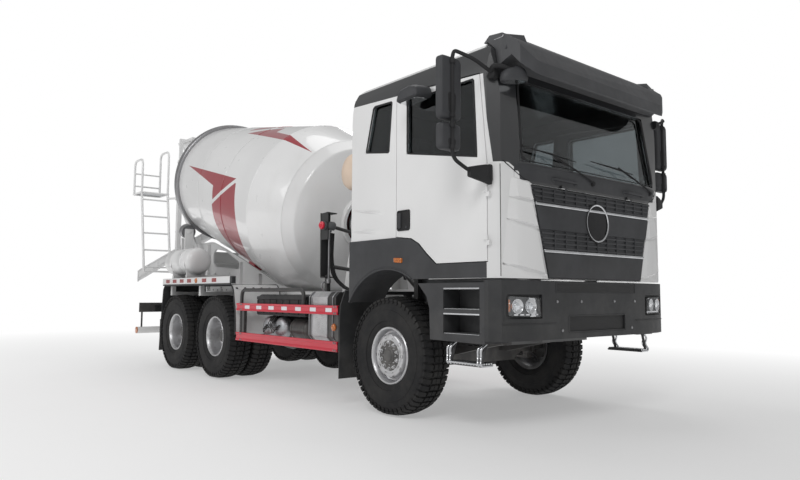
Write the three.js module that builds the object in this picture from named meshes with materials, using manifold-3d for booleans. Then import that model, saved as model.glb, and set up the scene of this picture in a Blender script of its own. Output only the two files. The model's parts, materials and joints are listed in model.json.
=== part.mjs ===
// Concrete mixer truck, three axles, tilting cab, built at its real size in millimetres.
// Working frame: +X to the front, +Y to the driver's side, +Z up, front axle at X = 0, ground at Z = 0.
import * as THREE from "three";
import { mergeVertices } from "three/addons/utils/BufferGeometryUtils.js";
import Module from "manifold-3d";

const wasm = await Module();
wasm.setup();

// ---------- driving dimensions ----------
const GAP = 0.3; // between pieces that touch
const RUN = 0.6; // running gap at a pin or a bearing
const SHUT = 7; // shut line round a door or a lid

const WHEELBASE = 3600; // front axle to first rear axle
const BOGIE = 1350; // between the two rear axles
const TYRE_R = 550;
const TYRE_W = 300;
const BEAD_R = 262; // where the tyre sits on its rim
const RIM_W = 216;
const FRONT_TRACK = 2020;
const REAR_TRACK = 1850;
const TWIN_PITCH = 340;
const KINGPIN_Y = 850;
const STUB_R = 45;

const RAIL_TOP = 1040;
const RAIL_H = 280;
const FRAME_W = 850;
const RAIL_FLANGE = 80;
const RAIL_T = 10;
const RAIL_FRONT = 1250;
const TAIL_X = -7150; // rear edge of the ladder's platform
const RAIL_REAR = -6760;
const SUB_H = 110;
const BODY_HALF = 1240; // half of the body's width

const NOSE_X = 1500;
const CAB_REAR = -480;
const CAB_HALF = 1240;
const ROOF_Z = 3160;
const VISOR_X = 1640; // front lip of the sun visor
const WAIST_Z = 2160;
const SCREEN_TOP = [1398, 2872]; // windscreen's outer edges, [x, z]
const SCREEN_LOW = [1488, 2172];
const FLOOR_Z = 1420;
const FOOTWELL_X = 660;
const WALL = 55;
const DOOR_T = 70;
const DOOR_REAR = 230;
const DOOR_FRONT = 1335;
const DOOR_SILL = 1378;
const DOOR_TOP = 2950;
const SKIRT_TOP = 1629; // top of the arch covers
const ARCH_X = 93;
const ARCH_Z = 650;
const ARCH_R = 694;

const BUMPER_LOW = 758;
const BUMPER_TOP = 1232;
const BUMPER_T = 26;
const CAB_LOW = 1246;
const PIVOT_X = 1440; // cab tilt axis
const PIVOT_Z = 950;

const DRUM_TILT = THREE.MathUtils.degToRad(14.3);
const RING_X = -5700;
const RING_Z = 3010;
const RING_R = 1000;
const RING_W = 110;
const DRUM_MOUTH = -760; // stations along the drum's axis, from the track ring towards the cab
const DRUM_MID = 2930;
const DRUM_NOSE = 3550;
const DRUM_FLANGE = 3960;
const DRUM_R = 1158;
const MOUTH_R = 500;
const DRUM_T = 24;
const ROLLER_R = 120;
const ROLLER_ANGLE = THREE.MathUtils.degToRad(38);

const CHUTE_X = -6690; // swing post of the discharge chute
const CHUTE_HEADING = THREE.MathUtils.degToRad(250);
const CHUTE_REACH = 1160;
const CHUTE_SLOPE = 0.65; // fall of the trough for each unit outwards

const RAIL_LOW = RAIL_TOP - RAIL_H;
const SUB_TOP = RAIL_TOP + SUB_H;
const HALF_FRAME = FRAME_W / 2;
const AXLE_X = [-WHEELBASE, -WHEELBASE - BOGIE];
const BOGIE_X = -WHEELBASE - BOGIE / 2;

// ---------- solids ----------
// A closed geometry as a solid, its faces turned outwards.
function solid(geometry) {
  const bare = geometry.index ? geometry.toNonIndexed() : geometry.clone();
  const only = new THREE.BufferGeometry().setAttribute("position", bare.getAttribute("position"));
  const merged = mergeVertices(only, 1e-3);
  const index = merged.index.array;
  const triangles = [];
  for (let i = 0; i < index.length; i += 3) {
    const [a, b, c] = [index[i], index[i + 1], index[i + 2]];
    if (a !== b && b !== c && c !== a) triangles.push(a, b, c);
  }
  const make = (tris) =>
    new wasm.Manifold(
      new wasm.Mesh({
        numProp: 3,
        vertProperties: merged.attributes.position.array,
        triVerts: new Uint32Array(tris),
      }),
    );
  const made = make(triangles);
  if (made.volume() > 0) return made;
  for (let i = 0; i < triangles.length; i += 3)
    [triangles[i], triangles[i + 1]] = [triangles[i + 1], triangles[i]];
  return make(triangles);
}

const join = (...parts) => parts.flat().reduce((all, part) => all.add(part));
const cut = (body, ...tools) => tools.flat().reduce((left, tool) => left.subtract(tool), body);

// A block between two corners, given in any order.
function block(x0, x1, y0, y1, z0, z1) {
  const geometry = new THREE.BoxGeometry(Math.abs(x1 - x0), Math.abs(y1 - y0), Math.abs(z1 - z0));
  return solid(geometry.translate((x0 + x1) / 2, (y0 + y1) / 2, (z0 + z1) / 2));
}

const BASES = {
  x: [[0, 1, 0], [0, 0, 1], [1, 0, 0]],
  y: [[1, 0, 0], [0, 0, 1], [0, -1, 0]],
  z: [[1, 0, 0], [0, 1, 0], [0, 0, 1]],
};

// An outline drawn across an axis and run along it from one place to another.
// Outlines are [y, z] across X, [x, z] across Y and [x, y] across Z.
function prism(axis, outline, from, to, holes = []) {
  const shape = new THREE.Shape(outline.map(([u, v]) => new THREE.Vector2(u, v)));
  for (const hole of holes) shape.holes.push(new THREE.Path(hole.map(([u, v]) => new THREE.Vector2(u, v))));
  const low = Math.min(from, to);
  const length = Math.abs(to - from);
  const geometry = new THREE.ExtrudeGeometry(shape, { depth: length, bevelEnabled: false });
  const [u, v, w] = BASES[axis].map((b) => new THREE.Vector3(...b));
  const matrix = new THREE.Matrix4().makeBasis(u, v, w);
  const start = axis === "y" ? low + length : low;
  matrix.setPosition(axis === "x" ? start : 0, axis === "y" ? start : 0, axis === "z" ? start : 0);
  return solid(geometry.applyMatrix4(matrix));
}

// A profile of [radius, station] turned about an axis that passes through a point.
function turned(profile, centre, direction, sides = 24) {
  const points = profile.map(([r, s]) => new THREE.Vector2(r, s));
  const geometry = new THREE.LatheGeometry(points, sides);
  const axis = new THREE.Vector3(...direction).normalize();
  geometry.applyQuaternion(new THREE.Quaternion().setFromUnitVectors(new THREE.Vector3(0, 1, 0), axis));
  return solid(geometry.translate(...centre));
}

// A round bar between two points.
function bar(from, to, radius, sides = 6) {
  const a = new THREE.Vector3(...from);
  const along = new THREE.Vector3(...to).sub(a);
  const length = along.length();
  const profile = [[0, 0], [radius, 0], [radius, length], [0, length]];
  return turned(profile, from, along.toArray(), sides);
}

// A round bar bent through a list of points; each leg runs a little past its corner.
function bent(points, radius, sides = 6) {
  const at = points.map((point) => new THREE.Vector3(...point));
  const legs = at.slice(1).map((end, i) => {
    const over = end.clone().sub(at[i]).setLength(radius * 0.6);
    const from = i > 0 ? at[i].clone().sub(over) : at[i];
    const to = i + 2 < at.length ? end.clone().add(over) : end;
    return bar(from.toArray(), to.toArray(), radius, sides);
  });
  return join(legs);
}

// A solid between two outlines of the same number of corners, each a list of [x, y, z].
function loft(...rings) {
  const n = rings[0].length;
  const triangles = [];
  const push = (...corners) => corners.forEach((corner) => triangles.push(...corner));
  const cap = (ring, flip) => {
    for (let i = 1; i < n - 1; i++)
      if (flip) push(ring[0], ring[i + 1], ring[i]);
      else push(ring[0], ring[i], ring[i + 1]);
  };
  for (let k = 0; k + 1 < rings.length; k++)
    for (let i = 0; i < n; i++) {
      const j = (i + 1) % n;
      push(rings[k][i], rings[k][j], rings[k + 1][j]);
      push(rings[k][i], rings[k + 1][j], rings[k + 1][i]);
    }
  cap(rings[0], true);
  cap(rings[rings.length - 1], false);
  const geometry = new THREE.BufferGeometry();
  geometry.setAttribute("position", new THREE.Float32BufferAttribute(triangles, 3));
  return solid(geometry);
}

const rectangle = (x0, x1, y0, y1, z) => [[x0, y0, z], [x1, y0, z], [x1, y1, z], [x0, y1, z]];
const mirrored = (points) => points.concat([...points].reverse().map(([x, y]) => [x, -y]));
const arc = (cx, cz, r, from, to, steps) =>
  Array.from({ length: steps + 1 }, (_, i) => {
    const a = THREE.MathUtils.degToRad(from + ((to - from) * i) / steps);
    return [cx + r * Math.cos(a), cz + r * Math.sin(a)];
  });

// ---------- the truck and its finishes ----------
const truck = new THREE.Group();

const FINISH = {
  white: [0xe8e8e6, 0.35, 0.0],
  dark: [0x3a3b3d, 0.55, 0.0],
  black: [0x1c1d1f, 0.6, 0.1],
  steel: [0x8e9194, 0.4, 0.8],
  silver: [0xc4c6c8, 0.35, 0.85],
  rubber: [0x17181a, 0.85, 0.0],
  glass: [0x30363a, 0.08, 0.1],
  red: [0xb3202c, 0.4, 0.0],
  seat: [0x4a4a4c, 0.9, 0.0],
  mirror: [0x26282a, 0.5, 0.0],
};

function piece(name, finish, made, group = truck) {
  const mesh = made.getMesh();
  const geometry = new THREE.BufferGeometry();
  geometry.setAttribute("position", new THREE.BufferAttribute(mesh.vertProperties, 3));
  geometry.setIndex(new THREE.BufferAttribute(mesh.triVerts, 1));
  geometry.computeVertexNormals();
  const [color, roughness, metalness] = FINISH[finish];
  const material = new THREE.MeshStandardMaterial({ color, roughness, metalness });
  const node = new THREE.Mesh(geometry, material);
  node.name = name;
  group.add(node);
  return node;
}

const SIDES = [["right", -1], ["left", 1]];

// ---------- chassis ----------
function railChannel(side) {
  const out = side * HALF_FRAME;
  const web = side * (HALF_FRAME - RAIL_T);
  const lip = side * (HALF_FRAME - RAIL_FLANGE);
  const profile = [
    [out, RAIL_LOW], [out, RAIL_TOP], [lip, RAIL_TOP], [lip, RAIL_TOP - RAIL_T],
    [web, RAIL_TOP - RAIL_T], [web, RAIL_LOW + RAIL_T], [lip, RAIL_LOW + RAIL_T], [lip, RAIL_LOW],
  ];
  return prism("x", profile, RAIL_REAR, RAIL_FRONT);
}

const UNDERRUN_Z = 490;
const UNDERRUN_X = -6860;

// Posts that the back of the cab rests on.
const cabRests = () =>
  SIDES.map(([, s]) => block(-470, -405, s * (HALF_FRAME - 75), s * (HALF_FRAME - 10), RAIL_TOP - 5, FLOOR_Z - RUN));

function frameRails() {
  const inner = HALF_FRAME - RAIL_T / 2;
  const crossAt = [RAIL_FRONT - 40, -1750, -2700, AXLE_X[0] + 480, BOGIE_X, AXLE_X[1] - 500, RAIL_REAR + 40];
  const crosses = crossAt.map((x) => block(x - 35, x + 35, -inner, inner, RAIL_TOP - 130, RAIL_TOP - 15));
  const underrun = bar([UNDERRUN_X, -1150, UNDERRUN_Z], [UNDERRUN_X, 1150, UNDERRUN_Z], 55, 12);
  const hangers = SIDES.map(([, s]) => {
    const drop = [[RAIL_REAR + 60, RAIL_TOP - 60], [RAIL_REAR, RAIL_TOP - 60], [UNDERRUN_X - 20, UNDERRUN_Z],
      [UNDERRUN_X + 40, UNDERRUN_Z], [RAIL_REAR + 60, RAIL_LOW + 20]];
    return prism("y", drop, s * (HALF_FRAME - 18), s * (HALF_FRAME - 2));
  });
  const lampBrackets = SIDES.map(([, s]) =>
    join(
      block(RAIL_REAR + 8, RAIL_REAR + 20, s * (HALF_FRAME - 6), s * 1160, 800, 960),
      block(UNDERRUN_X - 12, UNDERRUN_X + 12, s * 1060, s * 1084, UNDERRUN_Z, 830),
      block(UNDERRUN_X - 12, RAIL_REAR + 20, s * 1060, s * 1084, 800, 830),
    ),
  );
  return join(SIDES.map(([, s]) => railChannel(s)), crosses, underrun, hangers, lampBrackets, cabRests());
}

const CHUTE_PIN = 45;
const TURRET_TOP = 1800;
const FENDER_TOP = 1240;
const FENDER_T = 10;

function subframe() {
  const beams = SIDES.map(([, s]) =>
    block(RAIL_REAR, -1150, s * (HALF_FRAME - 85), s * HALF_FRAME, RAIL_TOP + GAP, SUB_TOP),
  );
  const ties = [-1200, -1900, -2500].map((x) =>
    block(x - 40, x + 40, -HALF_FRAME + 60, HALF_FRAME - 60, RAIL_TOP + 20, SUB_TOP - 20),
  );
  const fenderArms = SIDES.map(([, s]) =>
    [-5340, AXLE_X[0] - BOGIE / 2, -3150].map((x) =>
      join(
        block(x - 30, x + 30, s * (HALF_FRAME - 40), s * 1150, SUB_TOP - 62, SUB_TOP - 4),
        [600, 1090].map((y) =>
          block(x - 30, x + 30, s * y, s * (y + 60), SUB_TOP - 20, FENDER_TOP - FENDER_T - GAP),
        ),
      ),
    ),
  );
  const deck = block(RAIL_REAR, -6540, -HALF_FRAME + 60, HALF_FRAME - 60, RAIL_TOP + 20, SUB_TOP);
  const pin = bar([CHUTE_X, 0, SUB_TOP - 20], [CHUTE_X, 0, TURRET_TOP - 30], CHUTE_PIN, 20);
  return join(beams, ties, fenderArms.flat(), deck, pin);
}

// ---------- the drum's own axis ----------
const AXIS = [Math.cos(DRUM_TILT), 0, -Math.sin(DRUM_TILT)];
const onAxis = (s, radial = 0, y = 0) => [
  RING_X + s * AXIS[0] + radial * Math.sin(DRUM_TILT),
  y,
  RING_Z + s * AXIS[2] + radial * Math.cos(DRUM_TILT),
];
const aboutDrum = (profile, sides) => turned(profile, [RING_X, 0, RING_Z], AXIS, sides);

const DRUM_SIDES = 32;

function drumShell() {
  const outer = [
    [MOUTH_R, DRUM_MOUTH], [RING_R - 60, -60], [RING_R - 42, 60], [DRUM_R, DRUM_MID], [DRUM_R - 150, DRUM_NOSE],
    [DRUM_R - 250, DRUM_NOSE + 150], [DRUM_R - 470, DRUM_NOSE + 290], [340, DRUM_FLANGE - 60],
  ];
  const t = DRUM_T;
  const inner = outer.map(([r, s]) => [r - t, s - (s > DRUM_MID ? t : 0)]);
  inner[0] = [MOUTH_R - t, DRUM_MOUTH];
  const shell = [...outer, [340, DRUM_FLANGE], [0, DRUM_FLANGE], [0, DRUM_FLANGE - 60 - t], ...inner.reverse(), outer[0]];
  const body = aboutDrum(shell, DRUM_SIDES);
  const ring = aboutDrum(
    [[RING_R - 60, -RING_W / 2], [RING_R, -RING_W / 2], [RING_R, RING_W / 2], [RING_R - 60, RING_W / 2],
      [RING_R - 60, -RING_W / 2]],
    DRUM_SIDES,
  );
  return join(body, ring);
}

const ROLLER_AT = RING_R + ROLLER_R + RUN;
const rollerCentre = (side, s = 0) =>
  onAxis(s, -ROLLER_AT * Math.cos(ROLLER_ANGLE), side * ROLLER_AT * Math.sin(ROLLER_ANGLE));
const ROLLER_PIN = 32;

function roller(side) {
  const half = RING_W / 2 + 5;
  const profile = [[ROLLER_PIN + RUN, -half], [ROLLER_R, -half], [ROLLER_R, half], [ROLLER_PIN + RUN, half],
    [ROLLER_PIN + RUN, -half]];
  return turned(profile, rollerCentre(side), AXIS, 28);
}

// ---------- pedestals ----------
const PEDESTAL_HALF = HALF_FRAME - 1;

function frontPedestal() {
  const leg = SIDES.map(([, s]) => {
    const outline = [[s * (PEDESTAL_HALF - 94), SUB_TOP + GAP], [s * PEDESTAL_HALF, SUB_TOP + GAP],
      [s * 300, 1900], [s * 190, 1900]];
    return prism("x", outline, -1750, -1420);
  });
  const base = block(-1780, -1390, -PEDESTAL_HALF, PEDESTAL_HALF, SUB_TOP + GAP, SUB_TOP + 30);
  const saddle = block(-1740, -1430, -250, 250, 1560, 1900);
  const reducer = aboutDrum([[0, DRUM_FLANGE + RUN], [270, DRUM_FLANGE + RUN], [270, DRUM_FLANGE + 300],
    [190, DRUM_FLANGE + 360], [130, DRUM_FLANGE + 380], [130, DRUM_FLANGE + 620], [0, DRUM_FLANGE + 620]], 24);
  const drumRoom = aboutDrum([[0, 3000], [DRUM_R, 3000], [DRUM_R - 120, DRUM_NOSE + 40],
    [DRUM_R - 300, DRUM_FLANGE - 40], [420, DRUM_FLANGE + 30], [0, DRUM_FLANGE + 30]], 24);
  return join(cut(join(base, leg, saddle), drumRoom), reducer);
}

const WINDOW = [[-5380, 1560], [-4560, 1500], [-4480, 1530], [-4500, 1600], [-4980, 1790], [-5330, 1840],
  [-5420, 1780], [-5430, 1620]];
const CHEEK_Y = HALF_FRAME + 5;

function rearPedestal() {
  const top = SUB_TOP + GAP;
  const cheek = [[-2900, top], [-2900, 1165], [-3300, 1250], [-4000, 1500], [-5000, 1830], [-5450, 1960],
    [-6250, 1960], [-6330, 1700], [-6330, top]];
  const cheeks = SIDES.map(([, s]) =>
    prism("y", cheek, s * (CHEEK_Y - 18), s * CHEEK_Y, [WINDOW]),
  );
  const lip = SIDES.map(([, s]) => block(-6330, -2950, s * (CHEEK_Y - 90), s * (CHEEK_Y - 10), top, top + 12));
  const beam = block(-6030, -5690, -740, 740, 1640, 1820);
  const tie = block(-6330, -6230, -CHEEK_Y + 10, CHEEK_Y - 10, top, 1700);
  return join(cheeks, lip, beam, tie, SIDES.map(([, s]) => rollerMount(s)), rearPosts(), funnel());
}

// Two ears and a pin that hold a drum roller.
function rollerMount(side) {
  const half = RING_W / 2 + 5 + RUN;
  const [, y] = rollerCentre(side);
  const ears = [[-half - 24, -half], [half, half + 24]].map(([a, b]) => {
    const [xa, , z] = rollerCentre(side, a);
    const [xb] = rollerCentre(side, b);
    return block(xa, xb + 6, y - 70, y + 70, 1700, z + 50);
  });
  const spin = [[0, -half - 12], [ROLLER_PIN, -half - 12], [ROLLER_PIN, half + 12], [0, half + 12]];
  const pin = turned(spin, rollerCentre(side), AXIS, 20);
  const room = turned([[0, -half], [ROLLER_R + 12, -half], [ROLLER_R + 12, half], [0, half]],
    rollerCentre(side), AXIS, 28);
  return join(cut(join(ears), room), pin);
}

const POST = { x0: -6600, x1: -6520, y0: 560, y1: 630, top: 3480 };

function rearPosts() {
  const posts = SIDES.map(([, s]) => block(POST.x0, POST.x1, s * POST.y0, s * POST.y1, 1500, POST.top));
  const feet = SIDES.map(([, s]) =>
    block(POST.x0, -6250, s * (CHEEK_Y - 60), s * POST.y1, 1480, 1620),
  );
  const braces = SIDES.map(([, s]) =>
    prism("y", [[-5800, 1700], [POST.x0 + 10, 2600], [POST.x0 + 10, 2700], [-5700, 1740]], s * 520, s * 545),
  );
  const braceTops = SIDES.map(([, s]) => block(POST.x0, POST.x1, s * 520, s * 600, 2580, 2700));
  return join(posts, feet, braces, braceTops);
}

const FUNNEL = { low: 2420, high: 2640 };

// Open box below the drum's mouth that leads the load into the chute.
function funnel() {
  const skin = 10;
  const ring = (low, d, z) => (low ? rectangle(-6930 + d, -6560 - d, -190 + d, 190 - d, z)
    : rectangle(-7010 + d, -6530 - d, -330 + d, 330 - d, z));
  const outer = loft(ring(true, 0, FUNNEL.low), ring(false, 0, FUNNEL.high));
  const inner = loft(ring(true, skin, FUNNEL.low - 4), ring(false, skin, FUNNEL.high + 4));
  const arms = SIDES.map(([, s]) => block(-6590, -6545, s * 300, s * (POST.y0 + 20), 2560, 2610));
  return join(cut(outer, inner), arms);
}

function chargeHopper() {
  const skin = 10;
  const walls = [[-6960, -6370, -450, 450, 3870], [-6760, -6440, -270, 270, 3500], [-6600, -6350, -230, 230, 3250]];
  const grow = (d, dz) =>
    walls.map(([x0, x1, y0, y1, z], i) =>
      rectangle(x0 + d, x1 - d, y0 + d, y1 - d, z + (i === 0 ? dz : i === 2 ? -dz : 0)),
    ).reverse();
  const shell = cut(loft(...grow(0, 0)), loft(...grow(skin, 5)));
  const rim = cut(block(-6985, -6345, -475, 475, 3835, 3875), block(-6945, -6385, -435, 435, 3800, 3900));
  const legs = SIDES.map(([, s]) =>
    join(
      block(POST.x0 + 10, POST.x1 - 20, s * 565, s * 615, POST.top + GAP, 3860),
      block(POST.x0 + 10, POST.x1 - 20, s * 440, s * 615, 3820, 3860),
    ),
  );
  return join(shell, rim, legs);
}

// ---------- ladder and platform ----------
const LADDER = { y0: 740, y1: 1190, x0: -6500, z0: 1480, x1: -6730, z1: 2850, floorRear: TAIL_X };

function accessLadder() {
  const { y0, y1, x0, z0, x1, z1, floorRear } = LADDER;
  const at = (k) => [x0 + (x1 - x0) * k, z0 + (z1 - z0) * k];
  const pieces = [];
  for (const y of [-y0, -y1]) pieces.push(bar([x0, y, z0], [x1, y, z1], 20));
  for (let i = 0; i < 5; i++) {
    const [x, z] = at(0.06 + i * 0.215);
    pieces.push(bar([x, -y1, z], [x, -y0, z], 14));
  }
  pieces.push(block(floorRear, x1 + 25, -y1 - 25, -y0 + 25, z1, z1 + 30));
  const hoop = (y, top) => bent([[x1, y, z1], [x1, y, top], [floorRear + 20, y, top], [floorRear + 20, y, z1 + 10]], 18);
  pieces.push(hoop(-y1, 3450), hoop(-y0, 3640));
  for (const z of [3020, 3240]) pieces.push(bar([floorRear + 20, -y1, z], [floorRear + 20, -y0, z], 14));
  // stays to the rear post
  const stay = (z) => {
    const k = (z - z0) / (z1 - z0);
    const x = x0 + (x1 - x0) * k;
    return bar([x, -y0, z], [(POST.x0 + POST.x1) / 2, -POST.y1 - 18, z], 18);
  };
  const pad = (z) => block(POST.x0 + 10, POST.x1 - 10, -POST.y1 - 30, -POST.y1 - GAP, z - 30, z + 30);
  for (const z of [z0 + 60, z1 - 60]) pieces.push(stay(z), pad(z));
  pieces.push(bar([x0, -y0, z0 + 10], [x0, -y1, z0 + 10], 16));
  return join(pieces);
}

// ---------- water tank ----------
function waterTank() {
  const [x0, x1, y, z, r] = [-5700, -4720, -960, 1610, 200];
  const shell = turned([[0, 0], [r * 0.75, 8], [r, 60], [r, x1 - x0 - 60], [r * 0.75, x1 - x0 - 8], [0, x1 - x0]],
    [x0, y, z], [1, 0, 0], 24);
  const brackets = [-5400, -4880].map((x) =>
    join(
      block(x - 30, x + 30, -CHEEK_Y - GAP, y - 120, 1350, 1400),
      block(x - 30, x + 30, y - 150, y + 150, 1350, z - 120),
      block(x - 60, x + 60, -CHEEK_Y - GAP, -CHEEK_Y - 12, 1300, 1450),
    ),
  );
  return join(shell, brackets);
}

// ---------- wheels ----------
const WHEEL_SIDES = 24;

function tyreProfile(offset = 0) {
  const w = TYRE_W / 2;
  const bead = RIM_W / 2 - 10;
  return [
    [BEAD_R + GAP, offset - bead], [BEAD_R + 110, offset - w], [TYRE_R - 50, offset - w + 3],
    [TYRE_R, offset - w + 42], [TYRE_R, offset + w - 42], [TYRE_R - 50, offset + w - 3],
    [BEAD_R + 110, offset + w], [BEAD_R + GAP, offset + bead],
  ];
}

function frontTyre(centre, side) {
  const profile = tyreProfile();
  return turned([...profile, profile[0]], centre, [0, side, 0], WHEEL_SIDES);
}

// Twin tyres, joined by the band between them that the two rims carry.
function twinTyres(centre, side) {
  const outer = tyreProfile(TWIN_PITCH / 2);
  const inner = tyreProfile(-TWIN_PITCH / 2);
  const profile = [...inner.slice(0, 7), [BEAD_R + 26, -30], [BEAD_R + 26, 30], ...outer.slice(1), inner[0]];
  return turned(profile, centre, [0, side, 0], WHEEL_SIDES);
}

function frontRim(centre, side) {
  const [low, high] = [-RIM_W / 2, RIM_W / 2];
  const profile = [
    [STUB_R + RUN, -70], [120, -70], [120, 20], [175, 52], [BEAD_R - 24, 52], [BEAD_R - 24, low],
    [BEAD_R, low], [BEAD_R, high], [BEAD_R - 20, high], [BEAD_R - 20, 74], [175, 76], [125, 100],
    [95, 150], [0, 150], [0, 122], [STUB_R + RUN, 122], [STUB_R + RUN, -70],
  ];
  return turned(profile, centre, [0, side, 0], WHEEL_SIDES);
}

const TWIN_DISC = 12; // the twin discs meet at the twin's middle

function twinRims(centre, side) {
  const edge = (TWIN_PITCH + RIM_W) / 2;
  const profile = [
    [STUB_R + RUN, -170], [110, -170], [110, -TWIN_DISC], [BEAD_R - 24, -TWIN_DISC], [BEAD_R - 24, -edge],
    [BEAD_R, -edge], [BEAD_R, edge], [BEAD_R - 20, edge], [BEAD_R - 20, TWIN_DISC], [150, TWIN_DISC],
    [100, 200], [0, 200], [0, 172], [STUB_R + RUN, 172], [STUB_R + RUN, -170],
  ];
  return turned(profile, centre, [0, side, 0], WHEEL_SIDES);
}

// ---------- axles and steering ----------
const BOSS_R = 42;
const PIN_R = 24;
const KNUCKLE_PLATE = 880;
const STEER_ARM = 190;
const ARM_Z = TYRE_R - 118;

function frontAxle() {
  const beam = block(-50, 50, -KINGPIN_Y, KINGPIN_Y, TYRE_R - 50, TYRE_R + 40);
  const drop = block(-50, 50, -560, 560, TYRE_R - 130, TYRE_R - 20);
  const ramps = SIDES.map(([, s]) =>
    prism("x", [[s * 500, TYRE_R - 130], [s * 560, TYRE_R - 130], [s * 700, TYRE_R - 50], [s * 700, TYRE_R + 40],
      [s * 500, TYRE_R - 20]], -50, 50),
  );
  const bosses = SIDES.map(([, s]) =>
    turned([[0, -68], [PIN_R, -68], [PIN_R, -45], [BOSS_R, -45], [BOSS_R, 45], [PIN_R, 45], [PIN_R, 68], [0, 68]],
      [0, s * KINGPIN_Y, TYRE_R - 5], [0, 0, 1], 16),
  );
  const trim = SIDES.map(([, s]) => block(-60, 60, s * (KINGPIN_Y - 10), s * (KINGPIN_Y + 70), TYRE_R - 150, TYRE_R + 150));
  const springY = HALF_FRAME - 40;
  const springs = SIDES.map(([, s]) => {
    const low = TYRE_R - 20;
    const leaf = [[-800, low + 160], [-500, low + 110], [0, low + 70], [500, low + 110], [800, low + 160], [800, low + 142],
      [450, low + 70], [150, low], [-150, low], [-450, low + 70], [-800, low + 142]];
    return join(
      prism("y", leaf, s * (springY - 40), s * (springY + 40)),
      block(-815, -770, s * (springY - 35), s * (springY + 35), low + 130, RAIL_LOW - GAP),
      block(770, 815, s * (springY - 35), s * (springY + 35), low + 130, RAIL_LOW - GAP),
    );
  });
  return join(cut(join(beam, drop, ramps), trim), bosses, springs);
}

function knuckle(side) {
  const y = (v) => side * v;
  const mid = TYRE_R - 5;
  const ear = (z0, z1) =>
    cut(
      join(
        turned([[0, z0 - mid], [BOSS_R, z0 - mid], [BOSS_R, z1 - mid], [0, z1 - mid]], [0, y(KINGPIN_Y), mid], [0, 0, 1], 20),
        block(-BOSS_R, BOSS_R, y(KINGPIN_Y), y(KNUCKLE_PLATE + 40), z0, z1),
      ),
      turned([[0, -80], [PIN_R + RUN, -80], [PIN_R + RUN, 80], [0, 80]], [0, y(KINGPIN_Y), mid], [0, 0, 1], 20),
    );
  const plate = block(-60, 60, y(KNUCKLE_PLATE + 22), y(KNUCKLE_PLATE + 42), mid - 72, mid + 72);
  const track = FRONT_TRACK / 2;
  const stub = bar([0, y(KNUCKLE_PLATE + 30), TYRE_R], [0, y(track + 120), TYRE_R], STUB_R, 20);
  const arm = join(
    block(-STEER_ARM - 24, 0, y(KINGPIN_Y - 24), y(KINGPIN_Y + 24), ARM_Z - 14, ARM_Z + 14),
    block(-30, 30, y(KINGPIN_Y - 24), y(KINGPIN_Y + 50), ARM_Z - 14, mid - 48),
    block(-30, 30, y(KINGPIN_Y), y(KNUCKLE_PLATE + 42), ARM_Z - 14, ARM_Z + 14),
    bar([-STEER_ARM, y(KINGPIN_Y), ARM_Z], [-STEER_ARM, y(KINGPIN_Y), ARM_Z - 48], 12, 12),
  );
  const pinRoom = turned([[0, -80], [PIN_R + RUN, -80], [PIN_R + RUN, 80], [0, 80]], [0, y(KINGPIN_Y), mid], [0, 0, 1], 20);
  return join(ear(mid + 46, mid + 70), cut(join(ear(mid - 70, mid - 46), arm), pinRoom), plate, stub);
}

function tieRod() {
  const z = ARM_Z - 14 - RUN - 16;
  const eye = (side) => {
    const ring = [[12 + RUN, -16], [30, -16], [30, 16], [12 + RUN, 16], [12 + RUN, -16]];
    return turned(ring, [-STEER_ARM, side * KINGPIN_Y, z], [0, 0, 1], 16);
  };
  const rod = bar([-STEER_ARM, -KINGPIN_Y + 24, z], [-STEER_ARM, KINGPIN_Y - 24, z], 16, 10);
  return join(rod, eye(1), eye(-1));
}

const HUB_STUB = 168;

function rearBogie() {
  const parts = AXLE_X.map((x) => {
    const inner = REAR_TRACK / 2 - 172;
    const tube = bar([x, -inner, TYRE_R], [x, inner, TYRE_R], 85, 10);
    const ends = bar([x, -REAR_TRACK / 2 - HUB_STUB, TYRE_R], [x, REAR_TRACK / 2 + HUB_STUB, TYRE_R], STUB_R, 16);
    const diff = turned([[0, -190], [120, -190], [210, -90], [230, 0], [210, 90], [120, 170], [0, 170]],
      [x, 0, TYRE_R], [1, 0, 0], 12);
    return join(tube, ends, diff);
  });
  const link = bar([AXLE_X[0], 0, TYRE_R], [AXLE_X[1], 0, TYRE_R], 50, 10);
  const springY = 480;
  const packs = SIDES.map(([, s]) => {
    const leaf = [[AXLE_X[1] - 110, 640], [AXLE_X[1] - 110, 675], [BOGIE_X - 350, 720], [BOGIE_X, 735],
      [BOGIE_X + 350, 720], [AXLE_X[0] + 110, 675], [AXLE_X[0] + 110, 640], [BOGIE_X + 200, 600], [BOGIE_X - 200, 600]];
    return join(
      prism("y", leaf, s * (springY - 45), s * (springY + 45)),
      AXLE_X.map((x) => block(x - 70, x + 70, s * (springY - 45), s * (springY + 45), 560, 650)),
      block(BOGIE_X - 110, BOGIE_X + 110, s * (springY - 52), s * (springY + 60), 470, 620),
    );
  });
  const trunnion = bar([BOGIE_X, -springY, 530], [BOGIE_X, springY, 530], 55, 12);
  const brackets = SIDES.map(([, s]) =>
    prism("y", [[BOGIE_X - 90, 500], [BOGIE_X + 90, 500], [BOGIE_X + 170, RAIL_LOW - GAP], [BOGIE_X - 170, RAIL_LOW - GAP]],
      s * (HALF_FRAME - 75), s * (HALF_FRAME - 5)),
  );
  return join(parts, link, packs, trunnion, brackets);
}

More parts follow.
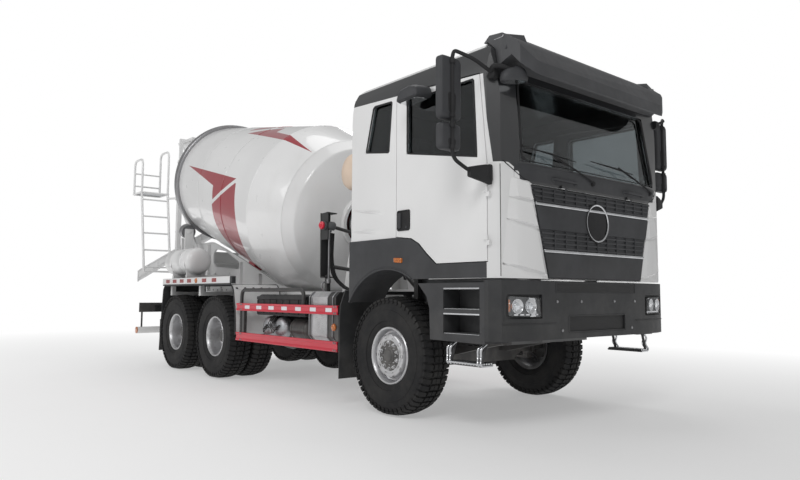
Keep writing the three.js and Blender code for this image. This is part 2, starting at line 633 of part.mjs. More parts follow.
function powertrain() {
  const engine = block(-450, 630, -320, 320, 640, 1385);
  const cooling = block(620, 1150, -330, 330, 700, 1225);
  const gearbox = prism("y", [[-440, 680], [-440, 1120], [-900, 1080], [-1250, 1000], [-1250, 760], [-900, 700]], -200, 200);
  const shaft = bar([-1240, 0, 880], [AXLE_X[0] + 160, 0, 640], 55, 12);
  const mounts = SIDES.map(([, s]) => block(-200, -100, s * 300, s * (HALF_FRAME - RAIL_T - GAP), 860, 930));
  const pinionRoom = turned([[0, -195], [125, -195], [215, -90], [235, 0], [215, 90], [125, 175], [0, 175]],
    [AXLE_X[0], 0, TYRE_R], [1, 0, 0], 12);
  return cut(join(engine, cooling, gearbox, shaft, mounts), pinionRoom);
}

// ---------- side equipment ----------
const FRAME_SIDE = HALF_FRAME + GAP;

// Two shelf brackets on the frame's side, under a tank or a box.
function shelf(side, x0, x1, low, reach) {
  return [x0, x1].map((x) =>
    join(
      block(x - 25, x + 25, side * FRAME_SIDE, side * (FRAME_SIDE + 40), low - 30, RAIL_TOP - 60),
      block(x - 25, x + 25, side * FRAME_SIDE, side * reach, low - 30, low + 2),
    ),
  );
}

function fuelTank() {
  const c = 90;
  const [y0, y1, z0, z1] = [520, 1150, 540, 1110];
  const outline = [[y0 + c, z0], [y1 - c, z0], [y1 - 26, z0 + 26], [y1, z0 + c], [y1, z1 - c], [y1 - 26, z1 - 26],
    [y1 - c, z1], [y0 + c, z1], [y0 + 26, z1 - 26], [y0, z1 - c], [y0, z0 + c], [y0 + 26, z0 + 26]];
  return join(prism("x", outline, -2640, -1340), shelf(1, -2400, -1600, z0, y1 - c));
}

function batteryAndAirTanks() {
  const box = block(-2600, -1470, -1130, -560, 860, 1110);
  const waves = [-2470, -2330, -2190, -2050].map((x) => bar([x, -1130, 1106], [x, -560, 1106], 30, 8));
  const tanks = [-2350, -2060].map((x) =>
    turned([[0, 0], [90, 12], [135, 60], [135, 500], [90, 548], [0, 560]], [x, -1130, 715], [0, 1, 0], 18),
  );
  const silencer = turned([[0, 0], [80, 10], [125, 50], [125, 350], [80, 390], [0, 400]], [-1880, -980, 720], [1, 0, 0], 18);
  const straps = [
    block(-2375, -2325, -700, -660, 700, 900), block(-2085, -2035, -700, -660, 700, 900),
    block(-1700, -1650, -1000, -960, 800, 900),
  ];
  return join(box, waves, tanks, silencer, straps, shelf(-1, -2540, -1520, 860, 700));
}

function exhaustBox() {
  const c = 50;
  const [y0, y1, z0, z1] = [-1150, -560, 620, 1139];
  const outline = [[y0 + c, z0], [y1 - c, z0], [y1, z0 + c], [y1, z1 - c], [y1 - c, z1], [y0 + c, z1], [y0, z1 - c], [y0, z0 + c]];
  return join(prism("x", outline, -1371, -850), shelf(-1, -1290, -930, z0, 900));
}

const GUARD = { front: -700, rear: -2930, upper: [908, 1001], lower: [537, 640], posts: [-2800, -740] };

function sideGuard(side) {
  const y = (v) => side * v;
  const rails = [GUARD.upper, GUARD.lower].map(([z0, z1]) => {
    const [o, i] = [BODY_HALF, BODY_HALF - 30];
    const m = (z0 + z1) / 2;
    const outline = [[y(i), z0], [y(o), z0 + 6], [y(o - 6), m - 12], [y(o - 6), m + 12], [y(o), z1 - 6], [y(i), z1]];
    return prism("x", outline, GUARD.rear, GUARD.front);
  });
  const posts = GUARD.posts.map((x) => block(x - 28, x + 28, y(BODY_HALF - 70), y(BODY_HALF - 28), 545, 995));
  const arms = GUARD.posts.map((x) => block(x - 24, x + 24, y(FRAME_SIDE), y(BODY_HALF - 60), 925, 975));
  const plates = GUARD.posts.map((x) => block(x - 50, x + 50, y(FRAME_SIDE), y(FRAME_SIDE + 12), 860, 1010));
  const hoop = bent([[-2880, y(BODY_HALF - 50), 600], [-2880, y(BODY_HALF - 50), 1090], [-2800, y(BODY_HALF - 50), 1165],
    [-1440, y(BODY_HALF - 50), 1165], [-1410, y(BODY_HALF - 50), 1130], [-1410, y(BODY_HALF - 50), 960]], 22);
  return join(rails, posts, arms, plates, hoop);
}

const BOARD = { rear: BOGIE_X - 1187, front: BOGIE_X + 1145, top: 1344 };

// Fender over both rear wheels, with the marker board along its outer edge.
function rearFender(side) {
  const t = FENDER_T;
  const front = AXLE_X[0];
  const rear = AXLE_X[1];
  const outer = [[front + 650, 600], [front + 625, 900], [front + 560, 1180], [front + 490, FENDER_TOP],
    [rear - 440, FENDER_TOP], [rear - 500, 1180], [rear - 570, 640], [rear - 606, 240]];
  const inner = [[rear - 616 + 2 * t, 240], [rear - 580 + 2 * t, 640], [rear - 508 + 2 * t, 1172],
    [rear - 440, FENDER_TOP - t], [front + 490, FENDER_TOP - t], [front + 550, 1172], [front + 615, 900], [front + 640, 600]];
  const board = block(BOARD.rear, BOARD.front, side * (BODY_HALF - 22), side * BODY_HALF, FENDER_TOP - 6, BOARD.top);
  return join(prism("y", [...outer, ...inner], side * 560, side * (BODY_HALF - 2)), board);
}

// ---------- front end ----------
const bumperPlan = [[1310, 1250], [1352, 1250], [1430, 1185], [1478, 1030], [NOSE_X - 4, 860], [NOSE_X, 600]];

const TILT_LUG = { arm: HALF_FRAME + 55, inner: HALF_FRAME + 95, outer: HALF_FRAME + 135, radius: 28 };

// Frame brackets, cross beam and the lugs of the cab's tilt axis.
function tiltCarrier() {
  const brackets = SIDES.map(([, s]) =>
    block(RAIL_FRONT + GAP, 1400, s * (HALF_FRAME - 85), s * HALF_FRAME, RAIL_LOW + 20, RAIL_TOP - 20),
  );
  const beam = block(1340, 1400, -TILT_LUG.outer - 40, TILT_LUG.outer + 40, RAIL_LOW + 20, 880);
  const lugs = SIDES.map(([, s]) =>
    join(
      prism("y", [[1345, 800], [1400, 800], [PIVOT_X + 16, PIVOT_Z - 20], [PIVOT_X - 10, PIVOT_Z + 20], [1345, 860]],
        s * (TILT_LUG.inner + RUN), s * TILT_LUG.outer),
      barrels([PIVOT_X, s * (TILT_LUG.inner + RUN), PIVOT_Z], [0, s, 0],
        [[0, TILT_LUG.outer - TILT_LUG.inner - RUN]], TILT_LUG.radius),
    ),
  );
  const ties = SIDES.map(([, s]) => block(1390, NOSE_X - 10, s * 700, s * 740, RAIL_LOW + 20, 840));
  const arms = SIDES.map(([, s]) => block(1340, 1400, s * (HALF_FRAME + 75), s * 740, RAIL_LOW + 20, 840));
  return join(brackets, beam, lugs, ties, arms);
}

function frontBumper() {
  const outer = prism("z", mirrored(bumperPlan), BUMPER_LOW, BUMPER_TOP);
  const hollow = bumperPlan.map(([x, y], i) => [i === 0 ? x - 10 : x - BUMPER_T, y - BUMPER_T]);
  const room = prism("z", mirrored(hollow), BUMPER_LOW - 10, BUMPER_TOP + 10);
  const slot = block(NOSE_X - 14, NOSE_X + 10, -420, 420, 815, 940);
  const lampHoles = SIDES.map(([, s]) => block(1380, NOSE_X + 40, s * 775, s * 1150, 930, 1120));
  const lampBacks = SIDES.map(([, s]) => {
    const back = [[1405, 1175], [1440, 1165], [1452, 1000], [1474, 760], [1450, 760], [1425, 1000], [1405, 1130]];
    return prism("z", back.map(([x, y]) => [x, s * y]), 920, 1130);
  });
  return join(cut(outer, room, slot, lampHoles), lampBacks, tiltCarrier());
}

function steps(side) {
  const y = (v) => side * v;
  const housing = [[1302, 732], [1302, 1213], [521, 1213], [634, 1100], [668, 1000], [678, 740]];
  const body = prism("y", housing, y(960), y(BODY_HALF - 2));
  const treads = [[1000, 1165], [800, 960]].map(([z0, z1]) => block(840, 1250, y(1040), y(BODY_HALF + 20), z0, z1));
  const hanger = [900, 1240].map((x) => bent([[x, y(1150), 745], [x, y(1210), 565], [x, y(1100), 565]], 13));
  const tread = block(885, 1255, y(1100), y(1225), 552, 574);
  const arm = block(980, 1060, y(FRAME_SIDE), y(970), 860, 940);
  return join(cut(body, treads), hanger, tread, arm);
}

// Blades behind the front wheels on one cross member over the frame.
function frontMudguards() {
  const outline = [[-560, 1150], [-640, 1000], [-652, 800], [-652, 280], [-664, 280], [-664, 806], [-652, 1006], [-572, 1158]];
  const blades = SIDES.map(([, s]) => prism("y", outline, s * 700, s * BODY_HALF));
  const cross = block(-630, -575, -900, 900, 1112, 1148);
  const feet = SIDES.map(([, s]) => block(-630, -575, s * (HALF_FRAME - 80), s * HALF_FRAME, RAIL_TOP + GAP, 1120));
  return join(blades, cross, feet);
}

// ---------- cab ----------
const cabSide = [
  [CAB_REAR, FLOOR_Z], [CAB_REAR - 10, 2400], [CAB_REAR + 30, 3040], [CAB_REAR + 90, ROOF_Z - 20],
  [CAB_REAR + 150, ROOF_Z], [1280, ROOF_Z], [1360, 3080], SCREEN_TOP, SCREEN_LOW, [NOSE_X, WAIST_Z - 60],
  [NOSE_X, CAB_LOW], [FOOTWELL_X, CAB_LOW], [FOOTWELL_X, FLOOR_Z],
];
const roomSide = [
  [CAB_REAR + WALL, FLOOR_Z + 40], [CAB_REAR + WALL, 3020], [CAB_REAR + 130, ROOF_Z - WALL],
  [1250, ROOF_Z - WALL], [1310, 3040], [SCREEN_TOP[0] - WALL, SCREEN_TOP[1]], [SCREEN_LOW[0] - WALL - 10, WAIST_Z + 20],
  [1385, WAIST_Z - 20], [1385, CAB_LOW + 40], [FOOTWELL_X + 40, CAB_LOW + 40], [FOOTWELL_X + 40, FLOOR_Z + 40],
];
const cabFront = (d) => [
  [CAB_HALF - d, CAB_LOW - 400], [CAB_HALF - d, 2900], [CAB_HALF - 12 - d, 3010], [CAB_HALF - 38 - d, 3100 - d],
  [CAB_HALF - 95 - d, 3148 - d], [CAB_HALF - 190 - d, ROOF_Z + 5 - d],
];
const cabPlan = (d) => [
  [CAB_REAR - 20, CAB_HALF - 25 - d], [CAB_REAR + 15, CAB_HALF - d], [1340 - d, CAB_HALF - d],
  [1420 - d, 1170 - d], [1470 - d, 1030 - d], [NOSE_X - 2 - d, 860 - d], [NOSE_X + 1 - d, 700 - d],
];
const flip = (points) => points.concat([...points].reverse().map(([y, z]) => [-y, z]));

function cabBody(profile, d) {
  const side = prism("y", profile, -CAB_HALF, CAB_HALF);
  const front = prism("x", flip(cabFront(d)), CAB_REAR - 50, VISOR_X);
  const plan = prism("z", mirrored(cabPlan(d)), CAB_LOW - 400, ROOF_Z + 100);
  return side.intersect(front).intersect(plan);
}

const doorOutline = (d) => [
  [DOOR_FRONT + d, DOOR_SILL - d], [760 - d, DOOR_SILL - d], [640 - d, 1470 - d], [540 - d, 1560 - d],
  [438 - d, 1611 - d], [DOOR_REAR - d, SKIRT_TOP + SHUT - d], [DOOR_REAR - d, DOOR_TOP + d],
  [1262 + d, DOOR_TOP - 65 + d], [DOOR_FRONT + d, WAIST_Z],
];
const doorWindow = [[366, 2373], [1236, 2209], [1238, 2240], [1208, 2845], [1190, 2866], [384, 2866], [366, 2848]];
const quarterWindow = [[-245, 2478], [108, 2424], [124, 2440], [165, 2895], [150, 2911], [-108, 2920], [-132, 2900]];
const grown = (outline, d) => {
  const cx = outline.reduce((t, [x]) => t + x, 0) / outline.length;
  const cz = outline.reduce((t, [, z]) => t + z, 0) / outline.length;
  return outline.map(([x, z]) => [x + Math.sign(x - cx) * d, z + Math.sign(z - cz) * d]);
};

// Outline of an arch cover, up to the door and the white rear quarter.
const coverOutline = (d) => [
  [1328 + d, CAB_LOW + 4 - d], [1328 + d, DOOR_SILL - SHUT], [757, DOOR_SILL - SHUT], [634, 1463], [534, 1553],
  [434, 1604], [DOOR_REAR, SKIRT_TOP], [CAB_REAR - 9 - 3 * d, SKIRT_TOP], [CAB_REAR - 9 - 3 * d, 1030],
  ...arc(ARCH_X, ARCH_Z, ARCH_R, 146, 60, 12),
];
const COVER = { inner: 1205, outer: 1246, band: 830 };

const lidOutline = (d) => flip([[692 + d, CAB_LOW + 4 - d], [894 + d, 1992 + d]]);
const LID_BACK = 1450;
const LID_RIM = 1492; // behind this the lid is narrower, to swing out of its opening
const LID_FACE = 1508;
const LID_HINGE = [1512, 2005]; // [x, z]
const HINGE_R = 9;
const DOOR_HINGE = [DOOR_FRONT + 8, CAB_HALF + 10];

// Short round barrels on a hinge's axis, at the stations given.
function barrels(centre, direction, spans, radius = HINGE_R) {
  return spans.map(([a, b]) => turned([[0, a], [radius, a], [radius, b], [0, b]], centre, direction, 12));
}

const DOOR_BARRELS = { cab: [[1500, 1540], [1880, 1920]], door: [[1540 + RUN, 1580], [1920 + RUN, 1960]] };

function cabShell() {
  const shell = cut(cabBody(cabSide, 0), cabBody(roomSide, WALL));
  const doorways = SIDES.map(([, s]) => prism("y", doorOutline(SHUT), s * 1150, s * (CAB_HALF + 20)));
  const quarters = SIDES.map(([, s]) => prism("y", quarterWindow, s * 1150, s * (CAB_HALF + 20)));
  const pockets = SIDES.map(([, s]) => prism("y", coverOutline(1), s * (COVER.inner - GAP), s * (CAB_HALF + 20)));
  const screen = prism("y", screenBand(-90, 40), -1090, 1090).intersect(prism("x", screenOutline(0), 1200, NOSE_X + 60));
  const lidRoom = prism("x", lidOutline(SHUT), LID_BACK - SHUT, NOSE_X + 20);
  const arms = SIDES.map(([, s]) =>
    join(
      prism("y", [[PIVOT_X - 10, PIVOT_Z - 24], [PIVOT_X + 18, PIVOT_Z + 16], [1120, CAB_LOW + 20], [1000, CAB_LOW + 20]],
        s * TILT_LUG.arm, s * TILT_LUG.inner),
      barrels([PIVOT_X, s * TILT_LUG.arm, PIVOT_Z], [0, s, 0], [[0, TILT_LUG.inner - TILT_LUG.arm]], TILT_LUG.radius),
    ),
  );
  const doorLugs = SIDES.map(([, s]) =>
    DOOR_BARRELS.cab.map(([a, b]) =>
      join(
        barrels([DOOR_HINGE[0], s * DOOR_HINGE[1], 0], [0, 0, 1], [[a, b]]),
        block(DOOR_HINGE[0], DOOR_HINGE[0] + 25, s * (CAB_HALF - 12), s * (DOOR_HINGE[1] + 4), a + 2, b - 2),
      ),
    ),
  );
  const lidLugs = [-520, 480].map((y) =>
    join(
      barrels([LID_HINGE[0], y, LID_HINGE[1]], [0, 1, 0], [[0, 40]]),
      block(NOSE_X - 12, LID_HINGE[0] + 4, y + 2, y + 38, LID_HINGE[1] + 3, LID_HINGE[1] + 20),
    ),
  );
  return join(cut(shell, doorways, quarters, pockets, screen, lidRoom), arms, doorLugs.flat(), lidLugs);
}

// A slanted band along the windscreen, between two distances from its outer face.
function screenBand(back, front, trim = 0) {
  const [[xt, zt], [xl, zl]] = [SCREEN_TOP, SCREEN_LOW];
  return [[xl + back, zl + trim], [xl + front, zl + trim], [xt + front, zt - trim], [xt + back, zt - trim]];
}

const screenOutline = (d) => flip([[1014 - d, SCREEN_LOW[1] - 40], [960 - d, SCREEN_TOP[1] + 40]]);

function windscreen() {
  const slab = prism("y", screenBand(-40, -32, GAP), -1090, 1090);
  return slab.intersect(prism("x", screenOutline(GAP), 1200, NOSE_X + 60));
}

function sunVisor() {
  const blade = [
    [1282, ROOF_Z + GAP + 1], [1362, ROOF_Z - 78], [1392, ROOF_Z - 230], [1440, ROOF_Z - 200], [1500, ROOF_Z - 150],
    [1600, ROOF_Z - 280], [VISOR_X - 12, ROOF_Z - 310], [VISOR_X, ROOF_Z - 300], [1625, ROOF_Z - 200],
    [1540, ROOF_Z - 40], [1440, ROOF_Z + 35], [1300, ROOF_Z + 50], [1240, ROOF_Z + GAP + 1],
  ];
  const plan = mirrored([[1200, 1160], [1430, 1160], [1560, 1090], [VISOR_X - 20, 960], [VISOR_X, 760], [VISOR_X, 300]]);
  const body = prism("y", blade, -1160, 1160).intersect(prism("z", plan, ROOF_Z - 460, ROOF_Z + 140));
  const pods = SIDES.map(([, s]) =>
    loft(
      [[1300, s * 930, ROOF_Z + 30], [1510, s * 930, ROOF_Z - 30], [1470, s * 1150, ROOF_Z - 100],
        [1300, s * 1158, ROOF_Z - 60]],
      [[1320, s * 940, ROOF_Z + 85], [1480, s * 940, ROOF_Z + 55], [1450, s * 1120, ROOF_Z + 30],
        [1320, s * 1120, ROOF_Z + 55]],
    ),
  );
  const roof = cabBody(cabSide, 0);
  return cut(join(body, pods), roof.translate([0.4, 0, 0.4]), roof);
}

function archCover(side) {
  const plate = prism("y", coverOutline(0), side * COVER.inner, side * COVER.outer);
  const band = [...arc(ARCH_X, ARCH_Z, ARCH_R, 146, 60, 12), ...arc(ARCH_X, ARCH_Z, ARCH_R + 12, 60, 146, 12)];
  return join(plate, prism("y", band, side * COVER.band, side * (COVER.inner + 10)));
}

function grilleLid() {
  const body = join(
    prism("x", lidOutline(0), LID_RIM, LID_FACE),
    prism("x", lidOutline(-2 * SHUT), LID_BACK, LID_RIM + 4),
  );
  const lugs = [-480 + RUN, 520 + RUN].map((y) =>
    join(
      barrels([LID_HINGE[0], y, LID_HINGE[1]], [0, 1, 0], [[0, 34]]),
      block(NOSE_X + 1, LID_HINGE[0] + 5, y + 1, y + 33, 1975, LID_HINGE[1] - 3),
    ),
  );
  const badge = turned([[0, 0], [170, 0], [178, -10], [178, -26], [0, -26]], [LID_FACE + 8, 0, 1745], [1, 0, 0], 28);
  return join(body, lugs, badge);
}

function door(side) {
  const panel = prism("y", doorOutline(0), side * (CAB_HALF - DOOR_T), side * CAB_HALF, [doorWindow]);
  const lugs = DOOR_BARRELS.door.map(([a, b]) =>
    join(
      barrels([DOOR_HINGE[0], side * DOOR_HINGE[1], 0], [0, 0, 1], [[a, b]]),
      block(DOOR_FRONT - 30, DOOR_HINGE[0], side * (CAB_HALF + 2), side * (DOOR_HINGE[1] + 4), a + 2, b - 2),
      block(DOOR_FRONT - 30, DOOR_FRONT - 2, side * (CAB_HALF - 4), side * (DOOR_HINGE[1] + 4), a + 2, b - 2),
    ),
  );
  return join(panel, lugs);
}

const pane = (outline, side, depth) =>
  prism("y", grown(outline, -GAP - 0.2), side * (CAB_HALF - depth - 6), side * (CAB_HALF - depth));

// ---------- inside the cab ----------
const COLUMN = { foot: [1120, 560, 1800], top: [905, 560, 2060] };

function dashboard() {
  const outline = [[1384, 1640], [1384, WAIST_Z - 30], [1180, 2110], [1010, 2020], [985, 1900], [1120, 1640]];
  const [fx, fy, fz] = COLUMN.foot;
  const room = prism("z", mirrored(cabPlan(WALL + RUN)), CAB_LOW, ROOF_Z);
  return join(prism("y", outline, -1140, 1140).intersect(room), bar([fx, fy, fz], COLUMN.top, 34, 12));
}

const columnAxis = new THREE.Vector3(...COLUMN.top).sub(new THREE.Vector3(...COLUMN.foot)).normalize();

function steeringWheel() {
  const r = 225;
  const ring = [];
  for (let i = 0; i <= 6; i++) {
    const a = (i * Math.PI) / 3;
    ring.push([r + 15 * Math.cos(a), 46 + 15 * Math.sin(a)]);
  }
  const axis = columnAxis.toArray();
  const rim = turned(ring, COLUMN.top, axis, 20);
  const hub = turned([[0, RUN], [58, RUN], [66, 40], [0, 56]], COLUMN.top, axis, 12);
  const across = new THREE.Vector3(0, 1, 0);
  const down = new THREE.Vector3().crossVectors(columnAxis, across);
  const centre = new THREE.Vector3(...COLUMN.top).addScaledVector(columnAxis, 36);
  const spoke = (v) => bar(centre.toArray(), centre.clone().addScaledVector(v, r).addScaledVector(columnAxis, 8).toArray(), 12, 6);
  return join(rim, hub, [across, across.clone().negate(), down, down.clone().negate()].map(spoke));
}

function seat(side) {
  const y = side * 560;
  const span = (half) => [y - half, y + half];
  const floor = FLOOR_Z + 40 + GAP;
  const plinth = block(130, 470, ...span(190), floor, 1790);
  const cushion = prism("y", [[20, 1780], [540, 1790], [570, 1830], [560, 1890], [520, 1905], [20, 1880]], ...span(255));
  const back = prism("y", [[60, 1790], [-60, 1800], [-190, 2520], [-160, 2560], [-90, 2560], [-60, 2500], [70, 1900]], ...span(240));
  const head = prism("y", [[-205, 2545], [-110, 2545], [-120, 2720], [-200, 2720]], ...span(140));
  return join(plinth, cushion, back, head);
}

// ---------- mirrors ----------
function mirror(side) {
  const at = (x, y, z) => [x, side * y, z];
  const pole = bent([at(1398, 1236, 2860), at(1380, 1440, 2935), at(1300, 1560, 2990), at(1290, 1570, 2940),
    at(1290, 1570, 2150), at(1330, 1420, 2060), at(1372, 1252, 2050)], 15);
  const main = prism("y", [[1222, 2450], [1222, 2930], [1250, 2950], [1286, 2930], [1286, 2470], [1262, 2450]],
    side * 1460, side * 1680);
  const wide = prism("y", [[1226, 2215], [1226, 2425], [1286, 2415], [1286, 2230]], side * 1455, side * 1685);
  const foot = block(1346, 1400, side * (CAB_HALF - 40), side * 1262, 1985, 2130);
  const root = block(1366, 1430, side * 1196, side * 1250, 2815, 2895);
  const cab = cabBody(cabSide, -GAP);
  return cut(join(pole, main, wide, foot, root), cab);
}

// ---------- discharge chute, drawn pointing along +X from its swing post ----------
const CHUTE_HINGE = [230, 1870]; // [outwards, z] of the hinge that raises the trough
const trough = (u) => 2080 - CHUTE_SLOPE * u;

function chuteTurret() {
  const foot = SUB_TOP + RUN;
  const sleeve = turned([[CHUTE_PIN + RUN, foot], [85, foot], [85, TURRET_TOP], [0, TURRET_TOP], [0, TURRET_TOP - 24],
    [CHUTE_PIN + RUN, TURRET_TOP - 24], [CHUTE_PIN + RUN, foot]], [0, 0, 0], [0, 0, 1], 24);
  const [u, z] = CHUTE_HINGE;
  const arm = prism("y", [[60, 1500], [60, 1760], [u - 20, z + 26], [u + 30, z + 20], [u + 24, z - 30]], -60, 60);
  const lug = barrels([u, -60, z], [0, 1, 0], [[0, 120]], 28);
  return join(sleeve, arm, lug);
}

function chute() {
  const [u, z] = CHUTE_HINGE;
  const skin = 10;
  const half = 215;
  const section = (h, low) => [[-h, low + 175], [-h, low + 60], [-h * 0.55, low], [h * 0.55, low], [h, low + 60], [h, low + 175]];
  const ring = (at, h, low, lift) => section(h, low).map(([y, dz]) => [at, y, trough(at) + dz + lift]);
  const outer = loft(ring(CHUTE_BACK, half, 0, 0), ring(CHUTE_REACH, half, 0, 0));
  const inner = loft(ring(CHUTE_BACK - 20, half - skin, skin, 0), ring(CHUTE_REACH + 20, half - skin, skin, 0));
  const open = loft(ring(CHUTE_BACK - 20, half - skin, skin, 60), ring(CHUTE_REACH + 20, half - skin, skin, 60));
  const ears = [-1, 1].map((s) =>
    join(
      prism("y", [[u - 28, z], [u + 28, z], [u + 60, trough(u + 60) + 30], [u - 60, trough(u - 60) + 30]],
        s * (60 + RUN), s * 90),
      barrels([u, s * (60 + RUN), z], [0, s, 0], [[0, 90 - 60 - RUN]], 28),
    ),
  );
  return cut(join(outer, ears), inner, open);
}

const CHUTE_BACK = -180;

// ---------- assembly ----------
piece("frame_rails", "black", frameRails());
piece("subframe", "white", subframe());
piece("front_pedestal", "white", frontPedestal());
piece("rear_pedestal", "white", rearPedestal());
piece("powertrain", "steel", powertrain());
piece("front_axle", "black", frontAxle());
piece("rear_bogie", "black", rearBogie());
piece("fuel_tank", "steel", fuelTank());
piece("battery_and_air_tanks", "black", batteryAndAirTanks());
piece("exhaust_box", "silver", exhaustBox());
piece("water_tank", "white", waterTank());
piece("access_ladder", "white", accessLadder());
piece("charge_hopper", "white", chargeHopper());
piece("front_bumper", "black", frontBumper());
piece("front_mudguards", "black", frontMudguards());
piece("cab_shell", "white", cabShell());
piece("windscreen", "glass", windscreen());
piece("sun_visor", "dark", sunVisor());
piece("grille_lid", "dark", grilleLid());
piece("dashboard", "dark", dashboard());
piece("steering_wheel", "black", steeringWheel());
piece("tie_rod", "steel", tieRod());
piece("drum_shell", "white", drumShell());

for (const [name, side] of SIDES) {
  piece(`side_guard_${name}`, "red", sideGuard(side));
  piece(`rear_fender_${name}`, "black", rearFender(side));
  piece(`steps_${name}`, "black", steps(side));
  piece(`arch_cover_${name}`, "dark", archCover(side));
  piece(`quarter_glass_${name}`, "glass", pane(quarterWindow, side, 24));
  piece(`door_${name}`, "white", door(side));
  piece(`door_glass_${name}`, "glass", pane(doorWindow, side, 24));
  piece(`seat_${name}`, "seat", seat(side));
  piece(`mirror_${name}`, "mirror", mirror(side));
  piece(`drum_roller_${name}`, "steel", roller(side));
  piece(`knuckle_${name}`, "steel", knuckle(side));
  const front = [0, (side * FRONT_TRACK) / 2, TYRE_R];
  piece(`front_tyre_${name}`, "rubber", frontTyre(front, side));
  piece(`front_rim_${name}`, "silver", frontRim(front, side));
  AXLE_X.forEach((x, i) => {
    const centre = [x, (side * REAR_TRACK) / 2, TYRE_R];
    piece(`twin_tyres_${i + 1}_${name}`, "rubber", twinTyres(centre, side));
    piece(`twin_rims_${i + 1}_${name}`, "silver", twinRims(centre, side));
  });
}

const rear = new THREE.Group();
rear.position.set(CHUTE_X, 0, 0);
rear.rotation.z = CHUTE_HEADING;
truck.add(rear);
piece("chute_turret", "white", chuteTurret(), rear);
piece("chute", "white", chute(), rear);

// The origin is on the ground, below the middle of the truck's length.
const extent = new THREE.Box3().setFromObject(truck, true);
truck.position.x = -(extent.min.x + extent.max.x) / 2;

export default truck;
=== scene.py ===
"""Looks of a three-axle concrete mixer truck: finishes, fittings and the stage, laid on its fixed frame."""
import sys

import json
import math

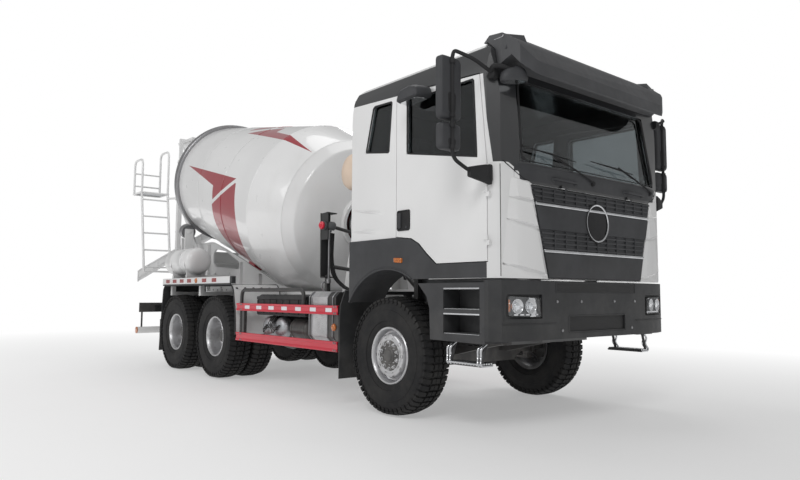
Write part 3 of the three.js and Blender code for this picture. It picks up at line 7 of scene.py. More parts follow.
import bmesh
import bpy
from bpy.props import FloatProperty, FloatVectorProperty, IntProperty, PointerProperty
from mathutils import Matrix, Vector
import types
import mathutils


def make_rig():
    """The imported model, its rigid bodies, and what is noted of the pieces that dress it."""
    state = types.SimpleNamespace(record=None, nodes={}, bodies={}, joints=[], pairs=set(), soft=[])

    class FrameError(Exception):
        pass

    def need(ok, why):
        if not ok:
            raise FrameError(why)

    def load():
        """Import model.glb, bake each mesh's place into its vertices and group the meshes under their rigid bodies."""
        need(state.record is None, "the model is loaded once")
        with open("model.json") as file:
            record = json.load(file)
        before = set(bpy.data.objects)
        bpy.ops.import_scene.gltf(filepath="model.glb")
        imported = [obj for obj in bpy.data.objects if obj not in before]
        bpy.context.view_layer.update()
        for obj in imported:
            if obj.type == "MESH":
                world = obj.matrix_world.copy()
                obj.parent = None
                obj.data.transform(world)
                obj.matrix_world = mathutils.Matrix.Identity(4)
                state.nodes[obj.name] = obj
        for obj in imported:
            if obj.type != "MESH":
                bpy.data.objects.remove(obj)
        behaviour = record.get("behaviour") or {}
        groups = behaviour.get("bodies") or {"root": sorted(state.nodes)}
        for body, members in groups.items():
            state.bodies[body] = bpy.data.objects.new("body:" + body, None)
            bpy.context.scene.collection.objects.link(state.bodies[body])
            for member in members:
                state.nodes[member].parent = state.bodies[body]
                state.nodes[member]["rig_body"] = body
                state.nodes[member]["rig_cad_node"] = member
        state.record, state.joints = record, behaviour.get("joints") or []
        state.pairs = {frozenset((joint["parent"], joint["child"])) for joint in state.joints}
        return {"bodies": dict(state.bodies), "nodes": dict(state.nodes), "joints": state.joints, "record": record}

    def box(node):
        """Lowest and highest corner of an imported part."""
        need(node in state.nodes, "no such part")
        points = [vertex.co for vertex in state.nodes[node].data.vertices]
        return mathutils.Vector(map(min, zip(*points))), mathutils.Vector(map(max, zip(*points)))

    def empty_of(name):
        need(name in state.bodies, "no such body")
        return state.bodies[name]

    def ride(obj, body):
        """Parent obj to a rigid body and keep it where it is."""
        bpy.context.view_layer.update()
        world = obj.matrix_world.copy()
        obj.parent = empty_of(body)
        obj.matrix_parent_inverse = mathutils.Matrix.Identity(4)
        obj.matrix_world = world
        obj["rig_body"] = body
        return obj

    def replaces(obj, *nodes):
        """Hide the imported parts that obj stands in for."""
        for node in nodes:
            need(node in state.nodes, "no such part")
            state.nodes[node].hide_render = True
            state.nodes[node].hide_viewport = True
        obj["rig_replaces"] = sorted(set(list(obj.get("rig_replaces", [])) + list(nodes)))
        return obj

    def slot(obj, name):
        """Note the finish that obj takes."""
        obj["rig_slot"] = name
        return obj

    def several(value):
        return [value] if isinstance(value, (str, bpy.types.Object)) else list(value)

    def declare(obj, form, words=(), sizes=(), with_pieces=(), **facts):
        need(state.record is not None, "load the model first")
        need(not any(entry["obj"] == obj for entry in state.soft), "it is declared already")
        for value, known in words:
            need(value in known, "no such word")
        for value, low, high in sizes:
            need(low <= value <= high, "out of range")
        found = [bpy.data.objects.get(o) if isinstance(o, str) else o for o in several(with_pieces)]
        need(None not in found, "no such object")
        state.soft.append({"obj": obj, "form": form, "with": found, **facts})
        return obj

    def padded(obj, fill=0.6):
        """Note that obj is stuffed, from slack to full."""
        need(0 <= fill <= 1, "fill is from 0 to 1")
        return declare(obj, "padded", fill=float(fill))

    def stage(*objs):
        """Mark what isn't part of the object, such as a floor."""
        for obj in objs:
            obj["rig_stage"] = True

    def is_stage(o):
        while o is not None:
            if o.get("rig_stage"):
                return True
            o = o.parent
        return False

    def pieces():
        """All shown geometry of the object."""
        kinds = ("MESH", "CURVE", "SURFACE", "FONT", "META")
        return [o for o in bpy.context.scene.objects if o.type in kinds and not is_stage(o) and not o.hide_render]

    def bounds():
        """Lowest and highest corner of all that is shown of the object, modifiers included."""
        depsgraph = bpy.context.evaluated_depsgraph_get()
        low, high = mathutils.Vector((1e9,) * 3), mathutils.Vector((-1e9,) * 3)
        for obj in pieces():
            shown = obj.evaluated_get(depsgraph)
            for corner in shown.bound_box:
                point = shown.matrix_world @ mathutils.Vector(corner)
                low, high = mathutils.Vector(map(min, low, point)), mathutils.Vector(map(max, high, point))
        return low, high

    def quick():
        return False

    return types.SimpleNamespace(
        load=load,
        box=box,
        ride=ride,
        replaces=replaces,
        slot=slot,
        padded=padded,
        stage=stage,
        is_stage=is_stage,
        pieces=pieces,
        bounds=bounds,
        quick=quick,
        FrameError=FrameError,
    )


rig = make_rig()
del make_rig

bl_info = {
    "name": "Concrete Mixer Truck",
    "version": (1, 0, 0),
    "blender": (4, 5, 0),
    "location": "View3D > Sidebar > Mixer Truck",
    "description": "Builds the finishes and fittings of a concrete mixer truck",
    "category": "Object",
}

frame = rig.load()
CAD_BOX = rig.bounds()
NODES = frame["nodes"]

# The sketching frame: millimetres, X forward from the front axle, Y to the driver's side,
# Z up from the ground.
AXLE = sum(c.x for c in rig.box("front_tyre_right")) / 2
SIDES = (("right", -1), ("left", 1))
# The drum: the middle of its track ring, its axis and the stations of its welded seams along it.
RING = (-5700, 0, 3010)
TILT = math.radians(14.3)
AXIS = Vector((math.cos(TILT), 0, -math.sin(TILT)))
SHELL_SEAMS = (980, 1960, 2930, 3550)
# Wheels, cab, seats and fittings.
WHEEL_Z = 550
FRONT_TRACK = 1010
REAR_TRACK = 925
TWIN_OFFSET = 170
REAR_AXLES = ((1, -3600), (2, -4950))
CAB_SIDE = 1240
SEAT_Y = 560
TURRET = (-6690, 0, 0)
BADGE = (1505, 0, 1745)
MAIN_TANK = (-5700, -960, 1610)
# The stage: metres for the floor, millimetres and degrees for the camera.
FLOOR_REACH = 60.0
LENS = 29.77
CAMERA_PLACE = (4828.3, -5053.5, 1113.7)
CAMERA_TURN = (39.987, 4.7315, 0.2514)
LAMPS = (
    ("key", (9.5, -9.0, 9.5), (0.6, 0, 1.3), 5.0, 470),
    ("side", (-2.5, -13.0, 7.0), (-0.8, 0, 1.4), 7.0, 370),
    ("top", (-0.5, 1.5, 12.5), (-0.3, 0, 1.0), 9.0, 380),
    ("back", (-9.0, 9.0, 7.5), (0, 0, 1.6), 5.0, 240),
)
ROOM_GLOW = 0.3
MIRRORED_GLOW = 0.15


def at(x, y, z):
    return Vector((AXLE + x / 1000, y / 1000, z / 1000))


# ---------------------------------------------------------------- shapes
class Shape:
    """The surfaces of one piece, drawn in millimetres from the front axle."""

    def __init__(self):
        self.mesh = bmesh.new()
        self.finish = 0

    def corner(self, point):
        return self.mesh.verts.new(at(*point))

    def face(self, corners):
        made = self.mesh.faces.new(corners)
        made.material_index = self.finish
        return made

    def skin(self, rings, closed=True, caps=True, loop=False):
        """Quads between rings of the same number of points; a ring of one point is a pole."""
        made = [[self.corner(p) for p in ring] for ring in rings]
        if loop:
            made.append(made[0])
        for a, b in zip(made, made[1:]):
            n = max(len(a), len(b))
            for i in range(n if closed else n - 1):
                j = (i + 1) % n
                corners = [a[i % len(a)], a[j % len(a)], b[j % len(b)], b[i % len(b)]]
                self.face(list(dict.fromkeys(corners)))
        if caps and not loop:
            for ring in (made[0], made[-1]):
                if len(ring) > 2:
                    self.face(ring)
        return self

    def sheet(self, rows):
        """An open surface through rows of points."""
        return self.skin(rows, closed=False, caps=False)

    def block(self, x0, x1, y0, y1, z0, z1):
        ring = lambda z: [(x0, y0, z), (x1, y0, z), (x1, y1, z), (x0, y1, z)]
        return self.skin([ring(z0), ring(z1)])

    def prism(self, axis, outline, a, b):
        """An outline across an axis, run from one place on it to another."""
        return self.skin(layers(axis, outline, (a, 0), (b, 0)))

    def raised(self, place, outline, *steps):
        """An outline stood out from a face in steps of (place, inset)."""
        return self.skin(layers(place, outline, *steps))

    def lathe(self, centre, axis, profile, sides=48):
        """A profile of (radius, station) turned about an axis; it closes on itself if its ends meet."""
        along = Vector(axis).normalized()
        across = along.orthogonal().normalized()
        up = along.cross(across)
        loop = profile[0] == profile[-1]
        rings = []
        for r, s in profile[:-1] if loop else profile:
            middle = Vector(centre) + along * s
            turns = around(sides) if r > 0.01 else [0]
            rings.append([middle + (across * math.cos(t) + up * math.sin(t)) * max(r, 0) for t in turns])
        return self.skin(rings, caps=False, loop=loop)

    def tube(self, points, radius, sides=10, bend=0, flat=1.0):
        """A round bar along a list of points, its corners eased by a bend radius."""
        path = eased([Vector(p) for p in points], bend)
        rings = []
        side = (path[1] - path[0]).orthogonal().normalized()
        for i, p in enumerate(path):
            ahead = (path[min(i + 1, len(path) - 1)] - path[max(i - 1, 0)]).normalized()
            side = (side - ahead * side.dot(ahead)).normalized()
            up = ahead.cross(side)
            rings.append(
                [p + (side * math.cos(t) + up * math.sin(t) * flat) * radius for t in around(sides)]
            )
        return self.skin(rings)

    def baked(self, name, gap, shift=None):
        """The drawn surfaces as one mesh, joined up and facing outwards."""
        bmesh.ops.remove_doubles(self.mesh, verts=self.mesh.verts, dist=gap)
        bmesh.ops.recalc_face_normals(self.mesh, faces=self.mesh.faces)
        if shift:
            bmesh.ops.translate(self.mesh, verts=self.mesh.verts, vec=shift)
        mesh = bpy.data.meshes.new(name)
        self.mesh.to_mesh(mesh)
        self.mesh.free()
        return mesh


def curved(before, here, after, reach, steps):
    """The corner at here, eased into a short curve."""
    reach = min(reach, (before - here).length * 0.45, (after - here).length * 0.45)
    a = here + (before - here).normalized() * reach
    b = here + (after - here).normalized() * reach
    shares = [k / steps for k in range(steps + 1)]
    return [a * (1 - t) ** 2 + here * 2 * t * (1 - t) + b * t * t for t in shares]


def eased(points, bend, steps=5):
    """A polyline with each corner replaced by a short arc."""
    if not bend or len(points) < 3:
        return points
    corners = [curved(*three, bend, steps) for three in zip(points, points[1:], points[2:])]
    return [points[0], *(p for corner in corners for p in corner), points[-1]]


def around(count):
    """Even turns of a full circle, in radians."""
    return [2 * math.pi * k / count for k in range(count)]


def arc(cx, cz, r, start, end, steps=8):
    turns = [math.radians(start + (end - start) * i / steps) for i in range(steps + 1)]
    return [(cx + r * math.cos(t), cz + r * math.sin(t)) for t in turns]


def rounded(outline, radius, steps=3):
    """A closed outline of (u, v) with its corners eased."""
    points = [Vector((u, v, 0)) for u, v in outline]
    ring = [points[-1], *points, points[0]]
    corners = [curved(*three, radius, steps) for three in zip(ring, ring[1:], ring[2:])]
    return [(p.x, p.y) for corner in corners for p in corner]


def on_plan(plan, y):
    """How far forward a front face lies, drawn as corners of (across, forward)."""
    for (y0, x0), (y1, x1) in zip(plan, plan[1:]):
        if abs(y) <= y1:
            return x0 + (x1 - x0) * (abs(y) - y0) / (y1 - y0)
    return plan[-1][1]


PLACES = {
    "x": lambda u, v, w: (w, u, v),
    "y": lambda u, v, w: (u, w, v),
    "z": lambda u, v, w: (u, v, w),
}


def layers(place, outline, *steps):
    """Rings of an outline at steps of (place, inset), on an axis or by a function of (u, v, w)."""
    place = PLACES.get(place, place)
    return [[place(u, v, w) for u, v in (inset(outline, d) if d else outline)] for w, d in steps]


def oblong(u0, u1, v0, v1, radius, steps=3):
    """A rectangle with eased corners."""
    return rounded([(u0, v0), (u1, v0), (u1, v1), (u0, v1)], radius, steps)


def inset(outline, d):
    """A convex closed outline moved inwards by d, towards its middle."""
    cu = sum(u for u, _ in outline) / len(outline)
    cv = sum(v for _, v in outline) / len(outline)
    moved = []
    for u, v in outline:
        reach = math.hypot(u - cu, v - cv) or 1
        k = 1 - d / reach
        moved.append((cu + (u - cu) * k, cv + (v - cv) * k))
    return moved


def linked(name, mesh):
    obj = bpy.data.objects.new(name, mesh)
    bpy.context.scene.collection.objects.link(obj)
    return obj


def smoothed(mesh, angle):
    """Smooth faces, with the edges sharper than an angle kept sharp."""
    limit = math.radians(angle)
    edit = bmesh.new()
    edit.from_mesh(mesh)
    for f in edit.faces:
        f.smooth = True
    for e in edit.edges:
        e.smooth = len(e.link_faces) == 2 and e.calc_face_angle(0) < limit
    edit.to_mesh(mesh)
    edit.free()


def eased_edges(obj, width, angle):
    edge = obj.modifiers.new("edge", "BEVEL")
    edge.width = width / 1000
    edge.segments = 2
    edge.limit_method = "ANGLE"
    edge.angle_limit = math.radians(angle)
    edge.harden_normals = True


def carried(obj, body, slot, replaces):
    """Fixes a finished piece on its body."""
    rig.ride(obj, body)
    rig.slot(obj, slot)
    if replaces:
        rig.replaces(obj, *replaces)
    return obj


def finished(name, shape, body, finish, slot, bevel=0.0, angle=32, thick=0.0, replaces=()):
    """Makes a drawn shape an object with its finish, on its body."""
    mesh = shape.baked(name, 2e-5)
    smoothed(mesh, angle)
    obj = linked(name, mesh)
    mesh.materials.append(paint(finish))
    if thick:
        wall = obj.modifiers.new("wall", "SOLIDIFY")
        wall.thickness = thick / 1000
        wall.offset = 0
    if bevel:
        eased_edges(obj, bevel, angle)
    return carried(obj, body, slot, replaces)


# ---------------------------------------------------------------- geometry nodes
def new_tree(name, sockets):
    tree = bpy.data.node_groups.new(name, "GeometryNodeTree")
    tree.is_modifier = True
    tree.interface.new_socket("Geometry", in_out="INPUT", socket_type="NodeSocketGeometry")
    for label, kind in sockets:
        tree.interface.new_socket(label, in_out="INPUT", socket_type="NodeSocket" + kind)
    tree.interface.new_socket("Geometry", in_out="OUTPUT", socket_type="NodeSocketGeometry")
    return tree, tree.nodes.new("NodeGroupInput"), tree.nodes.new("NodeGroupOutput")


def put(tree, kind, inputs=None, **settings):
    """A node with its settings made first and its inputs linked or set."""
    node = tree.nodes.new(kind)
    for key, value in settings.items():
        setattr(node, key, value)
    for key, value in (inputs or {}).items():
        if isinstance(value, bpy.types.NodeSocket):
            tree.links.new(value, node.inputs[key])
        else:
            node.inputs[key].default_value = value
    return node


def placed_tree(name, sockets, points):
    """A tree that puts one object at the points a function gives, realized and finished."""
    tree, given, out = new_tree(name, [("Piece", "Object"), ("Finish", "Material"), *sockets])
    cloud, turn = points(tree, given)
    piece = put(tree, "GeometryNodeObjectInfo", {"Object": given.outputs["Piece"]})
    inputs = {"Points": cloud, "Instance": piece.outputs["Geometry"]}
    if turn:
        inputs["Rotation"] = turn
    copies = put(tree, "GeometryNodeInstanceOnPoints", inputs)
    real = put(tree, "GeometryNodeRealizeInstances", {0: copies.outputs[0]})
    moved = real
    if any(label == "Centre" for label, _ in sockets):
        moved = put(
            tree,
            "GeometryNodeTransform",
            {0: real.outputs[0], "Translation": given.outputs["Centre"], "Rotation": given.outputs["Turn"]},
        )
    paint = put(tree, "GeometryNodeSetMaterial", {0: moved.outputs[0], "Material": given.outputs["Finish"]})
    tree.links.new(paint.outputs[0], out.inputs[0])
    return tree


def ring_points(tree, given):
    """Points at the origin, each turned about +Y by its share of a full turn."""
    cloud = put(tree, "GeometryNodePoints", {"Count": given.outputs["Count"]})
    step = put(tree, "ShaderNodeMath", {0: 2 * math.pi, 1: given.outputs["Count"]}, operation="DIVIDE")
    index = put(tree, "GeometryNodeInputIndex")
    share = put(tree, "ShaderNodeMath", {0: index.outputs[0], 1: step.outputs[0]}, operation="MULTIPLY")
    return cloud.outputs[0], put(tree, "ShaderNodeCombineXYZ", {"Y": share.outputs[0]}).outputs[0]


def row_points(tree, given):
    """Points in a straight row with an even step."""
    line = put(
        tree,
        "GeometryNodeMeshLine",
        {
            "Count": given.outputs["Count"], "Start Location": given.outputs["Start"],
            "Offset": given.outputs["Step"]
        },
        mode="OFFSET",
    )
    return line.outputs[0], None


def spot_points(tree, given):
    """The corners of the mesh that carries the modifier."""
    return given.outputs["Geometry"], None


def trees():
    """The three ways of repeating a small piece: round a ring, in a row, and at marked spots."""
    if "around a ring" not in bpy.data.node_groups:
        placed_tree(
            "around a ring", [("Count", "Int"), ("Centre", "Vector"), ("Turn", "Vector")], ring_points
        )
        placed_tree("in a row", [("Count", "Int"), ("Start", "Vector"), ("Step", "Vector")], row_points)
        placed_tree("at spots", [], spot_points)
    return bpy.data.node_groups


def applied(name, tree, piece, finish, body, slot, spots=(), angle=32, replaces=(), **values):
    """Runs a placing tree and keeps its result as a plain mesh on its body."""
    group = trees()[tree]
    seed = bpy.data.meshes.new(name + "_spots")
    seed.from_pydata([at(*p) for p in spots] or [(0, 0, 0)], [], [])
    obj = linked(name, seed)
    run = obj.modifiers.new("place", "NODES")
    run.node_group = group
    for socket in group.interface.items_tree:
        if socket.in_out == "INPUT" and socket.name in ("Piece", "Finish", *values):
            run[socket.identifier] = {"Piece": piece, "Finish": paint(finish), **values}[socket.name]
    bpy.context.view_layer.update()
    made = bpy.data.meshes.new_from_object(obj.evaluated_get(bpy.context.evaluated_depsgraph_get()))
    obj.modifiers.clear()
    obj.data = made
    smoothed(made, angle)
    bpy.data.objects.remove(piece)
    return carried(obj, body, slot, replaces)


def stamp(shape):
    """A small piece to repeat, drawn about the sketching frame's origin."""
    return linked("stamp", shape.baked("stamp", 1e-6, -at(0, 0, 0)))


def bolt(axis, size=11, depth=9):
    """A hexagon head on its washer, standing along an axis."""
    head = [
        (0, depth), (size * 0.8, depth), (size, depth * 0.75), (size, 2), (size * 1.45, 2),
        (size * 1.45, 0), (0, 0)
    ]
    return stamp(Shape().lathe((0, 0, 0), axis, head, 6))


def bolts(name, spots, axis, body, finish, slot, size=11, depth=9):
    return applied(name, "at spots", bolt(axis, size, depth), finish, body, slot, spots=spots)


# ---------------------------------------------------------------- finishes
def sums(kind, flip=False):
    """A method that joins a value to others by one kind of sum."""
    return lambda self, *others: self.paint.sum(kind, *((*others, self) if flip else (self, *others)))


class Value:
    """A number or colour made by shader nodes, written in sums like any other."""

    __add__, __radd__ = sums("ADD"), sums("ADD", flip=True)
    __sub__, __rsub__ = sums("SUBTRACT"), sums("SUBTRACT", flip=True)
    __mul__, __rmul__ = sums("MULTIPLY"), sums("MULTIPLY", flip=True)
    __truediv__, __abs__ = sums("DIVIDE"), sums("ABSOLUTE")
    over, under = sums("GREATER_THAN"), sums("LESS_THAN")
    least, most = sums("MINIMUM"), sums("MAXIMUM")
    sine, fract, floor = sums("SINE"), sums("FRACT"), sums("FLOOR")

    def __init__(self, paint, socket):
        self.paint = paint
        self.socket = socket

    def wave(self, length):
        """A sine along this number, from 0 to 1 and back over each length."""
        return (self * (2 * math.pi / length)).sine() * 0.5 + 0.5

    def fade(self, low, high):
        """0 at low and 1 at high, held beyond them."""
        return self.paint.range(self, low, high)


class Paint:
    """One finish: a Principled shader with what varies over the surface fed into it."""

    def __init__(self, name, **constants):
        self.material = bpy.data.materials.new(name)
        self.material.use_nodes = True
        self.tree = self.material.node_tree
        self.tree.nodes.clear()
        self.out = self.node("ShaderNodeOutputMaterial")
        self.shader = self.node("ShaderNodeBsdfPrincipled")
        self.tree.links.new(self.shader.outputs[0], self.out.inputs[0])
        for key, value in constants.items():
            self.shader.inputs[key.replace("_", " ")].default_value = value
        place = self.node("ShaderNodeSeparateXYZ", inputs={0: self.place})
        self.x = (Value(self, place.outputs[0]) - AXLE) * 1000
        self.y = Value(self, place.outputs[1]) * 1000
        self.z = Value(self, place.outputs[2]) * 1000

    @property
    def place(self):
        return Value(self, self.node("ShaderNodeTexCoord").outputs["Object"])

    def node(self, kind, settings=None, inputs=None):
        """A node of a type: its settings are made first, then its inputs are linked or set."""
        node = self.tree.nodes.new(kind)
        for key, value in (settings or {}).items():
            setattr(node, key, value)
        for key, value in (inputs or {}).items():
            if isinstance(value, Value):
                self.tree.links.new(value.socket, node.inputs[key])
            else:
                node.inputs[key].default_value = value
        return node

    def sum(self, kind, *values):
        node = self.node("ShaderNodeMath", {"operation": kind}, dict(enumerate(values)))
        return Value(self, node.outputs[0])

    def range(self, value, low, high):
        node = self.node(
            "ShaderNodeMapRange", {"clamp": True}, {"Value": value, "From Min": low, "From Max": high}
        )
        return Value(self, node.outputs[0])

    def noise(self, size, detail=3.0, rough=0.5, stretch=(1, 1, 1)):
        """Cloudy noise from 0 to 1 whose patches are about size millimetres across."""
        place = self.node("ShaderNodeMapping", inputs={"Vector": self.place, "Scale": stretch})
        inputs = {
            "Vector": Value(self, place.outputs[0]), "Scale": 1000 / size, "Detail": detail,
            "Roughness": rough
        }
        return Value(self, self.node("ShaderNodeTexNoise", inputs=inputs).outputs["Fac"])

    def cells(self, size, feature="F1"):
        node = self.node(
            "ShaderNodeTexVoronoi", {"feature": feature}, {"Vector": self.place, "Scale": 1000 / size}
        )
        return Value(self, node.outputs["Distance"])

    def blend(self, factor, a, b):
        """Colour a where the factor is 0 and b where it is 1."""
        node = self.node("ShaderNodeMix", {"data_type": "RGBA"}, {0: factor})
        for index, colour in ((6, a), (7, b)):
            if isinstance(colour, Value):
                self.tree.links.new(colour.socket, node.inputs[index])
            else:
                node.inputs[index].default_value = (*colour, 1)
        return Value(self, node.outputs[2])

    def colour(self, value):
        self.feed("Base Color", value)

    def feed(self, name, value):
        if isinstance(value, Value):
            self.tree.links.new(value.socket, self.shader.inputs[name])
        else:
            self.shader.inputs[name].default_value = (*value, 1) if name == "Base Color" else value

    def bump(self, height, depth=1.0, strength=1.0):
        """Raises the surface by a height of 0 to 1 times a depth in millimetres."""
        node = self.node(
            "ShaderNodeBump", inputs={"Height": height, "Distance": depth / 1000, "Strength": strength}
        )
        self.tree.links.new(node.outputs[0], self.shader.inputs["Normal"])


def dusty(p, base, dust=(0.42, 0.40, 0.37), top=1100, amount=0.25):
    """A colour with road dust that thins out upwards."""
    low = 1 - p.z.fade(150, top)
    film = (p.noise(260, 5, 0.6).fade(0.42, 0.7) * 0.7 + 0.3) * low * amount
    return p.blend(film, base, dust)


def coat(name, colour, rough=0.3, dust=0.12, clear=0.6, orange=0.05, top=1100):
    """Sprayed paint: slight mottling, orange peel, and dust near the road."""
    p = Paint(name, Coat_Roughness=0.06)
    p.feed("Coat Weight", clear)
    tone = [c * 0.93 for c in colour]
    p.colour(dusty(p, p.blend(p.noise(700, 2).fade(0.3, 0.7), colour, tone), amount=dust, top=top))
    p.feed("Roughness", p.noise(120, 4).fade(0.2, 0.8) * 0.08 + rough)
    p.bump(p.noise(3.2, 2), 0.05, orange * 4)
    return p


def moulded(name, colour, rough=0.62, grain=1.6, dust=0.2, depth=0.12):
    """Moulded plastic with a fine leather-like grain."""
    p = Paint(name)
    p.feed("Specular IOR Level", 0.4)
    light = [min(1, c * 1.35 + 0.006) for c in colour]
    p.colour(dusty(p, p.blend(p.noise(340, 3).fade(0.3, 0.75), colour, light), amount=dust, top=1600))
    p.feed("Roughness", p.noise(60, 3).fade(0.2, 0.8) * 0.12 + rough)
    p.bump(p.cells(grain, "SMOOTH_F1"), depth, 0.8)
    return p


def bare_metal(name, colour, rough=0.32, brushed=(1, 1, 1), metal=1.0, grain=4):
    p = Paint(name)
    p.feed("Metallic", metal)
    dark = [c * 0.72 for c in colour]
    p.colour(p.blend(p.noise(160, 4, 0.6).fade(0.35, 0.75), colour, dark))
    p.feed("Roughness", p.noise(grain, 3, 0.6, brushed) * 0.22 + (rough - 0.08))
    p.bump(p.noise(grain * 0.5, 2, 0.5, brushed), 0.03, 0.5)
    return p


def clear_pane(name, colour, rough=0.02):
    p = Paint(name, IOR=1.45)
    p.feed("Transmission Weight", 1.0)
    p.colour(p.blend(p.noise(500, 2).fade(0.4, 0.6), colour, [c * 0.94 for c in colour]))
    p.feed("Roughness", p.noise(240, 4).fade(0.45, 0.8) * 0.03 + rough)
    return p


def drum_axis(p):
    """Distance from the track ring along the drum's axis, and the height across it."""
    x, z = p.x - RING[0], p.z - RING[2]
    along = x * AXIS.x + z * AXIS.z
    up = x * -AXIS.z + z * AXIS.x
    return along, up


def red_darts(along, turn):
    """Red darts on both sides and on top, as outlines of (station, degrees from the top)."""
    turn = abs(turn)
    arrow = inside_outline(along, turn, [(348, 76.2), (2379, 77.1), (1612, 86.8)])
    notch = inside_outline(along, turn, [(1612, 86.8), (2379, 77.1), (1633, 97.7)])
    low = turn - 112
    rear = (2386 - (turn - 80.4) * 36.9).most(1608 + low.most(0) * low.most(0) * 0.36)
    front = 2540 - ((turn - 114) / 43) * ((turn - 114) / 43) * 200
    sweep = (along - rear).over(0) * (front - along).over(0) * turn.over(80.4)
    crest = inside_outline(along, turn, [(1500, 33.6), (2935, 42.1), (3518, 41.5), (2362, 31.2)])
    flank = inside_outline(along, turn, [(1500, 33.6), (2362, 31.2), (2289, 21.5), (1935, 25.7)])
    tail = inside_outline(along, turn, [(1357, 28.2), (2100, 17), (2600, 8), (1750, 6), (1400, 14)])
    return arrow.most(notch).most(sweep).most(crest).most(flank).most(tail)


def inside_outline(s, a, corners):
    """One where a point lies inside a convex outline, else nought."""
    edges = list(zip(corners, corners[1:] + corners[:1]))
    way = -1 if sum((s1 - s0) * (a1 + a0) for (s0, a0), (s1, a1) in edges) > 0 else 1
    inside = 1
    for (s0, a0), (s1, a1) in edges:
        inside = ((a - a0) * (way * (s1 - s0)) - (s - s0) * (way * (a1 - a0))).over(0) * inside
    return inside


def lamp_lens(name, colour):
    """Moulded lamp lens with small prisms on its inner face."""
    p = Paint(name, Coat_Roughness=0.03)
    p.feed("Coat Weight", 1.0)
    cell = p.cells(9).fade(0.1, 0.6)
    p.colour(p.blend(cell, colour, [c * 0.45 for c in colour]))
    p.feed("Roughness", cell * 0.1 + 0.12)
    p.bump(cell, 0.5, 0.7)
    return p


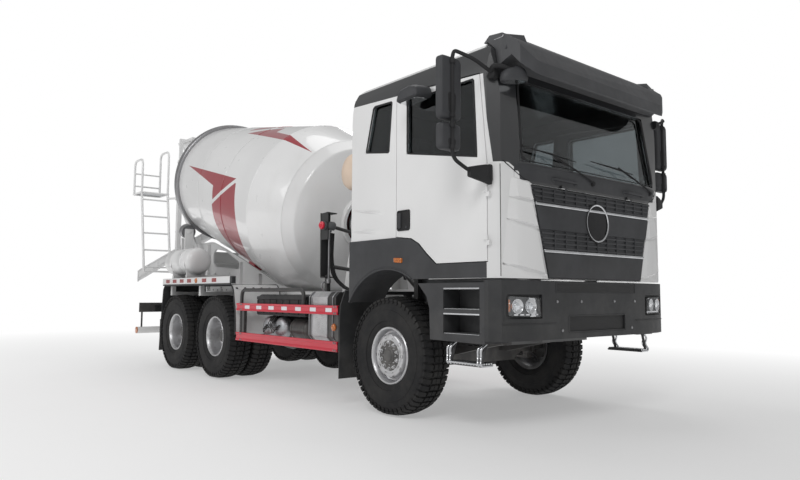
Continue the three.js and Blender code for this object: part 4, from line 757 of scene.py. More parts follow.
class Finishes:
    """Every finish of the truck by name, made when it is first asked for."""

    def __init__(self):
        self.made = {}

    def __call__(self, name):
        if name not in self.made:
            self.made[name] = getattr(self, name)().material
        return self.made[name]

    def cab_paint(self):
        p = coat("cab_paint", tuple(sizes().cab_colour), rough=0.28, clear=0.8, dust=0.1)
        white = Value(p, p.shader.inputs["Base Color"].links[0].from_socket)
        # dark bands below the roof's side edges, round the windscreen, along the cowl and inside the cab
        low = 2981 - (p.x + 480) * (105 / 1840)
        roof = abs(p.y).over(1090) * p.z.over(low) * p.z.under(3112)
        pillar = p.x.over(1374 - (p.z - 2160) * (72 / 725)) * p.z.over(2158)
        cowl = p.x.over(1400) * p.z.over((2160 - (1110 - abs(p.y)) * 0.7).most(2000))
        wall = 1446 - (p.z - 2172).most(0) * 0.128 - (abs(p.y) - 860).most(0) * 0.26
        inside = abs(p.y).under(1188) * p.x.under(wall) * p.x.over(-438) * p.z.over(1262) * p.z.under(3108)
        dark = roof.most(pillar).most(cowl).most(inside)
        p.colour(p.blend(dark, white, (0.024, 0.025, 0.027)))
        return p

    def drum_paint(self):
        p = coat("drum_paint", (0.80, 0.80, 0.80), rough=0.26, clear=0.7, dust=0.08, top=1700)
        along, up = drum_axis(p)
        white = Value(p, p.shader.inputs["Base Color"].links[0].from_socket)
        turn = p.sum("ARCTAN2", p.y, up) * (180 / math.pi)
        red = red_darts(along, turn)
        tint = tuple(sizes().stripe_colour)[:3]
        crimson = p.blend(p.noise(500, 3), tint, tuple(c * 0.85 for c in tint))
        grime = (1 - along.fade(-740, -380)) * p.noise(160, 5, 0.65).fade(0.35, 0.75) * 0.6
        smear = p.noise(420, 5, 0.6, (1, 1, 0.35)).fade(0.56, 0.8) * 0.16
        p.colour(p.blend(grime.most(smear), p.blend(red, white, crimson), (0.45, 0.44, 0.42)))
        seams = 0
        for station in SHELL_SEAMS:
            seams = (1 - abs(along - station).fade(0, 16)) + seams
        p.bump(seams + p.noise(2.8, 2) * 0.02, 1.6, 0.9)
        return p

    def visor_plastic(self):
        return moulded("visor_plastic", (0.045, 0.046, 0.049), rough=0.42, grain=1.2, dust=0.05, depth=0.05)

    def dark_trim(self):
        return moulded("dark_trim", (0.030, 0.031, 0.034), rough=0.5, grain=1.6, dust=0.16)

    def bumper_black(self):
        return moulded("bumper_black", (0.020, 0.021, 0.023), rough=0.46, grain=1.4, dust=0.14, depth=0.08)

    def chassis_black(self):
        return coat("chassis_black", (0.018, 0.018, 0.019), rough=0.42, dust=0.35, clear=0.2, top=1400)

    def axle_grey(self):
        return coat("axle_grey", (0.035, 0.035, 0.037), rough=0.5, dust=0.5, clear=0.1, top=1300)

    def engine_grey(self):
        return coat("engine_grey", (0.10, 0.105, 0.11), rough=0.5, dust=0.4, clear=0.1, top=1500)

    def body_white(self):
        return coat("body_white", (0.78, 0.78, 0.78), rough=0.32, dust=0.22, clear=0.5, top=1900)

    def cream_shell(self):
        return moulded("cream_shell", (0.55, 0.44, 0.35), rough=0.5, grain=2.2, dust=0.25)

    def fender_black(self):
        p = moulded("fender_black", (0.020, 0.021, 0.023), rough=0.46, grain=1.4, dust=0.14, depth=0.08)
        black = Value(p, p.shader.inputs["Base Color"].links[0].from_socket)
        apron = p.x.over(-3104) * p.z.over(560) * abs(p.y).under(1228)
        white = p.blend(p.noise(220, 4).fade(0.4, 0.8), (0.74, 0.74, 0.74), (0.62, 0.61, 0.60))
        p.colour(p.blend(apron, black, white))
        return p

    def guard_red(self):
        return coat("guard_red", (0.62, 0.008, 0.035), rough=0.34, dust=0.08, clear=0.4)

    def marker_tape(self):
        """Retroreflective tape: white and red lengths with a fine honeycomb."""
        p = Paint("marker_tape", Coat_Roughness=0.05)
        p.feed("Coat Weight", 0.8)
        part = (p.x * (1 / 300) + 0.06).fract()
        cell = p.cells(7).fade(0.2, 0.6)
        white = p.blend(cell, (0.86, 0.86, 0.88), (0.66, 0.66, 0.70))
        red = p.blend(cell, (0.55, 0.01, 0.02), (0.38, 0.005, 0.015))
        p.colour(p.blend(part.over(0.5), white, red))
        p.feed("Roughness", cell * 0.1 + 0.22)
        p.bump(cell, 0.15, 0.6)
        return p

    def chrome(self):
        return bare_metal("chrome", (0.74, 0.75, 0.77), rough=0.16, grain=30)

    def rim_metal(self):
        p = bare_metal("rim_metal", (0.60, 0.60, 0.61), rough=0.36, grain=8)
        grime = p.noise(70, 5, 0.65).fade(0.5, 0.78) * 0.55
        p.colour(p.blend(grime, (0.60, 0.60, 0.61), (0.20, 0.19, 0.18)))
        return p

    def steel(self):
        return bare_metal("steel", (0.36, 0.36, 0.37), rough=0.38, grain=10)

    def ring_steel(self):
        p = bare_metal("ring_steel", (0.40, 0.40, 0.41), rough=0.34, grain=14)
        rust = p.noise(90, 6, 0.7).fade(0.5, 0.72) * 0.4
        p.colour(p.blend(rust, (0.34, 0.34, 0.35), (0.16, 0.10, 0.07)))
        return p

    def tank_alloy(self):
        return bare_metal("tank_alloy", (0.50, 0.51, 0.53), rough=0.44, brushed=(1, 1, 14), grain=20)

    def shield_alloy(self):
        """Heat shield pressed all over with small round dimples."""
        p = bare_metal("shield_alloy", (0.66, 0.66, 0.67), rough=0.34, grain=18)
        dimple = p.cells(15).fade(0.15, 0.6)
        p.bump(dimple, 2.2, 1.0)
        return p

    def tread_plate(self):
        """Plate with raised lozenges."""
        p = bare_metal("tread_plate", (0.50, 0.51, 0.52), rough=0.4, grain=12)
        u = (p.x + p.y) * (1 / 26)
        v = (p.x - p.y) * (1 / 26)
        a = (u + 200).fract()
        b = (v + 200).fract()
        lozenge = (1 - abs(a - 0.5) * 4).most(0) * (1 - abs(b - 0.5) * 1.4).most(0)
        p.bump(lozenge, 2.4, 1.0)
        return p

    def rubber(self):
        p = Paint("rubber")
        p.feed("Specular IOR Level", 0.3)
        film = p.noise(180, 6, 0.65).fade(0.4, 0.75) * 0.35
        p.colour(p.blend(film, (0.014, 0.014, 0.015), (0.070, 0.066, 0.060)))
        p.feed("Roughness", p.noise(40, 3) * 0.14 + 0.66)
        p.bump(p.noise(2.2, 3) + p.cells(22) * 0.3, 0.25, 0.6)
        return p

    def soft_black(self):
        return moulded("soft_black", (0.012, 0.012, 0.013), rough=0.7, grain=2.2, dust=0.08)

    def seal_rubber(self):
        return moulded("seal_rubber", (0.008, 0.008, 0.009), rough=0.55, grain=3, dust=0.02, depth=0.04)

    def cab_glass(self):
        return clear_pane("cab_glass", (0.30, 0.33, 0.34))

    def lamp_glass(self):
        p = clear_pane("lamp_glass", (0.94, 0.95, 0.96))
        p.bump(p.x.wave(9) * 0.5 + p.y.wave(9) * 0.5, 0.25, 0.4)
        return p

    def lamp_cover(self):
        """Clear moulded cover of a headlamp."""
        p = Paint("lamp_cover")
        p.feed("Roughness", p.noise(60, 3) * 0.02 + 0.01)
        p.colour(p.blend(p.noise(90, 2), (0.9, 0.92, 0.94), (0.8, 0.82, 0.84)))
        p.feed("Alpha", p.noise(40, 2) * 0.03 + 0.12)
        return p

    def lamp_glass_white(self):
        return lamp_lens("lamp_glass_white", (0.75, 0.75, 0.78))

    def lamp_amber(self):
        return lamp_lens("lamp_amber", (0.85, 0.22, 0.01))

    def lamp_red(self):
        return lamp_lens("lamp_red", (0.50, 0.008, 0.01))

    def mirror_glass(self):
        return bare_metal("mirror_glass", (0.86, 0.88, 0.9), rough=0.09, grain=90)

    def net_dark(self):
        """Fine punched mesh in the air intake; its holes are coloured near-black as painted shade for the dark behind
        the mesh.
        """
        p = Paint("net_dark")
        u, v = p.y * (1 / 9), p.z * (1 / 9)
        row = ((v + 400).floor() * 0.5).fract()
        a = (u + row + 400).fract() - 0.5
        b = (v + 400).fract() - 0.5
        hole = (a * a + b * b).under(0.11)
        # painted shade: the holes take near-black for the shadow seen through them
        p.colour(p.blend(hole, (0.014, 0.014, 0.015), (0.001, 0.001, 0.001)))
        p.feed("Roughness", hole * 0.3 + 0.45)
        p.bump(1 - hole, 1.2, 1.0)
        return p

    def seat_cloth(self):
        """Woven cloth: over and under threads with a soft sheen."""
        p = Paint("seat_cloth", Sheen_Weight=0.35, Sheen_Roughness=0.5)
        warp = (p.x + p.z).wave(3.0)
        weft = p.y.wave(3.0)
        weave = warp * weft + (1 - warp) * (1 - weft)
        p.colour(p.blend(weave, (0.020, 0.021, 0.024), (0.050, 0.052, 0.058)))
        p.feed("Roughness", p.noise(60, 3) * 0.1 + 0.82)
        p.bump(weave, 0.4, 0.8)
        return p

    def dash_plastic(self):
        return moulded("dash_plastic", (0.050, 0.050, 0.053), rough=0.6, grain=1.8, dust=0.0)

    def cable_black(self):
        return moulded("cable_black", (0.010, 0.010, 0.011), rough=0.5, grain=4, dust=0.2)

    def brass(self):
        return bare_metal("brass", (0.55, 0.36, 0.14), rough=0.3, grain=20)


paint = Finishes()


def sizes():
    return bpy.context.scene.mixer_truck


# ---------------------------------------------------------------- sizes and colours
class MixerTruckSizes(bpy.types.PropertyGroup):
    """The sizes and colours that a user may change."""

    cab_colour: FloatVectorProperty(
        name="Cab colour", description="Paint of the cab", default=(
            0.80, 0.80, 0.80
        ), subtype="COLOR", size=3
    )
    stripe_colour: FloatVectorProperty(
        name="Stripe colour", description="Darts on the drum", default=(
            0.34, 0.006, 0.02
        ), subtype="COLOR", size=3
    )
    drum_sides: IntProperty(
        name="Drum sides", description="Facets around the drum", default=128, min=32, max=256
    )
    tread_pitches: IntProperty(
        name="Tread pitches", description="Tread blocks around a tyre", default=52, min=20, max=90
    )
    wheel_studs: IntProperty(
        name="Wheel studs", description="Nuts around a wheel", default=10, min=6, max=12
    )
    slat_gap: FloatProperty(
        name="Slat spacing", description="Spacing of the grille's slats",
        default=0.038, unit="LENGTH", min=0.02, max=0.08
    )
    edge_radius: FloatProperty(
        name="Edge radius", description="Softening of pressed and cast edges",
        default=0.006, unit="LENGTH", min=0.001, max=0.02
    )


class Maker(bpy.types.Operator):
    """Common to every piece's operator."""

    bl_options = {"REGISTER", "UNDO"}

    def execute(self, context):
        self.make(context.scene.mixer_truck)
        return {"FINISHED"}


# ---------------------------------------------------------------- fixed nodes
def soften_tree():
    """Merges a node's loose triangles and smooths the faces that meet gently."""
    if "soften" in bpy.data.node_groups:
        return bpy.data.node_groups["soften"]
    tree, given, out = new_tree("soften", [("Angle", "Float")])
    joined = put(tree, "GeometryNodeMergeByDistance", {0: given.outputs[0], "Distance": 3e-5})
    smooth = put(tree, "GeometryNodeSetShadeSmooth", {0: joined.outputs[0], "Shade Smooth": True})
    angle = put(tree, "GeometryNodeInputMeshEdgeAngle")
    sharp = put(
        tree, "ShaderNodeMath", {0: angle.outputs[0], 1: given.outputs["Angle"]}, operation="LESS_THAN"
    )
    edges = put(
        tree,
        "GeometryNodeSetShadeSmooth",
        {0: smooth.outputs[0], "Shade Smooth": sharp.outputs[0]},
        domain="EDGE",
    )
    tree.links.new(edges.outputs[0], out.inputs[0])
    return tree


def kept(node, finish, bevel=None, angle=28):
    """Gives a fixed node its finish and eased edges, leaving its mesh alone."""
    obj = NODES[node] if not isinstance(NODES[node], str) else bpy.data.objects[NODES[node]]
    obj.data.materials.clear()
    obj.data.materials.append(paint(finish))
    for face in obj.data.polygons:
        face.material_index = 0
    run = obj.modifiers.new("soften", "NODES")
    run.node_group = soften_tree()
    run[run.node_group.interface.items_tree["Angle"].identifier] = math.radians(angle)
    width = sizes().edge_radius * 1000 if bevel is None else bevel
    if width:
        eased_edges(obj, width, angle)


# ---------------------------------------------------------------- stage
def floor_finish():
    p = Paint("floor_white")
    p.feed("Roughness", 0.9)
    p.colour(p.blend(p.noise(900, 2), (0.84, 0.84, 0.84), (0.81, 0.81, 0.81)))
    white = p.node("ShaderNodeEmission", inputs={"Color": (1, 1, 1, 1), "Strength": 1.0})
    away = p.sum("SQRT", p.x * p.x * 0.3 + p.y * p.y)
    shade = p.node("ShaderNodeMixShader", inputs={0: away.fade(2200, 9000) * 0.66 + 0.34})
    p.tree.links.new(p.shader.outputs[0], shade.inputs[1])
    p.tree.links.new(white.outputs[0], shade.inputs[2])
    p.tree.links.new(shade.outputs[0], p.out.inputs[0])
    return p.material


def studio_world(scene):
    world = bpy.data.worlds.new("studio")
    scene.world = world
    world.use_nodes = True
    tree = world.node_tree
    tree.nodes.clear()
    path = put(tree, "ShaderNodeLightPath").outputs
    rays = {0: path["Is Camera Ray"], 1: path["Is Transmission Ray"]}
    seen = put(tree, "ShaderNodeMath", rays, operation="MAXIMUM")
    mirrored = put(
        tree, "ShaderNodeMath", {0: path["Is Glossy Ray"], 1: MIRRORED_GLOW}, operation="MULTIPLY"
    )
    rays = {0: seen.outputs[0], 1: mirrored.outputs[0]}
    any_ray = put(tree, "ShaderNodeMath", rays, operation="MAXIMUM")
    span = {"Value": any_ray.outputs[0], "To Min": ROOM_GLOW, "To Max": 1.0}
    level = put(tree, "ShaderNodeMapRange", span)
    white = {"Color": (1, 1, 1, 1), "Strength": level.outputs[0]}
    glow = put(tree, "ShaderNodeBackground", white)
    put(tree, "ShaderNodeOutputWorld", {0: glow.outputs[0]})


def studio_lamp(name, place, aim, across, power):
    light = bpy.data.lights.new(name, "AREA")
    light.shape = "DISK"
    light.size = across
    light.energy = power
    obj = bpy.data.objects.new(name, light)
    bpy.context.scene.collection.objects.link(obj)
    obj.location = place
    obj.rotation_euler = (Vector(aim) - Vector(place)).to_track_quat("-Z", "Y").to_euler()


def studio_camera(scene):
    data = bpy.data.cameras.new("camera")
    data.sensor_width = 36
    data.lens = LENS
    data.clip_end = 300
    obj = bpy.data.objects.new("camera", data)
    scene.collection.objects.link(obj)
    yaw, pitch, roll = (math.radians(a) for a in CAMERA_TURN)
    d = Vector((-math.cos(yaw) * math.cos(pitch), math.sin(yaw) * math.cos(pitch), math.sin(pitch)))
    r = d.cross(Vector((0, 0, 1))).normalized()
    u = r.cross(d)
    right = r * math.cos(roll) + u * math.sin(roll)
    up = u * math.cos(roll) - r * math.sin(roll)
    turn = Matrix((right, up, -d)).transposed().to_4x4()
    obj.matrix_world = Matrix.Translation(at(*CAMERA_PLACE)) @ turn
    scene.camera = obj


class MIXERTRUCK_OT_stage(Maker):
    """Pale floor, soft studio lamps and the camera"""

    bl_idname = "mixer_truck.stage"
    bl_label = "Stage"

    def make(self, size):
        scene = bpy.context.scene
        scene.view_settings.view_transform = "Standard"
        floor = linked("stage_floor", bpy.data.meshes.new("stage_floor"))
        r = FLOOR_REACH
        floor.data.from_pydata([(-r, -r, 0), (r, -r, 0), (r, r, 0), (-r, r, 0)], [], [(0, 1, 2, 3)])
        floor.data.materials.append(floor_finish())
        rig.stage(floor)
        studio_world(scene)
        for each in LAMPS:
            studio_lamp(*each)
        studio_camera(scene)


# ---------------------------------------------------------------- drum
def on_drum(s, r, turn):
    """A point on the drum: station along its axis, radius, and turn from the top towards +Y in degrees."""
    t = math.radians(turn)
    up = Vector((math.sin(TILT), 0, math.cos(TILT)))
    return Vector(RING) + AXIS * s + (up * math.cos(t) + Vector((0, 1, 0)) * math.sin(t)) * r


def drum_blades(shape):
    """Two spiral blades that show inside the mouth."""
    for start in (0, 180):
        rows = []
        for k in range(41):
            turn = start + k * 9
            s = -690 + k * 26
            wall = 490 + (940 - 490) * min(max((s + 742) / 682, 0), 1)
            rows.append([on_drum(s, wall - 20, turn), on_drum(s, wall - 210, turn)])
        front = [[p + AXIS * 8 for p in row] for row in rows]
        for a, b in zip(rows, rows[1:]):
            shape.sheet([a, b])
        for a, b in zip(front, front[1:]):
            shape.sheet([a, b])
        edge = [[row[1], other[1]] for row, other in zip(rows, front)]
        shape.sheet(edge)


def drum_fittings():
    collar = Shape().lathe(
        RING, AXIS, [
            (300, 3896), (345, 3896), (352, 3902), (352, 3952), (345, 3960), (300, 3960), (300, 3896)
        ], 72
    )
    finished("drum_front_flange", collar, "drum", "body_white", "white", bevel=2)
    lip = Shape().lathe(
        RING, AXIS, [(488, -764), (514, -764), (520, -752), (514, -738), (488, -742), (488, -764)], 96
    )
    finished("drum_mouth_lip", lip, "drum", "ring_steel", "steel")
    hatch = Shape()
    rings = []
    for grow, lift in ((0, -6), (0, 16), (-26, 26), (-60, 27)):
        ring = []
        for u, v in oblong(-300 - grow, 300 + grow, -15.5 - grow / 30, 15.5 + grow / 30, 60, 5):
            s = 1990 + u
            ring.append(on_drum(s, 958 + 200 * (s - 60) / 2870 + lift, 196 + v))
        rings.append(ring)
    hatch.skin(rings)
    finished("drum_hatch", hatch, "drum", "drum_paint", "white", bevel=3)
    seam = Shape()
    for s, r in ((980, 1021.7), (1960, 1089.5)):
        seam.lathe(
            RING, AXIS, [(r, s - 11), (r + 2.6, s - 5), (r + 3.4, s), (r + 2.8, s + 5), (r, s + 11)], 128
        )
    for s, r in ((2930, 1158), (3550, 1006), (-60, 941)):
        seam.lathe(
            RING, AXIS,
            [(r - 3, s - 13), (r + 1.6, s - 5), (r + 2.2, s), (r + 1.2, s + 5), (r - 4, s + 13)], 128
        )
    finished("drum_weld_seams", seam, "drum", "drum_paint", "white", angle=60)


class MIXERTRUCK_OT_drum(Maker):
    """Mixing drum with its welded shell, track ring, mouth and front flange"""

    bl_idname = "mixer_truck.drum"
    bl_label = "Drum"

    def make(self, size):
        n = size.drum_sides
        shell = Shape()
        outside = [(500, -760), (507, -758), (512, -742)]
        outside += [
            (512 + (940 - 512) * k / 8 - 14 * math.sin(math.pi * k / 8), -742 + 682 * k / 8)
            for k in range(1, 9)
        ]
        outside += [(944, -40), (956, 56), (1048, 1400), (1106, 2240)]
        outside += [(1151, 2880), (1158, 2930), (1153, 2980)]
        outside += [(1012, 3530), (1005, 3556), (988, 3578)]
        outside += [(915, 3690), (904, 3706), (885, 3716), (694, 3836), (340, 3900)]
        inside = [(max(r - 24, 300), s) for r, s in reversed(outside[2:-1])]
        shell.lathe(RING, AXIS, [*outside, (340, 3876), *inside, (488, -758), outside[0]], n)
        drum_blades(shell)
        finished("drum_shell_skin", shell, "drum", "drum_paint", "white", angle=30, replaces=["drum_shell"])
        ring = Shape().lathe(
            RING, AXIS, [(950, -52), (990, -55), (1000, -49), (1000, 49), (990, 55), (950, 52), (950, -52)],
            n
        )
        finished("drum_track_ring", ring, "drum", "ring_steel", "steel", angle=30)
        drum_fittings()


# ---------------------------------------------------------------- wheels
def tyre_and_tread(name, centre, body, size, nodes):
    """Carcass with its sidewalls, and block tread around it."""
    wall = [
        (262, -108), (276, -122), (300, -134), (318, -138), (322, -146), (372, -150), (420, -149),
        (424, -145), (470, -141)
    ]
    wall += [(500, -135), (520, -127), (531, -116), (533, -104)]
    groove = [(533, -62), (520, -60), (520, -52), (534, -50), (534, 50), (520, 52), (520, 60), (533, 62)]
    profile = wall + [(533, -64)] + groove + [(533, 64)] + [(r, -s) for r, s in reversed(wall)]
    inner = [(250, 96), (250, -96)]
    shape = Shape().lathe(centre, (0, 1, 0), [*profile, *inner, profile[0]], 104)
    finished(name, shape, body, "rubber", "tyre", angle=40, replaces=nodes)
    pitch = 2 * math.pi / size.tread_pitches
    block = Shape()
    for y0, y1, lean, r in (
        (-149, -66, 0.18, 549), (-44, -4, -0.12, 550), (4, 44, 0.12, 550), (66, 149, -0.18, 549)
    ):
        low = min(abs(y0), abs(y1)) < 60
        w = pitch * (0.34 if low else 0.36)
        rings = []
        for rr, grow in ((528, 1.05), (r - 4, 1.0), (r, 0.9)):
            ring = []
            for y, t in ((y0, -w), (y1, -w), (y1, w), (y0, w)):
                edge = abs(y) > 140
                ry = rr - (18 if edge else 0)
                a = t * grow + lean * pitch * (y - (y0 + y1) / 2) / 80
                ring.append((ry * math.sin(a), y * (0.985 if rr == r else 1), ry * math.cos(a)))
            rings.append(ring)
        block.skin(rings)
    for q in (-1, 1):
        rings = []
        for rr in (486, 524):
            yy = 139 if rr == 486 else 128
            ring = [
                (rr * math.sin(t), q * (yy + d), rr * math.cos(t))
                for t, d in ((-pitch * 0.3, -6), (pitch * 0.3, -6), (pitch * 0.3, 9), (-pitch * 0.3, 9))
            ]
            rings.append(ring)
        block.skin(rings)
    applied(
        name + "_tread", "around a ring", stamp(block), "rubber", body, "tyre",
        Count=size.tread_pitches, Centre=at(*centre), Turn=(0, 0, 0),
    )


def front_rim(side, q, centre, body, size):
    rim = Shape()
    out = [
        (262, 108), (268, 118), (262, 124), (250, 122), (240, 110), (236, 84), (228, 66), (214, 60),
        (208, 76)
    ]
    out += [(204, 102), (196, 116), (182, 122), (168, 121), (150, 116), (141, 118), (141, 96)]
    back = [
        (141, 88), (168, 104), (186, 104), (194, 60), (196, -60), (214, -90), (240, -110), (262, -122),
        (262, -108)
    ]
    back += [(246, -96), (226, -60), (222, 40), (252, 100)]
    loop = out + back
    rim.lathe(centre, (0, q, 0), [*loop, loop[0]], 96)
    finished(
        "front_rim_skin_" + side, rim, body, "rim_metal", "silver", angle=36, replaces=["front_rim_" + side]
    )
    rim_holes("front_rim_windows_" + side, centre, q, 178, 119.4, body, 15, 10)
    hub = Shape()
    cap = [
        (0, 148), (46, 148), (54, 144), (60, 132), (66, 128), (72, 126), (76, 118), (84, 114), (96, 112),
        (102, 118), (140, 119), (141, 90), (0, 90)
    ]
    hub.lathe(centre, (0, q, 0), cap, 64)
    finished("front_hub_" + side, hub, body, "axle_grey", "steel", angle=30)
    wheel_nuts("front_nuts_" + side, centre, q, 124, 117, body, size.wheel_studs)
    wheel_nuts("front_hub_screws_" + side, centre, q, 84, 112, body, 8, 6)


def rim_holes(name, centre, q, r, y, body, radius, count):
    """Closed dishes round the rim's disc, one in each ventilation hole, coloured near-black as painted shade for the
    dark seen through the holes.
    """
    dish = Shape().lathe(
        (0, q * y, r), (0, q, 0),
        [(0, -9), (radius - 4, -8), (radius - 1, -1), (radius, 1.4), (radius + 3, 1.6), (radius + 4, 0)], 16
    )
    # painted shade: the near-black finish stands for the shadow behind the holes, not a colour of the rim
    finish = "soft_black"
    applied(
        name, "around a ring", stamp(dish), finish, body, "silver", Count=count, Centre=at(*centre),
        Turn=(0, 0.31, 0)
    )


def wheel_nuts(name, centre, q, r, y, body, count, size=15):
    nut = Shape().lathe(
        (0, q * y, r), (0, q, 0),
        [
            (0, size * 2.1), (size * 0.45, size * 2.05), (size * 0.55, size * 1.5),
            (size * 0.6, size * 1.5), (size, size * 1.3), (size, 2), (size * 1.5, 1.5), (size * 1.5, -2),
            (0, -2)
        ],
        6
    )
    applied(
        name, "around a ring", stamp(nut), "rim_metal", body, "silver", Count=count, Centre=at(*centre),
        Turn=(0, 0, 0)
    )


def twin_rims(i, side, q, centre, body, size):
    rim = Shape()
    dish = [
        (262, 274), (268, 284), (262, 290), (250, 288), (240, 276), (234, 240), (226, 180), (216, 120),
        (206, 86), (196, 78), (160, 76), (141, 72)
    ]
    dish += [(141, 58), (190, 60), (208, 72), (222, 110), (238, 210), (252, 262)]
    for flip in (1, -1):
        rim.lathe(centre, (0, q * flip, 0), [*dish, dish[0]], 80)
        rim.lathe(
            centre, (0, q * flip, 0),
            [(262, 62), (262, 52), (236, 64), (232, 96), (240, 96), (244, 70), (262, 62)], 80
        )
    finished(
        f"twin_rims_skin_{i}_{side}", rim, body, "rim_metal", "silver", angle=36,
        replaces=[f"twin_rims_{i}_{side}"]
    )
    rim_holes(f"twin_windows_{i}_{side}", centre, q, 176, 79, body, 15, 10)
    hub = Shape()
    cap = [
        (0, 196), (60, 196), (72, 190), (80, 176), (84, 150), (90, 146), (100, 144), (104, 136), (108, 90),
        (141, 84), (141, 40), (0, 40)
    ]
    hub.lathe(centre, (0, q, 0), cap, 64)
    finished(f"twin_hub_{i}_{side}", hub, body, "axle_grey", "steel", angle=30)
    wheel_nuts(f"twin_nuts_{i}_{side}", centre, q, 124, 84, body, size.wheel_studs)
    wheel_nuts(f"twin_hub_screws_{i}_{side}", centre, q, 92, 146, body, 10, 6)


class MIXERTRUCK_OT_wheels(Maker):
    """Front wheels, twin rear wheels, their treads, rims, hubs and nuts"""

    bl_idname = "mixer_truck.wheels"
    bl_label = "Wheels"

    def make(self, size):
        for side, q in SIDES:
            body = "front_wheel_" + side
            centre = (0, q * FRONT_TRACK, WHEEL_Z)
            tyre_and_tread("front_tyre_skin_" + side, centre, body, size, ["front_tyre_" + side])
            front_rim(side, q, centre, body, size)
            for i, x in REAR_AXLES:
                body = f"rear_wheel_{i}_{side}"
                nodes = [f"twin_tyres_{i}_{side}"]
                for j, off in ((1, TWIN_OFFSET), (2, -TWIN_OFFSET)):
                    centre = (x, q * (REAR_TRACK + off), WHEEL_Z)
                    tyre_and_tread(f"twin_tyre_{i}_{j}_{side}", centre, body, size, nodes if j == 1 else [])
                twin_rims(i, side, q, (x, q * REAR_TRACK, WHEEL_Z), body, size)


# ---------------------------------------------------------------- cab
def front_x(y):
    """The cab's front face, wrapped round to its sides, at a distance across."""
    return on_plan([(0, 1501), (700, 1501), (860, 1498), (1030, 1470), (1170, 1420), (1240, 1340)], y)


def screen_x(z):
    return 1398 + (2872 - z) * 90 / 700


def frame_strip(shape, outline, width, place, radius=30, lift=0):
    """A flat ring that follows an outline, standing on a face given by place(u, v, lift)."""
    outer = rounded(outline, radius, 4)
    crown = ((0, 0), (lift, width * 0.15), (lift * 1.3, width * 0.5), (lift, width * 0.85), (0, width))
    rows = layers(place, outer, *crown, (-3, width), (-3, 0))
    rows.append(rows[0])
    shape.skin(rows, caps=False)


DOOR_WINDOW = [
    (366, 2373), (1236, 2209), (1238, 2240), (1208, 2845), (1190, 2866), (384, 2866), (366, 2848)
]
QUARTER = [(-245, 2478), (108, 2424), (124, 2440), (165, 2895), (150, 2911), (-108, 2920), (-132, 2900)]


# Each wiper's pivot, the arm's bend and the ends of its blade, as (y, z).
WIPERS = (
    ((-60, 2092), (-640, 2283), ((-1000, 2300), (-262, 2262))),
    ((905, 2105), (368, 2292), ((-40, 2300), (640, 2262))),
)


def side_seals(side, q):
    on_side = lambda u, v, lift: (u, q * (CAB_SIDE + lift), v)
    shape = Shape()
    frame_strip(shape, DOOR_WINDOW, 24, on_side, 34, 3)
    finished("door_window_seal_" + side, shape, "door_" + side, "seal_rubber", "dark", angle=50)
    shape = Shape()
    frame_strip(shape, QUARTER, 22, on_side, 30, 3)
    finished("quarter_seal_" + side, shape, "cab", "seal_rubber", "dark", angle=50)
    crease = Shape()
    for z0, z1, drop, deep in ((1944, 1876, 34, 17), (1731, 1734, 66, 17)):
        rows = []
        for k in range(9):
            t = k / 8
            x = -440 + 575 * t
            top = z0 + (z1 - z0) * t
            d = deep * math.sin(math.pi * min(t * 1.15 + 0.02, 1))
            rows.append(
                [
                    (x, q * 1240.5, top), (x, q * (CAB_SIDE + d), top - drop * t * 0.5 - 5),
                    (x, q * 1240.5, top - drop * t - 12)
                ]
            )
        crease.sheet(rows)
    finished("cab_side_folds_" + side, crease, "cab", "cab_paint", "white", angle=20)


def corner_folds(side, q):
    """Folded white corner panels beside the grille, in three overlapping tiers."""
    shape = Shape()
    inner = lambda z: 702 + (z - 1252) * (896 - 702) / (1992 - 1252)
    tiers = (((2046, 2012), (1882, 1868)), ((1874, 1858), (1706, 1650)), ((1690, 1640), (1352, 1262)))
    for (top_out, top_in), (low_out, low_in) in tiers:
        rows = []
        for t in (0, 0.05, 0.5, 0.95, 1):
            row = []
            for k in range(9):
                s = k / 8
                out_y = 1092 + (1990 - (top_out + (low_out - top_out) * t)) * 0.11
                z = (top_out + (low_out - top_out) * t) * (1 - s) + (top_in + (low_in - top_in) * t) * s
                y = min(out_y, 1180) * (1 - s) + inner(min(z, 1992)) * s
                lift = {0: 0, 0.05: 7, 0.5: 17, 0.95: 28, 1: 0}[t] * min(1, s * 5) * (1 if s < 0.999 else 0)
                row.append((front_x(y) + lift, q * y, z))
            rows.append(row)
        shape.sheet(rows)
    finished("cab_corner_folds_" + side, shape, "cab", "cab_paint", "white", angle=14)
    edge = Shape()
    line = [(1150, 2168), (1130, 2150), (1080, 2112), (1020, 2066), (958, 2034), (902, 2020)]
    edge.tube([(front_x(y) + 1, q * y, z) for y, z in line], 4, 8)
    edge.tube([(front_x(1174) + 1, q * 1174, z) for z in (1262, 1500, 1800, 2100, 2140)], 3, 6)
    finished("cab_corner_seam_" + side, edge, "cab", "seal_rubber", "dark")


def door_handle(side, q):
    dark = Shape()
    on_side = lambda u, v, lift: (u, q * (CAB_SIDE + lift), v)
    outline = [(243, 1684), (420, 1684), (420, 1872), (243, 1872)]
    frame_strip(dark, outline, 16, on_side, 26, 9)
    pan = inset(rounded(outline, 26, 4), 14)
    dark.raised(on_side, pan, (4, 0), (1.2, 12))
    finished("door_handle_dish_" + side, dark, "door_" + side, "soft_black", "dark", angle=40)
    pull = Shape()
    bar = oblong(262, 306, 1706, 1850, 14, 4)
    rows = [[on_side(u, v, 3) for u, v in bar], [on_side(u, v, 15) for u, v in inset(bar, 2)]]
    rows.append([on_side(u, v, 18) for u, v in inset(bar, 8)])
    pull.skin(rows)
    pull.lathe((372, q * 1241, 1716), (0, q, 0), [(0, 9), (10, 8.5), (12, 6), (13, 0), (0, 0)], 24)
    finished("door_handle_pull_" + side, pull, "door_" + side, "dark_trim", "dark", angle=40)


